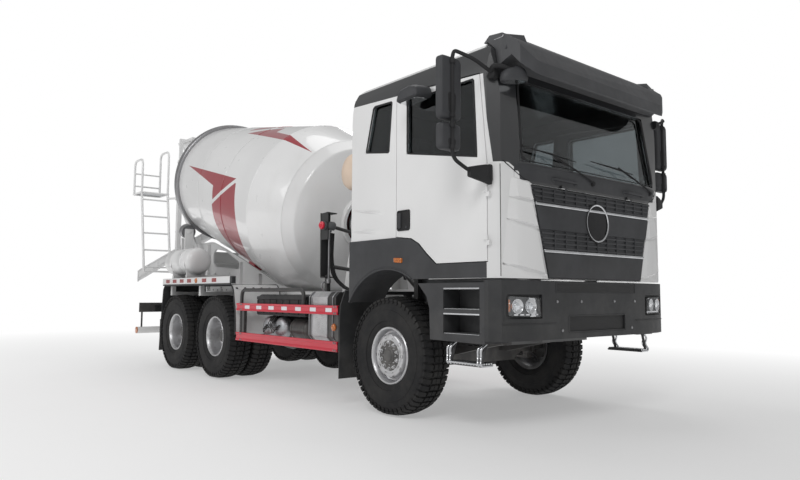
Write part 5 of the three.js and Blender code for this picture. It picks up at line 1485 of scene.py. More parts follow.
def rear_wall():
    """Pressed ribs and the vent grilles of the rear wall."""
    rib = Shape()
    outline = oblong(-34, 34, -560, 560, 30, 4)
    rows = [
        [(0, u, v) for u, v in outline], [(-7, u, v) for u, v in inset(outline, 9)],
        [(-9, u, v) for u, v in inset(outline, 18)]
    ]
    rib.skin(rows)
    applied(
        "cab_rear_ribs", "in a row", stamp(rib), "cab_paint", "cab", "white",
        Count=9, Start=at(-489.5, -880, 2240), Step=(0, 0.22, 0),
    )
    for side, q in SIDES:
        frame_part = Shape()
        outline = oblong(q * 1130 - 60, q * 1130 + 60, 1420, 1600, 12)
        frame_part.raised("x", outline, (-489, 0), (-496, 4))
        finished("cab_vent_frame_" + side, frame_part, "cab", "dark_trim", "dark", bevel=1)
        slat = Shape().block(-5, 1, -46, 46, -3, 3)
        applied(
            "cab_vent_slats_" + side, "in a row", stamp(slat), "soft_black", "cab", "dark",
            Count=9, Start=at(-497, q * 1130, 1442), Step=(0, 0, 0.017),
        )


def roof_fittings():
    """Roof hatch with its seal, and two long pressed ribs."""
    hatch = Shape()
    outline = oblong(150, 740, -300, 300, 70, 5)
    rings = [(3158, 0), (3176, 3), (3186, 14), (3190, 40), (3194, 120)]
    hatch.skin([[(u, v, z) for u, v in inset(outline, d)] for z, d in rings])
    finished("roof_hatch", hatch, "cab", "cab_paint", "white", angle=30)
    seal = Shape().tube(
        [(u, v, 3163) for u, v in inset(outline, -6)] + [(*inset(outline, -6)[0], 3163)], 6, 8
    )
    finished("roof_hatch_seal", seal, "cab", "seal_rubber", "dark", angle=50)
    ribs = Shape()
    for y in (-780, 780):
        bar = oblong(-380, 1080, y - 40, y + 40, 36, 4)
        ribs.raised("z", bar, (3159, 0), (3167, 12), (3169, 22))
    finished("roof_ribs", ribs, "cab", "cab_paint", "white", angle=30)


def screen_surround():
    """Black seal round the windscreen and the bead along its lower edge."""
    seal = Shape()
    outline = [(-1004, 2182), (1004, 2182), (950, 2864), (-950, 2864)]
    frame_strip(seal, outline, 26, lambda u, v, lift: (screen_x(v) + 1.0 + lift, u, v), 60, 3)
    finished("windscreen_seal", seal, "cab", "seal_rubber", "dark", angle=50)
    cowl = Shape()
    rows = []
    for k in range(33):
        y = -1060 + k * 2120 / 32
        x = front_x(y)
        end = min(1, (1060 - abs(y)) / 90 + 0.05)
        profile = ((2158, 0), (2150, 7), (2096, 9), (2080, 3), (2030, 2), (2024, 0))
        rows.append([(x + lift * end, y, z) for z, lift in profile])
    cowl.sheet(rows)
    finished("cowl_panel", cowl, "cab", "dark_trim", "dark", angle=24)


def wipers():
    for i, (root, knee, ends) in enumerate(WIPERS, 1):
        glass = lambda y, z, off: (screen_x(max(z, 2172)) + off, y, z)
        arm = Shape().lathe(
            (front_x(root[0]) + 2, root[0], root[1]), (1, 0, 0),
            [(0, 26), (14, 25), (20, 18), (22, 6), (26, 4), (26, 0), (0, 0)], 24
        )
        arm.tube(
            [
                (1520, *root), glass(root[0] - 90, root[1] + 32, 36),
                glass(knee[0] + 200, knee[1] - 66, 30), glass(*knee, 24)
            ],
            7.5, 8, 30, 0.6
        )
        arm.tube([glass(knee[0] + 210, knee[1] - 80, 26), glass(knee[0] + 20, knee[1] - 12, 22)], 3.4, 6)
        (y0, z0), (y1, z1) = ends
        along = lambda t, off: glass(y0 + (y1 - y0) * t, z0 + (z1 - z0) * t, off)
        for a, b in ((0.14, 0.5), (0.5, 0.86)):
            arm.tube([along(a, 10), along((a + b) / 2, 18), along(b, 10)], 4.5, 6, 20)
        arm.tube([along(0.33, 17), along(0.5, 25), along(0.67, 17)], 5.5, 6, 20)
        arm.tube([along(0, 5), along(0.25, 3.5), along(0.5, 3), along(0.75, 3.5), along(1, 5)], 3.6, 6)
        arm.tube([along(0.02, 8), along(0.5, 6.5), along(0.98, 8)], 4.6, 6)
        finished(f"wiper_{i}", arm, "cab", "soft_black", "dark", angle=40)


def grab_handles():
    for i, y in enumerate((-470, 590), 1):
        handle = Shape().tube(
            [(1504, y - 150, 2066), (1536, y - 138, 2066), (1536, y + 138, 2062), (1504, y + 150, 2062)],
            13, 12, 26
        )
        for dy in (-150, 150):
            foot = [(1501, 0), (1501, 24), (1507, 22), (1512, 14), (1512, 0)]
            handle.lathe((0, y + dy, 2064), (1, 0, 0), [(r, x) for x, r in foot], 20)
        finished(f"front_handle_{i}", handle, "cab", "dark_trim", "dark", angle=40)


def kerb_mirror():
    """Downward mirror over the kerb-side door."""
    shell = Shape()
    rings = []
    for y, s, drop in (
        (-1262, 0.78, 10), (-1278, 0.94, 4), (-1330, 1.0, 0), (-1400, 0.96, -4), (-1440, 0.84, -10),
        (-1452, 0.66, -14)
    ):
        outline = rounded([(430, 2786), (760, 2800), (742, 2890), (640, 2924), (470, 2900)], 40, 5)
        cx, cz = 600, 2852
        rings.append([(cx + (u - cx) * s, y, cz + (v - cz) * s + drop) for u, v in outline])
    shell.skin(rings)
    finished("kerb_mirror_shell", shell, "door_right", "dark_trim", "dark", bevel=3, angle=36)
    stalk = Shape().tube([(560, -1236, 2905), (560, -1272, 2915), (566, -1330, 2912)], 15, 12, 14)
    stalk.skin([[(x, y, z) for x, z in oblong(520, 606, 2884, 2932, 12)] for y in (-1240, -1252)])
    finished("kerb_mirror_stalk", stalk, "door_right", "soft_black", "dark", angle=40)
    glass = Shape()
    outline = rounded([(462, -1300), (724, -1300), (700, -1420), (486, -1420)], 26, 4)
    glass.skin(
        [
            [(u, v, 2779 + (u - 460) * 0.04) for u, v in outline],
            [(u, v, 2783 + (u - 460) * 0.04) for u, v in outline]
        ]
    )
    finished("kerb_mirror_glass", glass, "door_right", "mirror_glass", "mirror")


class MIXERTRUCK_OT_cab(Maker):
    """Cab shell, doors and glass with their seals, folds, handles and wipers"""

    bl_idname = "mixer_truck.cab"
    bl_label = "Cab"

    def make(self, size):
        kept("cab_shell", "cab_paint", bevel=5)
        kept("windscreen", "cab_glass", bevel=0)
        for side, q in SIDES:
            kept("door_" + side, "cab_paint", bevel=3)
            kept("door_glass_" + side, "cab_glass", bevel=0)
            kept("quarter_glass_" + side, "cab_glass", bevel=0)
            side_seals(side, q)
            corner_folds(side, q)
            door_handle(side, q)
        rear_wall()
        roof_fittings()
        screen_surround()
        wipers()
        grab_handles()
        kerb_mirror()


# ---------------------------------------------------------------- visor and front
class MIXERTRUCK_OT_visor(Maker):
    """Sun visor with its rim, screws and marker lamps"""

    bl_idname = "mixer_truck.visor"
    bl_label = "Sun visor"

    def make(self, size):
        kept("sun_visor", "visor_plastic", bevel=7)
        screws = [(1595 - (abs(y) / 900) ** 3 * 60, y, 3012) for y in (-880, -420, 420, 880)]
        head = stamp(
            Shape().lathe((0, 0, 0), (0.83, 0, 0.55), [(0, 5), (8, 4.5), (12, 1), (12, -2), (0, -2)], 16)
        )
        applied("visor_screws", "at spots", head, "soft_black", "cab", "dark", spots=screws)
        lamps = Shape()
        for side, q in SIDES:
            rim = [
                [(1352 + 96 * k / 8, q * (y + 4), z) for k in range(9)]
                for y, z in ((1120, 3206), (1152, 3176), (1158, 3156))
            ]
            lamps.sheet(rim)
        finished("visor_marker_lamps", lamps, "cab", "lamp_glass_white", "glass", angle=50)


def lid_half(z):
    return 692 + (z - 1250) * (894 - 692) / 742


def lid_bar(shape, z0, z1, x0, x1, trim=8, ease=0):
    """A full-width bar between two heights, crowned when eased."""
    rings = []
    for z, x in (
        (z0, x0), (z0, x1 - ease), (z0 + min(6, (z1 - z0) / 3), x1), (z1 - min(6, (z1 - z0) / 3), x1),
        (z1, x1 - ease), (z1, x0)
    ):
        rings.append([(x, -lid_half(z) + trim, z), (x, lid_half(z) - trim, z)])
    loop = list(zip(*rings))
    shape.skin([list(loop[0]), list(loop[1])])


def slats(size):
    gap = size.slat_gap * 1000
    for name, z0, z1 in (("low", 1482, 1640), ("high", 1856, 1974)):
        count = int((z1 - z0) / gap)
        bars = Shape()
        for k in range(count):
            z = z0 + (k + 0.5) * (z1 - z0) / count
            h = lid_half(z) - 14
            section = [
                (1492, z - 8), (1503, z - 11), (1506, z - 6), (1506, z + 4), (1502, z + 8), (1492, z + 8)
            ]
            bars.skin([[(x, y, v) for x, v in section] for y in (-h, h)])
        finished("grille_slats_" + name, bars, "grille_lid", "dark_trim", "dark", bevel=1)
        step = 152
        n = int(2 * lid_half(z0) / step)
        web = stamp(Shape().block(-6, 11, -5, 5, (z0 - z1) / 2, (z1 - z0) / 2))
        applied(
            "grille_webs_" + name, "in a row", web, "dark_trim", "grille_lid", "dark",
            Count=n, Start=at(1497, -(n - 1) * step / 2, (z0 + z1) / 2), Step=(0, step / 1000, 0),
        )


class MIXERTRUCK_OT_grille(Maker):
    """Front lid with its slats, bright strips and blank badge disc"""

    bl_idname = "mixer_truck.grille"
    bl_label = "Front lid"

    def make(self, size):
        body = Shape()
        outline = [(-692, 1250), (692, 1250), (894, 1992), (-894, 1992)]
        inner = [(-678, 1264), (678, 1264), (880, 1978), (-880, 1978)]
        body.skin([[(x, u, v) for u, v in rounded(inner, 14)] for x in (1450, 1494)])
        body.skin([[(x, u, v) for u, v in rounded(outline, 14)] for x in (1492.5, 1495)])
        lid_bar(body, 1254, 1462, 1480, 1507, 3, 8)
        lid_bar(body, 1644, 1838, 1480, 1508, 3, 8)
        lid_bar(body, 1976, 1990, 1480, 1506, 3, 4)
        finished(
            "grille_lid_shell", body, "grille_lid", "dark_trim", "dark", bevel=3, replaces=["grille_lid"]
        )
        net = Shape()
        for z0, z1 in ((1482, 1640), (1856, 1974)):
            net.sheet(
                [
                    [(1491.5, -lid_half(z0) + 12, z0), (1491.5, lid_half(z0) - 12, z0)],
                    [(1491.5, -lid_half(z1) + 12, z1), (1491.5, lid_half(z1) - 12, z1)]
                ]
            )
        finished("grille_net", net, "grille_lid", "net_dark", "dark")
        slats(size)
        strips = Shape()
        for z in (1472, 1849):
            lid_bar(strips, z - 12, z + 12, 1492, 1514, 3, 5)
        finished("grille_bright_strips", strips, "grille_lid", "chrome", "silver", bevel=2)
        badge = Shape()
        profile = [
            (0, 6), (120, 5), (140, 3), (150, 3), (155, 8), (163, 11), (171, 10), (176, 4), (178, -2),
            (178, -16), (0, -16)
        ]
        badge.lathe(BADGE, (1, 0, 0), profile, 96)
        finished("badge_disc_blank", badge, "grille_lid", "soft_black", "dark", angle=40)
        ring = Shape().lathe(
            BADGE, (1, 0, 0), [(152, 4), (155, 9), (162, 11.5), (169, 10), (172, 4), (152, 4)], 96
        )
        finished("badge_rim", ring, "grille_lid", "chrome", "silver", angle=50)
        hinge = Shape()
        for y in (-463, 537):
            hinge.lathe((1512, y, 2005), (0, 1, 0), [(0, -17), (9, -17), (9, 17), (0, 17)], 16)
            hinge.block(1501, 1516, y - 15, y + 15, 1982, 2004)
        finished("grille_hinges", hinge, "grille_lid", "dark_trim", "dark", bevel=1)


def bumper_x(y):
    return on_plan([(600, 1500), (860, 1496), (1030, 1478), (1185, 1430), (1250, 1352)], y)


def headlamp(side, q):
    outline = [(786, 936), (1140, 948), (1140, 1112), (800, 1096)]
    on = lambda y, z, lift: (bumper_x(y) + lift, q * y, z)
    rim = Shape()
    frame_strip(rim, outline, 12, lambda u, v, lift: on(u, v, lift + 1), 22, 3)
    tray = rounded(outline, 22, 4)
    rim.skin([[on(u, v, 0) for u, v in tray], [on(u, v, -34) for u, v in inset(tray, 6)]], caps=False)
    finished("headlamp_rim_" + side, rim, "chassis", "soft_black", "black", angle=40)
    back = Shape().raised(on, tray, (-22, 5), (-33, 6))
    for y, r in ((900, 54), (1040, 54)):
        x = bumper_x(y) - 26
        bowl = [
            (8, 2), (16, 3), (r * 0.55, 6), (r * 0.85, 14), (r, 22), (r + 4, 22), (r + 4, 0), (8, 0), (8, 2)
        ]
        back.lathe((x, q * y, 1028), (1, q * 0.16, 0), bowl, 40)
    for k in range(6):
        y = 812 + k * 60
        back.block(bumper_x(y) - 24, bumper_x(y) - 10, q * (y - 24), q * (y + 24), 956, 968)
    finished("headlamp_reflector_" + side, back, "chassis", "chrome", "silver", angle=30)
    eye = Shape()
    for y in (900, 1040):
        eye.lathe(
            (bumper_x(y) - 14, q * y, 1028), (1, q * 0.16, 0),
            [(0, 14), (14, 12), (24, 6), (28, 0), (0, 0)], 32
        )
    finished("headlamp_bulb_lens_" + side, eye, "chassis", "lamp_glass", "glass", angle=40)
    cover = Shape()
    n = 10
    rows = []
    for k in range(n + 1):
        t = k / n
        y = 795 + t * (1134 - 795)
        low, high = 943 + 11 * t, 1091 + 15 * t
        rows.append([on(y, low + (high - low) * j / 4, 1.5) for j in range(5)])
    cover.sheet(rows)
    finished("headlamp_cover_" + side, cover, "chassis", "lamp_cover", "glass", angle=40)
    amber = Shape().block(bumper_x(1112) - 20, bumper_x(1112) - 8, q * 1096, q * 1128, 984, 1080)
    finished("headlamp_turn_" + side, amber, "chassis", "lamp_amber", "glass", bevel=3)


class MIXERTRUCK_OT_bumper(Maker):
    """Front bumper with its lamps, intake net, slot and screws"""

    bl_idname = "mixer_truck.bumper"
    bl_label = "Front bumper"

    def make(self, size):
        kept("front_bumper", "bumper_black", bevel=6)
        net = Shape().sheet([[(1500.6, y, z) for y in (-590, 590)] for z in (1146, 1216)])
        net.sheet([[(1487, y, z) for y in (-419, 419)] for z in (816, 939)])
        finished("bumper_net", net, "chassis", "net_dark", "black")
        rim = Shape()
        face = lambda u, v, lift: (1500 + lift, u, v)
        frame_strip(rim, [(-604, 1138), (604, 1138), (604, 1224), (-604, 1224)], 12, face, 16, 3)
        frame_strip(rim, [(-432, 803), (432, 803), (432, 952), (-432, 952)], 14, face, 18, 3)
        lip = [(x, y) for x, y in ((1352, 1250), (1430, 1185), (1478, 1030), (1496, 860), (1500, 600))]
        for q in (-1, 1):
            rim.tube([(x + 2, q * (y + 1), 889) for x, y in lip[1:]], 4, 6)
        finished("bumper_rims", rim, "chassis", "bumper_black", "black", angle=40)
        spots = [
            (1502, y, z)
            for y, z in ((-583, 1064), (588, 1064), (-517, 827), (529, 823), (-250, 1064), (250, 1064))
        ]
        head = stamp(Shape().lathe((0, 0, 0), (1, 0, 0), [(0, 6), (9, 5), (13, 1), (13, -4), (0, -4)], 16))
        applied("bumper_screws", "at spots", head, "steel", "chassis", "steel", spots=spots)
        for side, q in SIDES:
            headlamp(side, q)


def front_mirror():
    """Rounded mirror under the visor's corner, on its curved arm."""
    shell = Shape()
    rings = []
    for z, k in (
        (2800, 0.8), (2794, 0.9), (2802, 0.97), (2830, 1.0), (2866, 0.92), (2896, 0.74), (2912, 0.5),
        (2918, 0.2)
    ):
        rings.append(
            [
                (1488 + 74 * k * math.cos(t), -1080 + 150 * k * math.sin(t), z + 22 * math.sin(t))
                for t in around(32)
            ]
        )
    shell.skin(rings)
    finished("front_mirror_shell", shell, "cab", "dark_trim", "mirror", angle=40)
    arm = Shape().tube(
        [
            (1396, -1226, 2862), (1410, -1262, 2880), (1440, -1268, 2900), (1478, -1220, 2896),
            (1488, -1150, 2886)
        ],
        20, 14, 40
    )
    arm.block(1372, 1420, -1250, -1214, 2826, 2892)
    finished("front_mirror_arm", arm, "cab", "soft_black", "mirror", bevel=4, angle=40)
    glass = Shape()
    disc = [
        (1488 + 56 * math.cos(i * math.pi / 16), -1080 + 114 * math.sin(i * math.pi / 16))
        for i in range(32)
    ]
    glass.skin([[(u, v, z + (v + 1080) * 0.147) for u, v in disc] for z in (2797, 2801)])
    finished("front_mirror_glass", glass, "cab", "mirror_glass", "mirror", angle=40)


def mount_pad(shape, x0, x1, q, y0, y1, z0, z1, radius):
    outline = oblong(x0, x1, z0, z1, radius, 4)
    shape.skin(
        [
            [(u, q * y0, v) for u, v in outline], [(u, q * (y1 - 3), v) for u, v in outline],
            [(u, q * y1, v) for u, v in inset(outline, 5)]
        ]
    )


def mirror_head(name, q, y0, y1, z0, z1, radius):
    """A housing dished to the front, its glass facing back."""
    outline = oblong(y0, y1, z0, z1, radius, 6)
    shell = Shape()
    rings = [(1222, 5), (1219, 1), (1224, 0), (1262, 1), (1276, 8), (1283, 20), (1286, 40)]
    shell.skin([[(x, q * u, v) for u, v in inset(outline, d)] for x, d in rings])
    finished(name, shell, "cab", "dark_trim", "mirror", angle=34)
    dish = Shape()
    cy, h = (y0 + y1) / 2, (z1 - z0)
    slot = rounded(
        [
            (cy - 34, z0 + h * 0.1), (cy + 34, z0 + h * 0.1), (cy + 44, z0 + h * 0.42),
            (cy - 44, z0 + h * 0.42)
        ],
        28, 5
    )
    dish.skin(
        [
            [(1287, q * u, v) for u, v in slot], [(1290, q * u, v) for u, v in inset(slot, 4)],
            [(1288, q * u, v) for u, v in inset(slot, 14)]
        ]
    )
    finished(name + "_rib", dish, "cab", "soft_black", "mirror", angle=30)
    glass = Shape()
    pane = inset(outline, 13)
    glass.skin([[(1221.5, q * u, v) for u, v in pane], [(1218.5, q * u, v) for u, v in inset(pane, 1)]])
    finished(name + "_glass", glass, "cab", "mirror_glass", "mirror", angle=40)


class MIXERTRUCK_OT_mirrors(Maker):
    """Twin mirror heads on their bowed poles"""

    bl_idname = "mixer_truck.mirrors"
    bl_label = "Mirrors"

    def make(self, size):
        for side, q in SIDES:
            pole = Shape()
            path = [
                (1398, 1236, 2860), (1380, 1440, 2935), (1300, 1560, 2990), (1290, 1570, 2940),
                (1290, 1570, 2150), (1330, 1420, 2060), (1372, 1252, 2050)
            ]
            pole.tube([(x, q * y, z) for x, y, z in path], 15, 16, 60)
            finished(
                "mirror_pole_" + side, pole, "cab", "soft_black", "mirror", angle=50,
                replaces=["mirror_" + side]
            )
            mounts = Shape()
            mount_pad(mounts, 1346, 1400, q, 1240, 1262, 1985, 2130, 24)
            mount_pad(mounts, 1356, 1390, q, 1258, 1290, 2010, 2100, 16)
            mount_pad(mounts, 1366, 1430, q, 1196, 1252, 2815, 2895, 20)
            mounts.skin([
                [(x, q * y, z) for x, z in oblong(x0, x1, z0, z1, 14)]
                for y, x0, x1, z0, z1 in (
                    (1242, 1348, 1396, 1970, 2128), (1300, 1338, 1384, 1986, 2124),
                    (1430, 1308, 1350, 2018, 2096)
                )
            ])
            for z in (2480, 2900, 2235, 2400):
                mounts.lathe(
                    (1290, q * 1570, z), (0, 0, 1),
                    [(15, -16), (23, -16), (24, -12), (24, 12), (23, 16), (15, 16), (15, -16)], 20
                )
            finished("mirror_mounts_" + side, mounts, "cab", "soft_black", "mirror", bevel=2, angle=40)
            if side == "right":
                front_mirror()
            mirror_head("mirror_main_" + side, q, 1462, 1678, 2450, 2948, 44)
            mirror_head("mirror_wide_" + side, q, 1464, 1676, 2216, 2424, 40)


# ---------------------------------------------------------------- rear body
def drum_roller(side):
    node = "drum_roller_" + side
    lo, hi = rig.box(node)
    mid = (lo + hi) / 2 * 1000
    centre = (mid.x - AXLE * 1000, mid.y, mid.z)
    shape = Shape()
    rim = [
        (34, -60), (60, -60), (66, -52), (96, -52), (104, -60), (118, -60), (120, -56), (120, 56),
        (118, 60), (104, 60), (96, 52), (66, 52), (60, 60), (34, 60), (34, -60)
    ]
    shape.lathe(centre, AXIS, rim, 64)
    finished(node + "_skin", shape, node, "ring_steel", "steel", angle=34, replaces=[node])
    cap = Shape()
    for s in (-1, 1):
        cap.lathe(
            centre, AXIS * s, [(0, 98), (34, 98), (40, 94), (46, 92), (58, 92), (58, 84), (0, 84)], 32
        )
        for k in range(6):
            t = k * math.pi / 3
            up = Vector((math.sin(TILT), 0, math.cos(TILT)))
            p = Vector(centre) + AXIS * (s * 92) + (up * math.cos(t) + Vector((0, 1, 0)) * math.sin(t)) * 50
            cap.lathe(p, AXIS * s, [(0, 5), (5, 5), (6, 0), (0, 0)], 6)
    finished(node + "_caps", cap, "chassis", "body_white", "white", angle=34)


def drum_gearbox():
    ring = Shape()
    for r, s0, s1 in (
        (276, 3972, 3996), (276, 4080, 4100), (276, 4200, 4216), (136, 4380, 4392), (136, 4540, 4556)
    ):
        ring.lathe(
            RING, AXIS,
            [(r - 30, s0), (r, s0), (r + 2, s0 + 4), (r + 2, s1 - 4), (r, s1), (r - 30, s1), (r - 30, s0)],
            48
        )
    for k in range(16):
        ring.lathe(on_drum(3996, 256, k * 22.5), AXIS, [(0, 14), (9, 14), (10, 0), (0, 0)], 6)
    ring.tube(
        [on_drum(4500, 138, 60), on_drum(4520, 190, 60), (-1440, 250, 1500), (-1440, 300, 1300)], 14, 10, 80
    )
    ring.tube(
        [on_drum(4500, 138, 40), on_drum(4540, 200, 40), (-1400, 210, 1500), (-1400, 250, 1300)], 14, 10, 80
    )
    finished("gearbox_fittings", ring, "chassis", "axle_grey", "steel", angle=34)
    seat = Shape()
    for q in (-1, 1):
        seat.block(-1700, -1470, q * 262, q * 306, 1560, 1580)
        seat.block(-1590, -1580, q * 195, q * 415, 1182, 1560)
    finished("front_pedestal_ribs", seat, "chassis", "body_white", "white", bevel=3)


def hopper_trim():
    rim = Shape()
    loop = [(-6985, -475), (-6345, -475), (-6345, 475), (-6985, 475), (-6985, -475)]
    for (x0, y0), (x1, y1) in zip(loop, loop[1:]):
        rim.tube([(x0, y0, 3868), (x1, y1, 3868)], 9, 8)
    for x in (-6940, -6700, -6400):
        for q in (-1, 1):
            rim.skin(
                [
                    [(x - 4, q * 452, 3835), (x + 4, q * 452, 3835), (x + 4, q * 475, 3835)],
                    [(x - 4, q * 446, 3760), (x + 4, q * 446, 3760), (x + 4, q * 452, 3790)]
                ]
            )
    for q in (-1, 1):
        rim.tube([(-6960, q * 452, 3850), (-6760, q * 272, 3500), (-6600, q * 232, 3250)], 7, 8)
    finished("hopper_rim", rim, "chassis", "body_white", "white", angle=40)
    rubber = Shape().sheet(
        [[(-6606, -228, 3256), (-6606, 228, 3256)], [(-6600, -220, 3180), (-6600, 220, 3180)]]
    )
    finished("hopper_flap", rubber, "chassis", "soft_black", "black", thick=6)
    funnel = Shape()
    top = [(-7010, -330), (-6530, -330), (-6530, 330), (-7010, 330), (-7010, -330)]
    for (x0, y0), (x1, y1) in zip(top, top[1:]):
        funnel.tube([(x0, y0, 2638), (x1, y1, 2638)], 9, 8)
    for q in (-1, 1):
        for x in (-6960, -6580):
            funnel.tube([(x, q * 326, 2636), (x + (30 if x < -6800 else -6), q * 196, 2430)], 6, 6)
    finished("funnel_rim", funnel, "chassis", "body_white", "white", angle=40)
    posts = Shape()
    for q in (-1, 1):
        for z in (1660, 2200, 2760, 3100, 3440):
            posts.block(-6607, -6513, q * 553, q * 637, z - 5, z + 5)
    finished("post_collars", posts, "chassis", "body_white", "white", bevel=2)


class MIXERTRUCK_OT_pedestals(Maker):
    """Drum supports, rollers, gearbox, hopper, funnel and their bolts"""

    bl_idname = "mixer_truck.pedestals"
    bl_label = "Drum supports and hopper"

    def make(self, size):
        white = "body_white"
        kept("rear_pedestal", white, bevel=4)
        kept("front_pedestal", white, bevel=5)
        kept("subframe", white, bevel=3)
        kept("charge_hopper", white, bevel=2)
        hopper_trim()
        for side, q in SIDES:
            drum_roller(side)
            spots = [(x, q * 431, 1180) for x in range(-6240, -2940, 165)]
            spots += [(x, q * 431, 1216) for x in range(-5600, -3200, 480)]
            bolts("pedestal_bolts_" + side, spots, (0, q, 0), "chassis", "steel", "steel", 10, 8)
            rim = Shape()
            window = [
                (-5380, 1560), (-4560, 1500), (-4480, 1530), (-4500, 1600), (-4980, 1790), (-5330, 1840),
                (-5420, 1780), (-5430, 1620)
            ]
            frame_strip(rim, window, -16, lambda u, v, lift: (u, q * (430 + lift), v), 60, 8)
            finished("pedestal_window_rim_" + side, rim, "chassis", white, "white", angle=40)
            ribs = Shape()
            for x0, z0, x1, z1 in (
                (-6290, 1160, -6290, 1690), (-5560, 1160, -5560, 1930), (-4400, 1160, -4400, 1600),
                (-3800, 1160, -3800, 1410)
            ):
                ribs.block(x0 - 5, x1 + 5, q * 430, q * 478, z0, z1)
            ribs.tube(
                [
                    (-6250, q * 437, 1958), (-5450, q * 437, 1958), (-5000, q * 437, 1828),
                    (-4000, q * 437, 1498), (-3300, q * 437, 1250), (-2900, q * 437, 1166)
                ],
                9, 8, 60
            )
            finished("pedestal_ribs_" + side, ribs, "chassis", white, "white", bevel=2)
        drum_gearbox()


class MIXERTRUCK_OT_chute(Maker):
    """Discharge chute with its turret, wear rim and lifting screw"""

    bl_idname = "mixer_truck.chute"
    bl_label = "Chute"

    def make(self, size):
        white = "body_white"
        kept("chute", white, bevel=2)
        kept("chute_turret", white, bevel=4)
        heading = math.radians(250)
        out = Vector((math.cos(heading), math.sin(heading), 0))
        side = Vector((-math.sin(heading), math.cos(heading), 0))
        base = Vector(TURRET)
        low = lambda u: 2080 - 0.65 * u
        spot = lambda u, v, lift: base + out * u + side * v + Vector((0, 0, low(u) + lift))
        rim = Shape()
        for q in (-1, 1):
            rim.tube([spot(u, q * 216, 172) for u in (-170, 300, 800, 1150)], 9, 8)
        hem = [(-215, 175), (-215, 60), (-118, 1), (118, 1), (215, 60), (215, 175)]
        for u in (-172, 1152):
            rim.tube([spot(u, v, dz) for v, dz in hem], 7, 8)
        for u in (120, 480, 840):
            rim.tube([spot(u, v * 1.012, dz - 3) for v, dz in hem], 6, 8)
        finished("chute_rims", rim, "chute", white, "white", angle=40)
        wear = Shape()
        rows = [[spot(u, v * 0.93, dz + 12) for v, dz in hem] for u in (-160, 200, 600, 1140)]
        wear.sheet(rows)
        finished("chute_wear_plate", wear, "chute", "ring_steel", "steel", angle=20)
        band = Shape().lathe(
            TURRET, (0, 0, 1), [(84, 1200), (94, 1204), (94, 1236), (84, 1240), (84, 1200)], 40
        )
        band.lathe(TURRET, (0, 0, 1), [(84, 1740), (94, 1744), (94, 1776), (84, 1780), (84, 1740)], 40)
        lever = base + side * 92 + Vector((0, 0, 1560))
        band.tube(
            [lever, lever + side * 40, lever + side * 44 - out * 30, lever + side * 44 - out * 90], 9, 8, 14
        )
        finished("turret_bands", band, "chute_turret", white, "white", bevel=2)


class MIXERTRUCK_OT_ladder(Maker):
    """Ladder, railings and inspection platform of round tube"""

    bl_idname = "mixer_truck.ladder"
    bl_label = "Ladder and platform"

    def make(self, size):
        shape = Shape()
        y0, y1, x0, z0, x1, z1, back = 740, 1190, -6500, 1480, -6730, 2850, -7150
        for y in (-y0, -y1):
            shape.tube([(x0, y, z0), (x1, y, z1)], 20, 16)
        for i in range(5):
            k = 0.06 + i * 0.215
            x, z = x0 + (x1 - x0) * k, z0 + (z1 - z0) * k
            shape.tube([(x, -y1, z), (x, -y0, z)], 14, 14)
        shape.tube([(x0, -y0, z0 + 10), (x0, -y1, z0 + 10)], 16, 14)
        for y, top in ((-y1, 3450), (-y0, 3640)):
            shape.tube(
                [(x1, y, z1), (x1, y, top), (back + 20, y, top), (back + 20, y, z1 + 10)], 18, 16, 110
            )
        for z in (3020, 3240):
            shape.tube([(back + 20, -y1, z), (back + 20, -y0, z)], 14, 14)
        for z in (z0 + 60, z1 - 60):
            x = x0 + (x1 - x0) * (z - z0) / (z1 - z0)
            shape.tube([(x, -y0, z), (-6560, -648, z)], 18, 14)
            shape.block(-6590, -6530, -660, -631, z - 30, z + 30)
        floor = [(back, -1215), (-6705, -1215), (-6705, -715), (back, -715)]
        middle = [(x + (15 if x < -7000 else -15), y + (15 if y < -1000 else -15), 2865) for x, y in floor]
        for a, b in zip(middle, middle[1:] + middle[:1]):
            shape.tube([a, b], 15, 8)
        finished(
            "ladder_tubes", shape, "chassis", "body_white", "white", angle=40, replaces=["access_ladder"]
        )
        deck = Shape().block(back + 14, -6719, -1201, -729, 2872, 2879)
        finished("platform_deck", deck, "chassis", "tread_plate", "steel", bevel=2)
        grips = Shape()
        for i in range(5):
            k = 0.06 + i * 0.215
            x, z = x0 + (x1 - x0) * k, z0 + (z1 - z0) * k
            for n in range(19):
                grips.lathe((x, -1155 + n * 20.5, z), (0, 1, 0), [(13, 0), (15.6, 3), (13, 6), (13, 0)], 10)
        finished("ladder_rung_grips", grips, "chassis", "body_white", "white", angle=50)


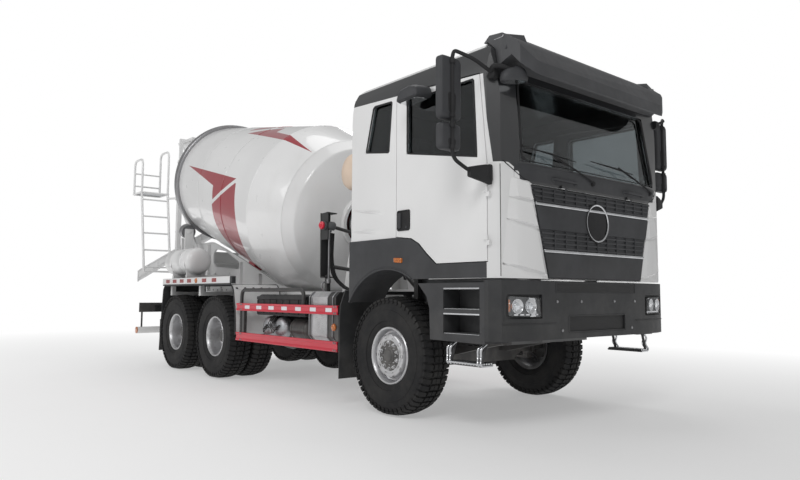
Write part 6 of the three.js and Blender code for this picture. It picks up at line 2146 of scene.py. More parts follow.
def water_tank():
    shape = Shape()
    end = [(0, 0), (70, 2), (120, 9), (160, 24), (184, 44), (196, 66), (200, 90)]
    body = end + [
        (200, 300), (203, 304), (203, 330), (200, 334), (200, 646), (203, 650), (203, 676), (200, 680)
    ]
    body += [(r, 980 - s) for r, s in reversed(end)]
    shape.lathe(MAIN_TANK, (1, 0, 0), body, 72)
    finished("water_tank_shell", shape, "chassis", "body_white", "white", angle=40, replaces=["water_tank"])
    hold = Shape()
    for x in (-5400, -4880):
        hold.lathe(
            (x, -960, 1610), (1, 0, 0),
            [(200, -24), (204, -24), (206, -18), (206, 18), (204, 24), (200, 24), (200, -24)], 72
        )
        hold.block(x - 30, x + 30, -1110, -431, 1350, 1400)
        hold.prism("x", [(-1110, 1400), (-810, 1400), (-800, 1470), (-1120, 1470)], x - 5, x + 5)
        hold.block(x - 60, x + 60, -443, -431, 1300, 1450)
        hold.lathe((x + 34, -1158, 1560), (0, 0, 1), [(0, -40), (8, -40), (8, 40), (0, 40)], 10)
    hold.lathe((-5210, -960, 1806), (0, 0, 1), [(60, -6), (60, 2), (46, 4), (46, 2), (0, 3)], 32)
    finished("water_tank_brackets", hold, "chassis", "body_white", "white", bevel=3)
    pipes = Shape().tube(
        [
            (-5706, -960, 1480), (-5760, -960, 1480), (-5760, -930, 1400), (-5760, -700, 1330),
            (-5740, -440, 1300)
        ],
        17, 12, 50
    )
    pipes.tube(
        [
            (-5000, -1010, 1420), (-5000, -1020, 1380), (-5060, -1000, 1352), (-5330, -980, 1346),
            (-5420, -960, 1340)
        ],
        13, 12, 40
    )
    finished("water_pipes", pipes, "chassis", "cable_black", "black", angle=50)
    level = Shape().tube(
        [(-4960, -1162, 1500), (-4960, -1172, 1500), (-4960, -1172, 1720), (-4960, -1154, 1720)], 7, 10, 8
    )
    finished("water_level_tube", level, "chassis", "lamp_cover", "glass", angle=50)


def battery_box():
    box = Shape().block(-2600, -1470, -1118, -560, 862, 1050)
    outline = [(-2600, 1050), (-2600, 1086)]
    for x in range(-2540, -1899, 20):
        outline.append((x, 1090 + 22 * abs(math.sin((x + 2540) / 140 * math.pi))))
    outline += [(-1860, 1106), (-1500, 1106), (-1470, 1090), (-1470, 1050)]
    box.prism("y", outline, -1130, -560)
    for x in (-2590, -2440, -2290, -2140, -1990, -1840, -1640, -1490):
        box.block(x - 8, x + 8, -1127, -1114, 872, 1046)
    box.block(-2596, -1474, -1126, -1114, 872, 886)
    finished(
        "battery_box", box, "chassis", "bumper_black", "black", bevel=4, replaces=["battery_and_air_tanks"]
    )
    tanks = Shape()
    for x in (-2350, -2060):
        end = [(0, 0), (50, 2), (90, 9), (116, 24), (130, 44), (135, 66)]
        tanks.lathe(
            (x, -1130, 715), (0, 1, 0), end + [(135, 494)] + [(r, 560 - s) for r, s in reversed(end)], 64
        )
    finished("air_tanks", tanks, "chassis", "tank_alloy", "silver", angle=40)
    silencer = Shape().lathe(
        (-1880, -980, 720), (1, 0, 0),
        [
            (0, 0), (60, 2), (100, 12), (120, 30), (125, 52), (125, 348), (120, 370), (100, 388), (60, 398),
            (0, 400)
        ],
        56
    )
    finished("air_dryer", silencer, "chassis", "chassis_black", "black", angle=40)
    hold = Shape()
    for x in (-2350, -2060):
        for y in (-1020, -680):
            hold.lathe(
                (x, y, 715), (0, 1, 0),
                [(135, -16), (138, -16), (139, -10), (139, 10), (138, 16), (135, 16), (135, -16)], 56
            )
            hold.block(x - 14, x + 14, y - 14, y + 14, 846, 870)
    for x in (-1820, -1560):
        hold.lathe(
            (x, -980, 720), (1, 0, 0), [(125, -14), (128, -14), (128, 14), (125, 14), (125, -14)], 48
        )
        hold.block(x - 12, x + 12, -994, -966, 840, 870)
    for x in (-2540, -1520):
        hold.block(x - 25, x + 25, -700, -426, 830, 862)
        hold.block(x - 25, x + 25, -465, -426, 830, 980)
    finished("tank_straps", hold, "chassis", "chassis_black", "black", bevel=2)
    lines = Shape()
    for n, x in enumerate((-2350, -2060)):
        for k in range(3):
            a = (x + 30 - 30 * k, -1133, 745 - 22 * k)
            lines.lathe(a, (0, -1, 0), [(0, 20), (7, 20), (9, 14), (9, 2), (12, 0), (0, 0)], 10)
            q = 1 if n == 0 else -1
            lines.tube(
                [
                    (a[0], -1150, a[2]), (a[0] + q * 30, -1166, a[2] - 20 - k * 14),
                    (a[0] + q * 110, -1160, a[2] - 30 + k * 30), (a[0] + q * 140, -1130, 800 + k * 14),
                    (a[0] + q * 142, -1080, 858)
                ],
                5.5, 8, 60
            )
    finished("air_lines", lines, "chassis", "cable_black", "black", angle=50)


def exhaust_box():
    kept("exhaust_box", "chassis_black", bevel=8)
    shield = Shape()
    outer = [(-1100, 620), (-1150, 670), (-1150, 1089), (-1100, 1139), (-760, 1139)]
    rows = []
    for x, d in ((-1290, 2), (-1286, 7), (-1010, 7), (-1006, 2)):
        rows.append(
            [
                (x, y - d * (1 if y < -1120 else 0.5), z + d * (1 if z > 1100 else -0.6 if z < 640 else 0))
                for y, z in outer
            ]
        )
    shield.sheet(rows)
    finished("exhaust_heat_shield", shield, "chassis", "shield_alloy", "silver", angle=30, bevel=2)
    straps = Shape()
    for x in (-1346, -1300, -996, -900):
        straps.tube(
            [
                (x, y - 4, z)
                for y, z in [(-1098, 617), (-1151, 670), (-1151, 1089), (-1100, 1141), (-700, 1141)]
            ],
            7, 8, 16, 0.5
        )
    finished("exhaust_straps", straps, "chassis", "steel", "steel", angle=40)
    pipe = Shape().tube(
        [(-862, -900, 900), (-800, -900, 900), (-780, -760, 880), (-780, -500, 860)], 52, 20, 80
    )
    pipe.tube([(-1366, -900, 720), (-1400, -900, 700), (-1420, -900, 640), (-1430, -900, 560)], 46, 20, 50)
    finished("exhaust_pipes", pipe, "chassis", "steel", "steel", angle=50)


def fuel_tank():
    kept("fuel_tank", "tank_alloy", bevel=12)
    hold = Shape()
    ring = oblong(518, 1152, 538, 1112, 100, 6)
    for x in (-2400, -1990, -1600):
        rows = [
            [(x + dx, y, z) for y, z in inset(ring, -d)] for dx, d in ((-26, 1), (-20, 4), (20, 4), (26, 1))
        ]
        hold.skin(rows, caps=False)
    finished("fuel_tank_straps", hold, "chassis", "steel", "steel", angle=40)
    cap = Shape().lathe(
        (-2100, 960, 1108), (0, 0.35, 1),
        [(0, 44), (40, 44), (46, 40), (48, 14), (56, 10), (56, 0), (0, 0)], 40
    )
    cap.lathe((-1700, 800, 1110), (0, 0, 1), [(0, 16), (26, 16), (30, 10), (38, 6), (38, 0), (0, 0)], 24)
    finished("fuel_cap", cap, "chassis", "soft_black", "black", angle=36)


class MIXERTRUCK_OT_tanks(Maker):
    """Water tank, battery box, air tanks, exhaust box and fuel tank"""

    bl_idname = "mixer_truck.tanks"
    bl_label = "Tanks and boxes"

    def make(self, size):
        water_tank()
        battery_box()
        exhaust_box()
        fuel_tank()


def guard_patches(side, q):
    patch = Shape()
    outline = oblong(-62, 62, -24, 24, 5)
    patch.raised("y", outline, (0, 0), (q * 1.4, 1.4))
    applied(
        "side_guard_patches_" + side, "in a row", stamp(patch), "marker_tape", "chassis", "red",
        Count=7, Start=at(-2650, q * 1232.2, 954), Step=(0.297, 0, 0),
    )


class MIXERTRUCK_OT_guards(Maker):
    """Red side guards with their marker patches, hoops and posts"""

    bl_idname = "mixer_truck.guards"
    bl_label = "Side guards"

    def make(self, size):
        for side, q in SIDES:
            rails = Shape()
            for z0, z1 in ((908, 1001), (537, 640)):
                m = (z0 + z1) / 2
                section = [
                    (1210, z0), (1236, z0), (1240, z0 + 4), (1240, z0 + 20), (1238, z0 + 24),
                    (1232, m - 20), (1232, m + 20)
                ]
                section += [
                    (1238, z1 - 24), (1240, z1 - 20), (1240, z1 - 4), (1236, z1), (1210, z1),
                    (1210, z1 - 6), (1226, z1 - 6), (1226, z0 + 6), (1210, z0 + 6)
                ]
                rails.prism("x", [(q * y, z) for y, z in section], -2930, -700)
            finished(
                "side_guard_rails_" + side, rails, "chassis", "guard_red", "red", bevel=1.5,
                replaces=["side_guard_" + side]
            )
            guard_patches(side, q)
            posts = Shape()
            for x in (-2800, -740):
                posts.block(x - 28, x + 28, q * 1170, q * 1210, 545, 995)
                posts.block(x - 24, x + 24, q * 425, q * 1180, 925, 975)
                posts.block(x - 50, x + 50, q * 425, q * 437, 860, 1010)
                posts.prism("x", [(q * 437, 860), (q * 437, 925), (q * 560, 925)], x - 5, x + 5)
            y = q * 1190
            posts.tube([(-2880, y, 600), (-2880, y, 1165), (-1410, y, 1165), (-1410, y, 960)], 22, 16, 90)
            finished(
                "side_guard_posts_" + side, posts, "chassis", "chassis_black", "black", bevel=2, angle=40
            )
            spots = [
                (x + dx, q * 1240, z) for x in (-2800, -740) for dx in (-16, 16)
                for z in (924, 988, 553, 626)
            ]
            bolts("side_guard_bolts_" + side, spots, (0, q, 0), "chassis", "steel", "steel", 8, 6)
            lamp = Shape().lathe(
                (-790, q * 1212, 780), (0, q, 0), [(0, 22), (20, 21), (34, 14), (38, 4), (38, 0), (0, 0)],
                32
            )
            finished("side_marker_" + side, lamp, "chassis", "lamp_amber", "glass", angle=50)


class MIXERTRUCK_OT_fenders(Maker):
    """Rear fenders with marker boards, mud flaps and brackets"""

    bl_idname = "mixer_truck.fenders"
    bl_label = "Rear fenders"

    def make(self, size):
        for side, q in SIDES:
            kept("rear_fender_" + side, "fender_black", bevel=3)
            board = Shape()
            outline = oblong(-5462, -3130, 1256, 1344, 6)
            board.raised("y", outline, (q * 1240.2, 0), (q * 1244, 2))
            finished("marker_board_" + side, board, "chassis", "body_white", "white", bevel=1)
            patch = Shape()
            tile = oblong(-70, 70, -26, 26, 6)
            patch.raised("y", tile, (0, 0), (q * 2.5, 2))
            spots = [(x, q * 1244, 1300) for x in (-5250, -4980, -4710, -4440, -3920, -3600)]
            applied(
                "board_reflectors_" + side, "at spots", stamp(patch), "lamp_red", "chassis", "red",
                spots=spots
            )
            lamp = Shape().lathe(
                (-4190, q * 1243, 1300), (0, q, 0), [(0, 20), (22, 19), (32, 12), (36, 3), (36, 0), (0, 0)],
                32
            )
            finished("board_lamp_" + side, lamp, "chassis", "lamp_amber", "glass", angle=50)
            edge = Shape()
            line = [
                (-5556, 240), (-5520, 640), (-5450, 1180), (-5390, 1238), (-3110, 1238), (-3040, 1180),
                (-2975, 900), (-2950, 600)
            ]
            edge.tube([(x, q * 1232, z) for x, z in line], 8, 8, 30)
            edge.tube([(x, q * 566, z) for x, z in line], 8, 8, 30)
            finished("fender_beads_" + side, edge, "chassis", "bumper_black", "black", angle=50)
            flap = Shape().sheet(
                [
                    [(-5558 - 2 * math.sin(k), q * y, 250 + k * 36) for y in (600, 760, 920, 1080, 1232)]
                    for k in range(14)
                ]
            )
            finished("rear_mud_flap_" + side, flap, "chassis", "rubber", "tyre", thick=7)
            spots = [(-5552, q * y, z) for y in (640, 920, 1190) for z in (668, 700)]
            dark = [(-3047, q * y, 1189) for y in range(590, 1200, 118)]
            bolts("apron_bolts_" + side, dark, (0.65, 0, 0.76), "chassis", "soft_black", "black", 13, 9)
            block_end = Shape().block(-3128, -3062, q * 1190, q * 1244, 1250, 1344)
            finished("board_end_" + side, block_end, "chassis", "bumper_black", "black", bevel=4)
            bolts("flap_bolts_" + side, spots, (-1, 0, 0.1), "chassis", "steel", "steel", 8, 6)


def tail_lamp(side, q):
    body = Shape().block(-6800, -6740, q * 560, q * 900, 800, 930)
    body.tube([(-6770, q * 600, 930), (-6770, q * 600, 1020), (-6740, q * 420, 1030)], 16, 10, 40)
    finished("tail_lamp_body_" + side, body, "chassis", "bumper_black", "black", bevel=8)
    lens = Shape()
    for k, y in enumerate((620, 700, 780)):
        outline = oblong(y - 36, y + 36, 818, 912, 10)
        lens.skin(
            [[(-6800, q * u, v) for u, v in outline], [(-6808, q * u, v) for u, v in inset(outline, 4)]]
        )
    finished("tail_lens_" + side, lens, "chassis", "lamp_red", "glass", angle=30)
    turn = Shape()
    outline = oblong(826, 886, 818, 912, 10)
    turn.skin([[(-6800, q * u, v) for u, v in outline], [(-6808, q * u, v) for u, v in inset(outline, 4)]])
    finished("tail_turn_lens_" + side, turn, "chassis", "lamp_amber", "glass", angle=30)


def front_springs(side, q):
    leaves = Shape()
    for k in range(7):
        reach = 760 - k * 86
        rows = []
        for n in range(-8, 9):
            x = reach * n / 8
            z = 668 - k * 11 + 60 * (x / 800) ** 2
            rows.append([(x, q * (345 + dy), z + dz) for dy, dz in ((0, 0), (80, 0), (80, 9), (0, 9))])
        leaves.skin(rows)
    finished("front_springs_" + side, leaves, "chassis", "axle_grey", "black", bevel=1)


def brake_pots(side, q):
    pots = Shape()
    for _, x in REAR_AXLES:
        pots.lathe(
            (x + 210, q * 470, 720), (0.3, q * 0.2, 0.5),
            [
                (0, 0), (60, 4), (78, 16), (80, 60), (84, 64), (84, 72), (80, 76), (76, 130), (60, 146),
                (0, 150)
            ],
            32
        )
        pots.tube([(x + 250, q * 500, 850), (x + 200, q * 470, 930), (x + 100, q * 450, 960)], 8, 8, 40)
    finished("brake_chambers_" + side, pots, "chassis", "axle_grey", "black", angle=40)


def engine_fins():
    fins = Shape()
    for k in range(10):
        x = 380 + k * 62
        fins.block(x, x + 14, -205, 205, 1180, 1196)
    fins.tube([(700, -260, 1100), (760, -330, 1150), (1000, -340, 1120), (1100, -300, 1000)], 26, 14, 60)
    fins.tube([(1100, 260, 760), (900, 330, 720), (500, 330, 760), (300, 300, 900)], 22, 14, 60)
    finished("engine_fittings", fins, "chassis", "engine_grey", "steel", bevel=2, angle=40)


class MIXERTRUCK_OT_frame(Maker):
    """Chassis rails, axles, springs, tail lamps and the underrun bar"""

    bl_idname = "mixer_truck.frame"
    bl_label = "Chassis and axles"

    def make(self, size):
        kept("frame_rails", "chassis_black", bevel=3)
        kept("powertrain", "engine_grey", bevel=12)
        kept("front_axle", "axle_grey", bevel=6)
        kept("rear_bogie", "axle_grey", bevel=6)
        kept("tie_rod", "axle_grey", bevel=3)
        for side, q in SIDES:
            kept("knuckle_" + side, "axle_grey", bevel=4)
            spots = [(x, q * 425.5, z) for x in range(-6600, 1200, 210) for z in (800, 1000)]
            rivet = stamp(
                Shape().lathe((0, 0, 0), (0, q, 0), [(0, 8), (7, 6.5), (11, 3), (12, 0), (0, 0)], 8)
            )
            applied(
                "frame_rivets_" + side, "at spots", rivet, "chassis_black", "chassis", "black", spots=spots
            )
            tail_lamp(side, q)
            front_springs(side, q)
            brake_pots(side, q)
            tip = Shape().lathe(
                (-6860, q * 1148, 490), (0, q, 0), [(56, 0), (57, 4), (57, 12), (30, 16), (0, 17)], 40
            )
            finished("underrun_cap_" + side, tip, "chassis", "lamp_amber", "glass", angle=40)
        bar = Shape().lathe(
            (-6860, 0, 490), (0, 1, 0), [(55, -1152), (55.8, -1150), (55.8, 1150), (55, 1152)], 48
        )
        finished("underrun_sleeve", bar, "chassis", "body_white", "white", angle=60)
        engine_fins()


def step_stirrup(side, q):
    frame_bar = Shape()
    for x in (900, 1240):
        for dx in (-16, 16):
            frame_bar.tube(
                [
                    (x + dx, q * 1150, 740), (x + dx - 8, q * 1226, 690), (x + dx - 20, q * 1210, 630),
                    (x + dx, q * 1236, 580), (x + dx, q * 1226, 560), (x + dx, q * 1100, 560)
                ],
                9, 10, 26
            )
    for y in (1112, 1140, 1168, 1196, 1222):
        frame_bar.tube([(884, q * y, 572), (1256, q * y, 572)], 9, 10)
    for k in range(12):
        frame_bar.block(890 + k * 31, 900 + k * 31, q * 1104, q * 1228, 560, 574)
    finished("stirrup_" + side, frame_bar, "chassis", "chrome", "silver", angle=40)


class MIXERTRUCK_OT_arches(Maker):
    """Arch covers, steps, stirrups and front mudguards"""

    bl_idname = "mixer_truck.arches"
    bl_label = "Arches and steps"

    def make(self, size):
        kept("front_mudguards", "bumper_black", bevel=2)
        for side, q in SIDES:
            kept("arch_cover_" + side, "dark_trim", bevel=5)
            kept("steps_" + side, "dark_trim", bevel=6)
            lip = Shape()
            ring = arc(93, 650, 698, 146, 60, 30)
            lip.tube([(x, q * 1245, z) for x, z in ring], 10, 10)
            inner = arc(93, 650, 720, 140, 66, 26)
            lip.tube([(x, q * 1246, z) for x, z in inner], 3, 6)
            finished("arch_lip_" + side, lip, "cab", "dark_trim", "dark", angle=50)
            marker = Shape()
            outline = rounded([(206, 1404), (322, 1396), (322, 1440), (206, 1448)], 12)
            marker.raised("y", outline, (q * 1246, 0), (q * 1256, 3), (q * 1259, 9))
            finished("arch_marker_" + side, marker, "cab", "lamp_amber", "glass", angle=40)
            treads = Shape()
            for x0, x1, z in ((848, 1244, 1000), (848, 1244, 800)):
                treads.block(x0, x1, q * 1060, q * 1238, z - 6, z + 5)
            finished("step_treads_" + side, treads, "chassis", "tread_plate", "steel", bevel=3)
            lips = Shape()
            for z in (1170, 964):
                lips.block(844, 1250, q * 1226, q * 1243, z - 10, z + 4)
            finished("step_lips_" + side, lips, "chassis", "chrome", "silver", bevel=3)
            step_stirrup(side, q)


# ---------------------------------------------------------------- interior
CUSHION = ([(38, 1798), (528, 1803), (552, 1832), (546, 1876), (515, 1888), (38, 1864)], (3, 4, 5), (0, 1))
BACKREST = (
    [(38, 1830), (44, 1898), (-76, 2495), (-100, 2538), (-148, 2538), (-172, 2505), (-48, 1822)], (1, 2),
    (1, 0.2)
)
HEADREST = ([(-196, 2560), (-122, 2560), (-130, 2706), (-192, 2706)], (1, 2), (1, 0))


def pad_rings(drawn, middle, half):
    """The pad's outline across its width: raised beside the seams, thinner at its ends."""
    outline, face, way = drawn
    reach = math.hypot(*way)
    rings = []
    for share, lift in (
        (-1, -26), (-0.93, -4), (-0.8, 14), (-0.62, -6), (-0.3, -10), (0.3, -10), (0.62, -6), (0.8, 14),
        (0.93, -4), (1, -26)
    ):
        ring = []
        for k, (u, v) in enumerate(outline):
            move = (lift if k in face else 0) / reach
            ring.append((u + way[0] * move, middle + share * half, v + way[1] * move))
        rings.append(ring)
    return rings


def stuffed_pad(name, drawn, middle, half, seams, cap):
    """A stuffed cushion: its skin is blown out like cloth and held along its seams."""
    shape = Shape().skin(pad_rings(drawn, middle, half))
    mesh = bpy.data.meshes.new(name)
    bmesh.ops.recalc_face_normals(shape.mesh, faces=shape.mesh.faces)
    shape.mesh.to_mesh(mesh)
    shape.mesh.free()
    obj = linked(name, mesh)
    grid = obj.modifiers.new("grid", "REMESH")
    grid.mode = "VOXEL"
    grid.voxel_size = 0.012
    keep_shown(obj)
    start = [v.co.copy() for v in obj.data.vertices]
    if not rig.quick():
        blow(obj, middle, seams)
        for vertex, first in zip(obj.data.vertices, start):
            move = vertex.co - first
            if move.length > cap / 1000:
                vertex.co = first + move.normalized() * cap / 1000
    finer = obj.modifiers.new("finer", "SUBSURF")
    finer.levels = finer.render_levels = 1
    keep_shown(obj)
    obj.data.materials.append(paint("seat_cloth"))
    for face in obj.data.polygons:
        face.use_smooth = True
    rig.ride(obj, "cab")
    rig.slot(obj, "seat")
    return obj


def blow(obj, middle, seams):
    """Runs the cloth with pressure inside, then keeps the shape it came to."""
    held = obj.vertex_groups.new(name="held")
    near = []
    for vertex in obj.data.vertices:
        across = vertex.co.y * 1000 - middle
        if any(abs(across - s) < 9 for s in seams):
            near.append(vertex.index)
    if near:
        held.add(near, 1.0, "REPLACE")
    cloth = obj.modifiers.new("cloth", "CLOTH")
    if near:
        cloth.settings.vertex_group_mass = "held"
    cloth.settings.use_pressure = True
    cloth.settings.uniform_pressure_force = 4
    cloth.settings.effector_weights.gravity = 0
    cloth.settings.quality = 4
    scene = bpy.context.scene
    for number in range(1, 21):
        scene.frame_set(number)
    keep_shown(obj)
    scene.frame_set(1)


def keep_shown(obj):
    """Turns what the modifiers show into the object's own mesh."""
    bpy.context.view_layer.update()
    made = bpy.data.meshes.new_from_object(obj.evaluated_get(bpy.context.evaluated_depsgraph_get()))
    obj.modifiers.clear()
    obj.data = made


def seat_piping(side, q):
    cord = Shape()
    for s in (-142, 142):
        y = q * SEAT_Y + s
        cord.tube([(40, y, 1862), (300, y, 1874), (515, y, 1884), (548, y, 1868), (552, y, 1832)], 4, 8)
    for s in (-130, 130):
        y = q * SEAT_Y + s
        cord.tube([(40, y, 1900), (-20, y, 2194), (-80, y, 2492), (-104, y, 2536), (-148, y, 2538)], 4, 8)
    finished("seat_piping_" + side, cord, "cab", "soft_black", "black", angle=60)


def seat_base(side, q):
    y = q * SEAT_Y
    gaiter = Shape()
    rings = []
    for k in range(13):
        z = 1468 + k * 25
        d = 0 if k % 2 else 16
        box = oblong(136 + d, 464 - d, y - 184 + d, y + 184 - d, 40)
        rings.append([(u, v, z) for u, v in box])
    gaiter.skin(rings)
    finished("seat_gaiter_" + side, gaiter, "cab", "rubber", "tyre", angle=20)
    frame_part = Shape().block(60, 500, y - 215, y + 215, 1776, 1794)
    frame_part.block(110, 480, y - 195, y + 195, 1460, 1470)
    frame_part.prism("y", [(-20, 1800), (70, 1790), (60, 1880), (-20, 1900)], y - 252, y - 240)
    frame_part.prism("y", [(-20, 1800), (70, 1790), (60, 1880), (-20, 1900)], y + 240, y + 252)
    frame_part.tube(
        [(430, y + q * 205, 1785), (440, y + q * 225, 1800), (500, y + q * 232, 1806)], 8, 8, 20
    )
    for s in (-45, 45):
        frame_part.tube([(-150, y + s, 2525), (-156, y + s, 2570)], 7, 10)
    shell = [(-60, 1800), (-182, 2500), (-168, 2545), (-150, 2545), (-160, 2500), (-42, 1810)]
    frame_part.prism("y", shell, y - 222, y + 222)
    finished("seat_frame_" + side, frame_part, "cab", "dash_plastic", "black", bevel=5)


class MIXERTRUCK_OT_seats(Maker):
    """Seats: stuffed cushions, piping, suspension bellows and levers"""

    bl_idname = "mixer_truck.seats"
    bl_label = "Seats"

    def make(self, size):
        for side, q in SIDES:
            pads = [
                stuffed_pad("seat_cushion_" + side, CUSHION, q * SEAT_Y, 243, (-142, 142), 22),
                stuffed_pad("seat_back_" + side, BACKREST, q * SEAT_Y, 228, (-130, 130), 22),
                stuffed_pad("headrest_" + side, HEADREST, q * SEAT_Y, 132, (), 12),
            ]
            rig.replaces(pads[0], "seat_" + side)
            for each, fill in zip(pads, (0.7, 0.6, 0.8)):
                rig.padded(each, fill=fill)
            seat_piping(side, q)
            seat_base(side, q)


def cluster():
    hood = Shape().sheet(
        [
            [(x, y, z) for x, z in [(1010, 2020), (1016, 2090), (1130, 2120), (1200, 2112)]]
            for y in (330, 350, 770, 790)
        ]
    )
    finished("cluster_hood", hood, "cab", "dash_plastic", "black", bevel=3, thick=12)
    dials = Shape()
    for y in (455, 665):
        dials.lathe(
            (1000, y, 1965), (-1, 0, 0.2), [(0, 4), (62, 4), (66, 14), (72, 14), (72, 0), (0, 0)], 40
        )
    dials.lathe(
        (1000, SEAT_Y, 1975), (-1, 0, 0.2), [(0, 4), (26, 4), (28, 10), (32, 10), (32, 0), (0, 0)], 28
    )
    finished("dials", dials, "cab", "mirror_glass", "mirror", angle=34)
    screen = Shape()
    pane = oblong(-110, 190, 1790, 1960, 10)
    screen.skin([[(x, y, z) for y, z in pane] for x in (979, 1010)])
    finished("dash_screen", screen, "cab", "mirror_glass", "mirror", bevel=3)
    knob = stamp(
        Shape().lathe(
            (0, 0, 0), (-1, 0, 0.3), [(0, 22), (15, 22), (18, 18), (20, 4), (26, 2), (26, -4), (0, -4)], 20
        )
    )
    spots = [(1030, y, 1755) for y in (-80, 0, 80, 160)]
    applied("dash_knobs", "at spots", knob, "soft_black", "cab", "black", spots=spots)
    key = Shape().block(-12, 4, -15, 15, -11, 11)
    spots = [(1012, y, z) for y in (240, 276, 312, 850, 886, 922, 958) for z in (1840, 1868)]
    applied("dash_keys", "at spots", stamp(key), "soft_black", "cab", "black", spots=spots, angle=30)


def dash_vents():
    for n, y in enumerate((-960, -480, 250, 960)):
        piece = Shape().block(-10, 8, -60, 60, -1.4, 1.4)
        applied(
            f"dash_vent_{n}", "in a row", stamp(piece), "soft_black", "cab", "black", Count=6,
            Start=at(982, y, 1900 + n % 2), Step=(0, 0, 0.012)
        )
    line = Shape().tube(
        [
            (1044, -1080, 1800), (1044, -300, 1800), (1072, -300, 1700), (1072, -1080, 1700),
            (1044, -1080, 1800)
        ],
        3.5, 6
    )
    finished("glove_box_seam", line, "cab", "soft_black", "black", angle=60)


def steering_wheel():
    foot, top = Vector((1120, SEAT_Y, 1800)), Vector((905, SEAT_Y, 2060))
    along = (top - foot).normalized()
    hub = top + along * 46
    side = Vector((0, 1, 0))
    up = along.cross(side).normalized()
    rim = Shape()
    rings = []
    for t in around(64):
        out = side * math.cos(t) + up * math.sin(t)
        grip = 15.5 + 1.2 * math.cos(24 * t)
        rings.append(
            [hub + out * (225 + grip * math.cos(w)) + along * grip * math.sin(w) for w in around(14)]
        )
    rim.skin(rings, loop=True)
    finished(
        "steering_rim", rim, "steering_wheel", "rubber", "black", angle=60, replaces=["steering_wheel"]
    )
    hubs = Shape().lathe(
        hub, along, [(0, -40), (54, -40), (66, -24), (78, 4), (80, 14), (70, 22), (30, 26), (0, 26)], 40
    )
    for turn in (0, 180, 235, 305):
        t = math.radians(turn)
        out = side * math.cos(t) + up * math.sin(t)
        hubs.tube([hub + out * 60, hub + out * 140 - along * 4, hub + out * 216], 15, 12, 30, 0.45)
    finished("steering_hub", hubs, "steering_wheel", "dash_plastic", "black", angle=40)
    ring = Shape().lathe(hub, along, [(36, 24), (40, 28), (44, 26), (42, 22), (36, 24)], 36)
    finished("steering_ring", ring, "steering_wheel", "chrome", "silver", angle=50)
    stalk = Shape()
    for q in (-1, 1):
        stalk.tube(
            [
                top + side * q * 24 - along * 40, top + side * q * 90 - along * 30,
                top + side * q * 190 - along * 22
            ],
            8, 10, 20
        )
    stalk.lathe(foot, along, [(30, 10), (46, 10), (46, 230), (38, 260), (38, 300), (30, 300), (30, 10)], 28)
    finished("column_shroud", stalk, "cab", "dash_plastic", "black", angle=40)


class MIXERTRUCK_OT_dashboard(Maker):
    """Dashboard with its dials, vents, switches, and the steering wheel"""

    bl_idname = "mixer_truck.dashboard"
    bl_label = "Dashboard"

    def make(self, size):
        kept("dashboard", "dash_plastic", bevel=14)
        cluster()
        dash_vents()
        steering_wheel()
# ---------------------------------------------------------------- behind the cab
class MIXERTRUCK_OT_valves(Maker):
    """Control valve, its rods, brackets and hoses behind the cab"""

    bl_idname = "mixer_truck.valves"
    bl_label = "Control valve"

    def make(self, size):
        bracket = Shape().block(-1190, -1176, -1130, -1010, 1300, 1990)
        bracket.block(-1190, -1050, -1130, -1118, 1700, 1990)
        bracket.block(-1190, -1050, -1130, -1010, 1978, 1990)
        bracket.block(-1150, -1110, -1095, -1045, 1140, 1320)
        bracket.block(-1190, -1110, -1130, -1010, 1292, 1304)
        bracket.tube([(-1176, -1020, 1420), (-1300, -700, 1400), (-1420, -420, 1380)], 22, 10, 40)
        bracket.tube([(-1176, -1020, 1860), (-1300, -640, 1820), (-1430, -300, 1780)], 20, 10, 40)
        finished("valve_bracket", bracket, "chassis", "chassis_black", "black", bevel=4)
        rods = Shape().tube([(-1100, -1075, 1240), (-1100, -1075, 1790)], 9, 10)
        rods.tube([(-1070, -1100, 1240), (-1070, -1100, 1800)], 7, 10)
        rods.lathe(
            (-1100, -1075, 1232), (0, 0, 1), [(0, 0), (20, 0), (24, 8), (24, 46), (16, 54), (0, 54)], 20
        )
        rods.lathe((-1070, -1100, 1232), (0, 0, 1), [(0, 0), (14, 0), (16, 8), (16, 30), (0, 34)], 16)
        rods.tube(
            [(-1090, -1120, 1246), (-1090, -1160, 1240), (-1096, -1170, 1200), (-1110, -1130, 1150)], 8, 10,
            30
        )
        finished("valve_rods", rods, "chassis", "steel", "steel", angle=40)
        body = Shape().lathe(
            (-1100, -1078, 1850), (0, -1, 0),
            [(0, -60), (44, -60), (48, -54), (48, 20), (40, 30), (40, 60), (46, 66), (46, 78), (0, 80)], 28
        )
        body.lathe((-1100, -1078, 1800), (0, 0, 1), [(0, -20), (26, -20), (28, -14), (28, 40), (0, 44)], 20)
        body.lathe((-1130, -1078, 1850), (-1, 0, 0), [(0, 0), (24, 0), (26, 6), (26, 50), (0, 54)], 20)
        finished("valve_body", body, "chassis", "engine_grey", "steel", angle=40)
        knob = Shape().lathe(
            (-1100, -1160, 1850), (0, -1, 0),
            [(0, -4), (30, -4), (40, 2), (44, 14), (40, 26), (26, 30), (22, 40), (0, 42)], 12
        )
        finished("valve_knob", knob, "chassis", "guard_red", "red", bevel=2, angle=20)
        hoses = Shape()
        for k in range(3):
            y = -1040 + 34 * k
            hoses.tube(
                [
                    (-1130 - 20 * k, y, 1780), (-1150 - 20 * k, y, 1500), (-1140 - 24 * k, y + 40, 1300),
                    (-1180 - 20 * k, y + 220, 1180), (-1260, -500 + 30 * k, 1120)
                ],
                11, 10, 90
            )
        finished("valve_hoses", hoses, "chassis", "cable_black", "black", angle=50)


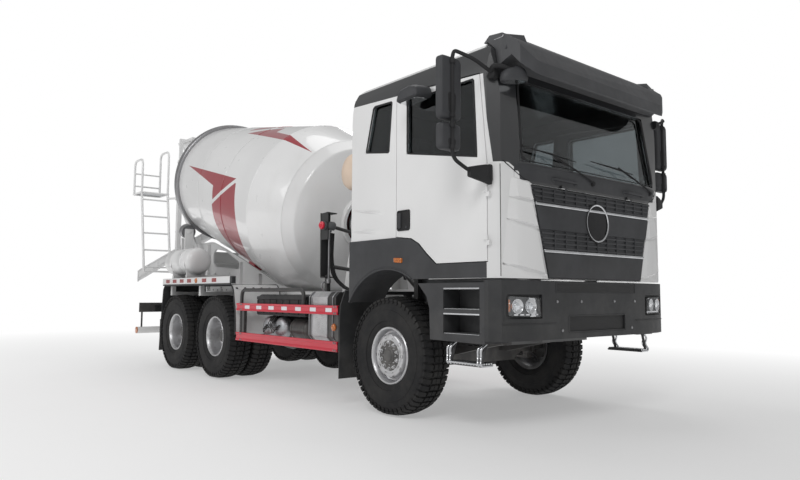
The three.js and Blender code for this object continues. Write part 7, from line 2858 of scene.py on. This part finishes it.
class MIXERTRUCK_OT_air_cleaner(Maker):
    """Pale air cleaner drum behind the cab, on its post"""

    bl_idname = "mixer_truck.air_cleaner"
    bl_label = "Air cleaner"

    def make(self, size):
        hood = Shape()
        end = [(0, 0), (90, 4), (150, 16), (185, 36), (200, 66)]
        hood.lathe(
            (-860, -1000, 2425), (0, 1, 0),
            end + [
                (200, 150), (206, 156), (206, 176), (200, 182), (200, 290)
            ] + [(r, 360 - s) for r, s in reversed(end)],
            48
        )
        post = Shape().block(-890, -830, -850, -790, 1136, 2226)
        post.block(-930, -790, -890, -750, 1130, 1146)
        post.tube(
            [
                (-860, -700, 2425), (-860, -560, 2425), (-860, -470, 2360), (-800, -360, 1500),
                (-500, -300, 1200)
            ],
            60, 16, 120
        )
        post.lathe((-860, -850, 2425), (0, 1, 0), [(201, 0), (208, 2), (208, 28), (201, 30), (201, 0)], 48)
        finished("air_cleaner_bracket", post, "chassis", "chassis_black", "black", bevel=3, angle=40)
        finished("air_cleaner_shell", hood, "chassis", "cream_shell", "white", angle=36)


# ---------------------------------------------------------------- add-on
class MIXERTRUCK_PT_sizes(bpy.types.Panel):
    """The truck's sizes and pieces in the sidebar"""

    bl_idname = "MIXERTRUCK_PT_sizes"
    bl_label = "Mixer Truck"
    bl_space_type = "VIEW_3D"
    bl_region_type = "UI"
    bl_category = "Mixer Truck"

    def draw(self, context):
        for key in MixerTruckSizes.__annotations__:
            self.layout.prop(context.scene.mixer_truck, key)
        for piece in OPERATORS:
            self.layout.operator(piece.bl_idname)


OPERATORS = [
    c for c in list(globals().values()) if isinstance(c, type) and c.__name__.startswith("MIXERTRUCK_OT_")
]
CLASSES = [MixerTruckSizes, *OPERATORS, MIXERTRUCK_PT_sizes]


def register():
    for each in CLASSES:
        bpy.utils.register_class(each)
    bpy.types.Scene.mixer_truck = PointerProperty(type=MixerTruckSizes)


def unregister():
    del bpy.types.Scene.mixer_truck
    for each in reversed(CLASSES):
        bpy.utils.unregister_class(each)


def main():
    register()
    for each in OPERATORS:
        getattr(bpy.ops.mixer_truck, each.bl_idname.split(".")[1])()
    with open("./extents.json", "w") as out:
        json.dump({"cad": [list(c) for c in CAD_BOX], "visual": [list(c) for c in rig.bounds()]}, out)


if __name__ == "__main__":
    main()
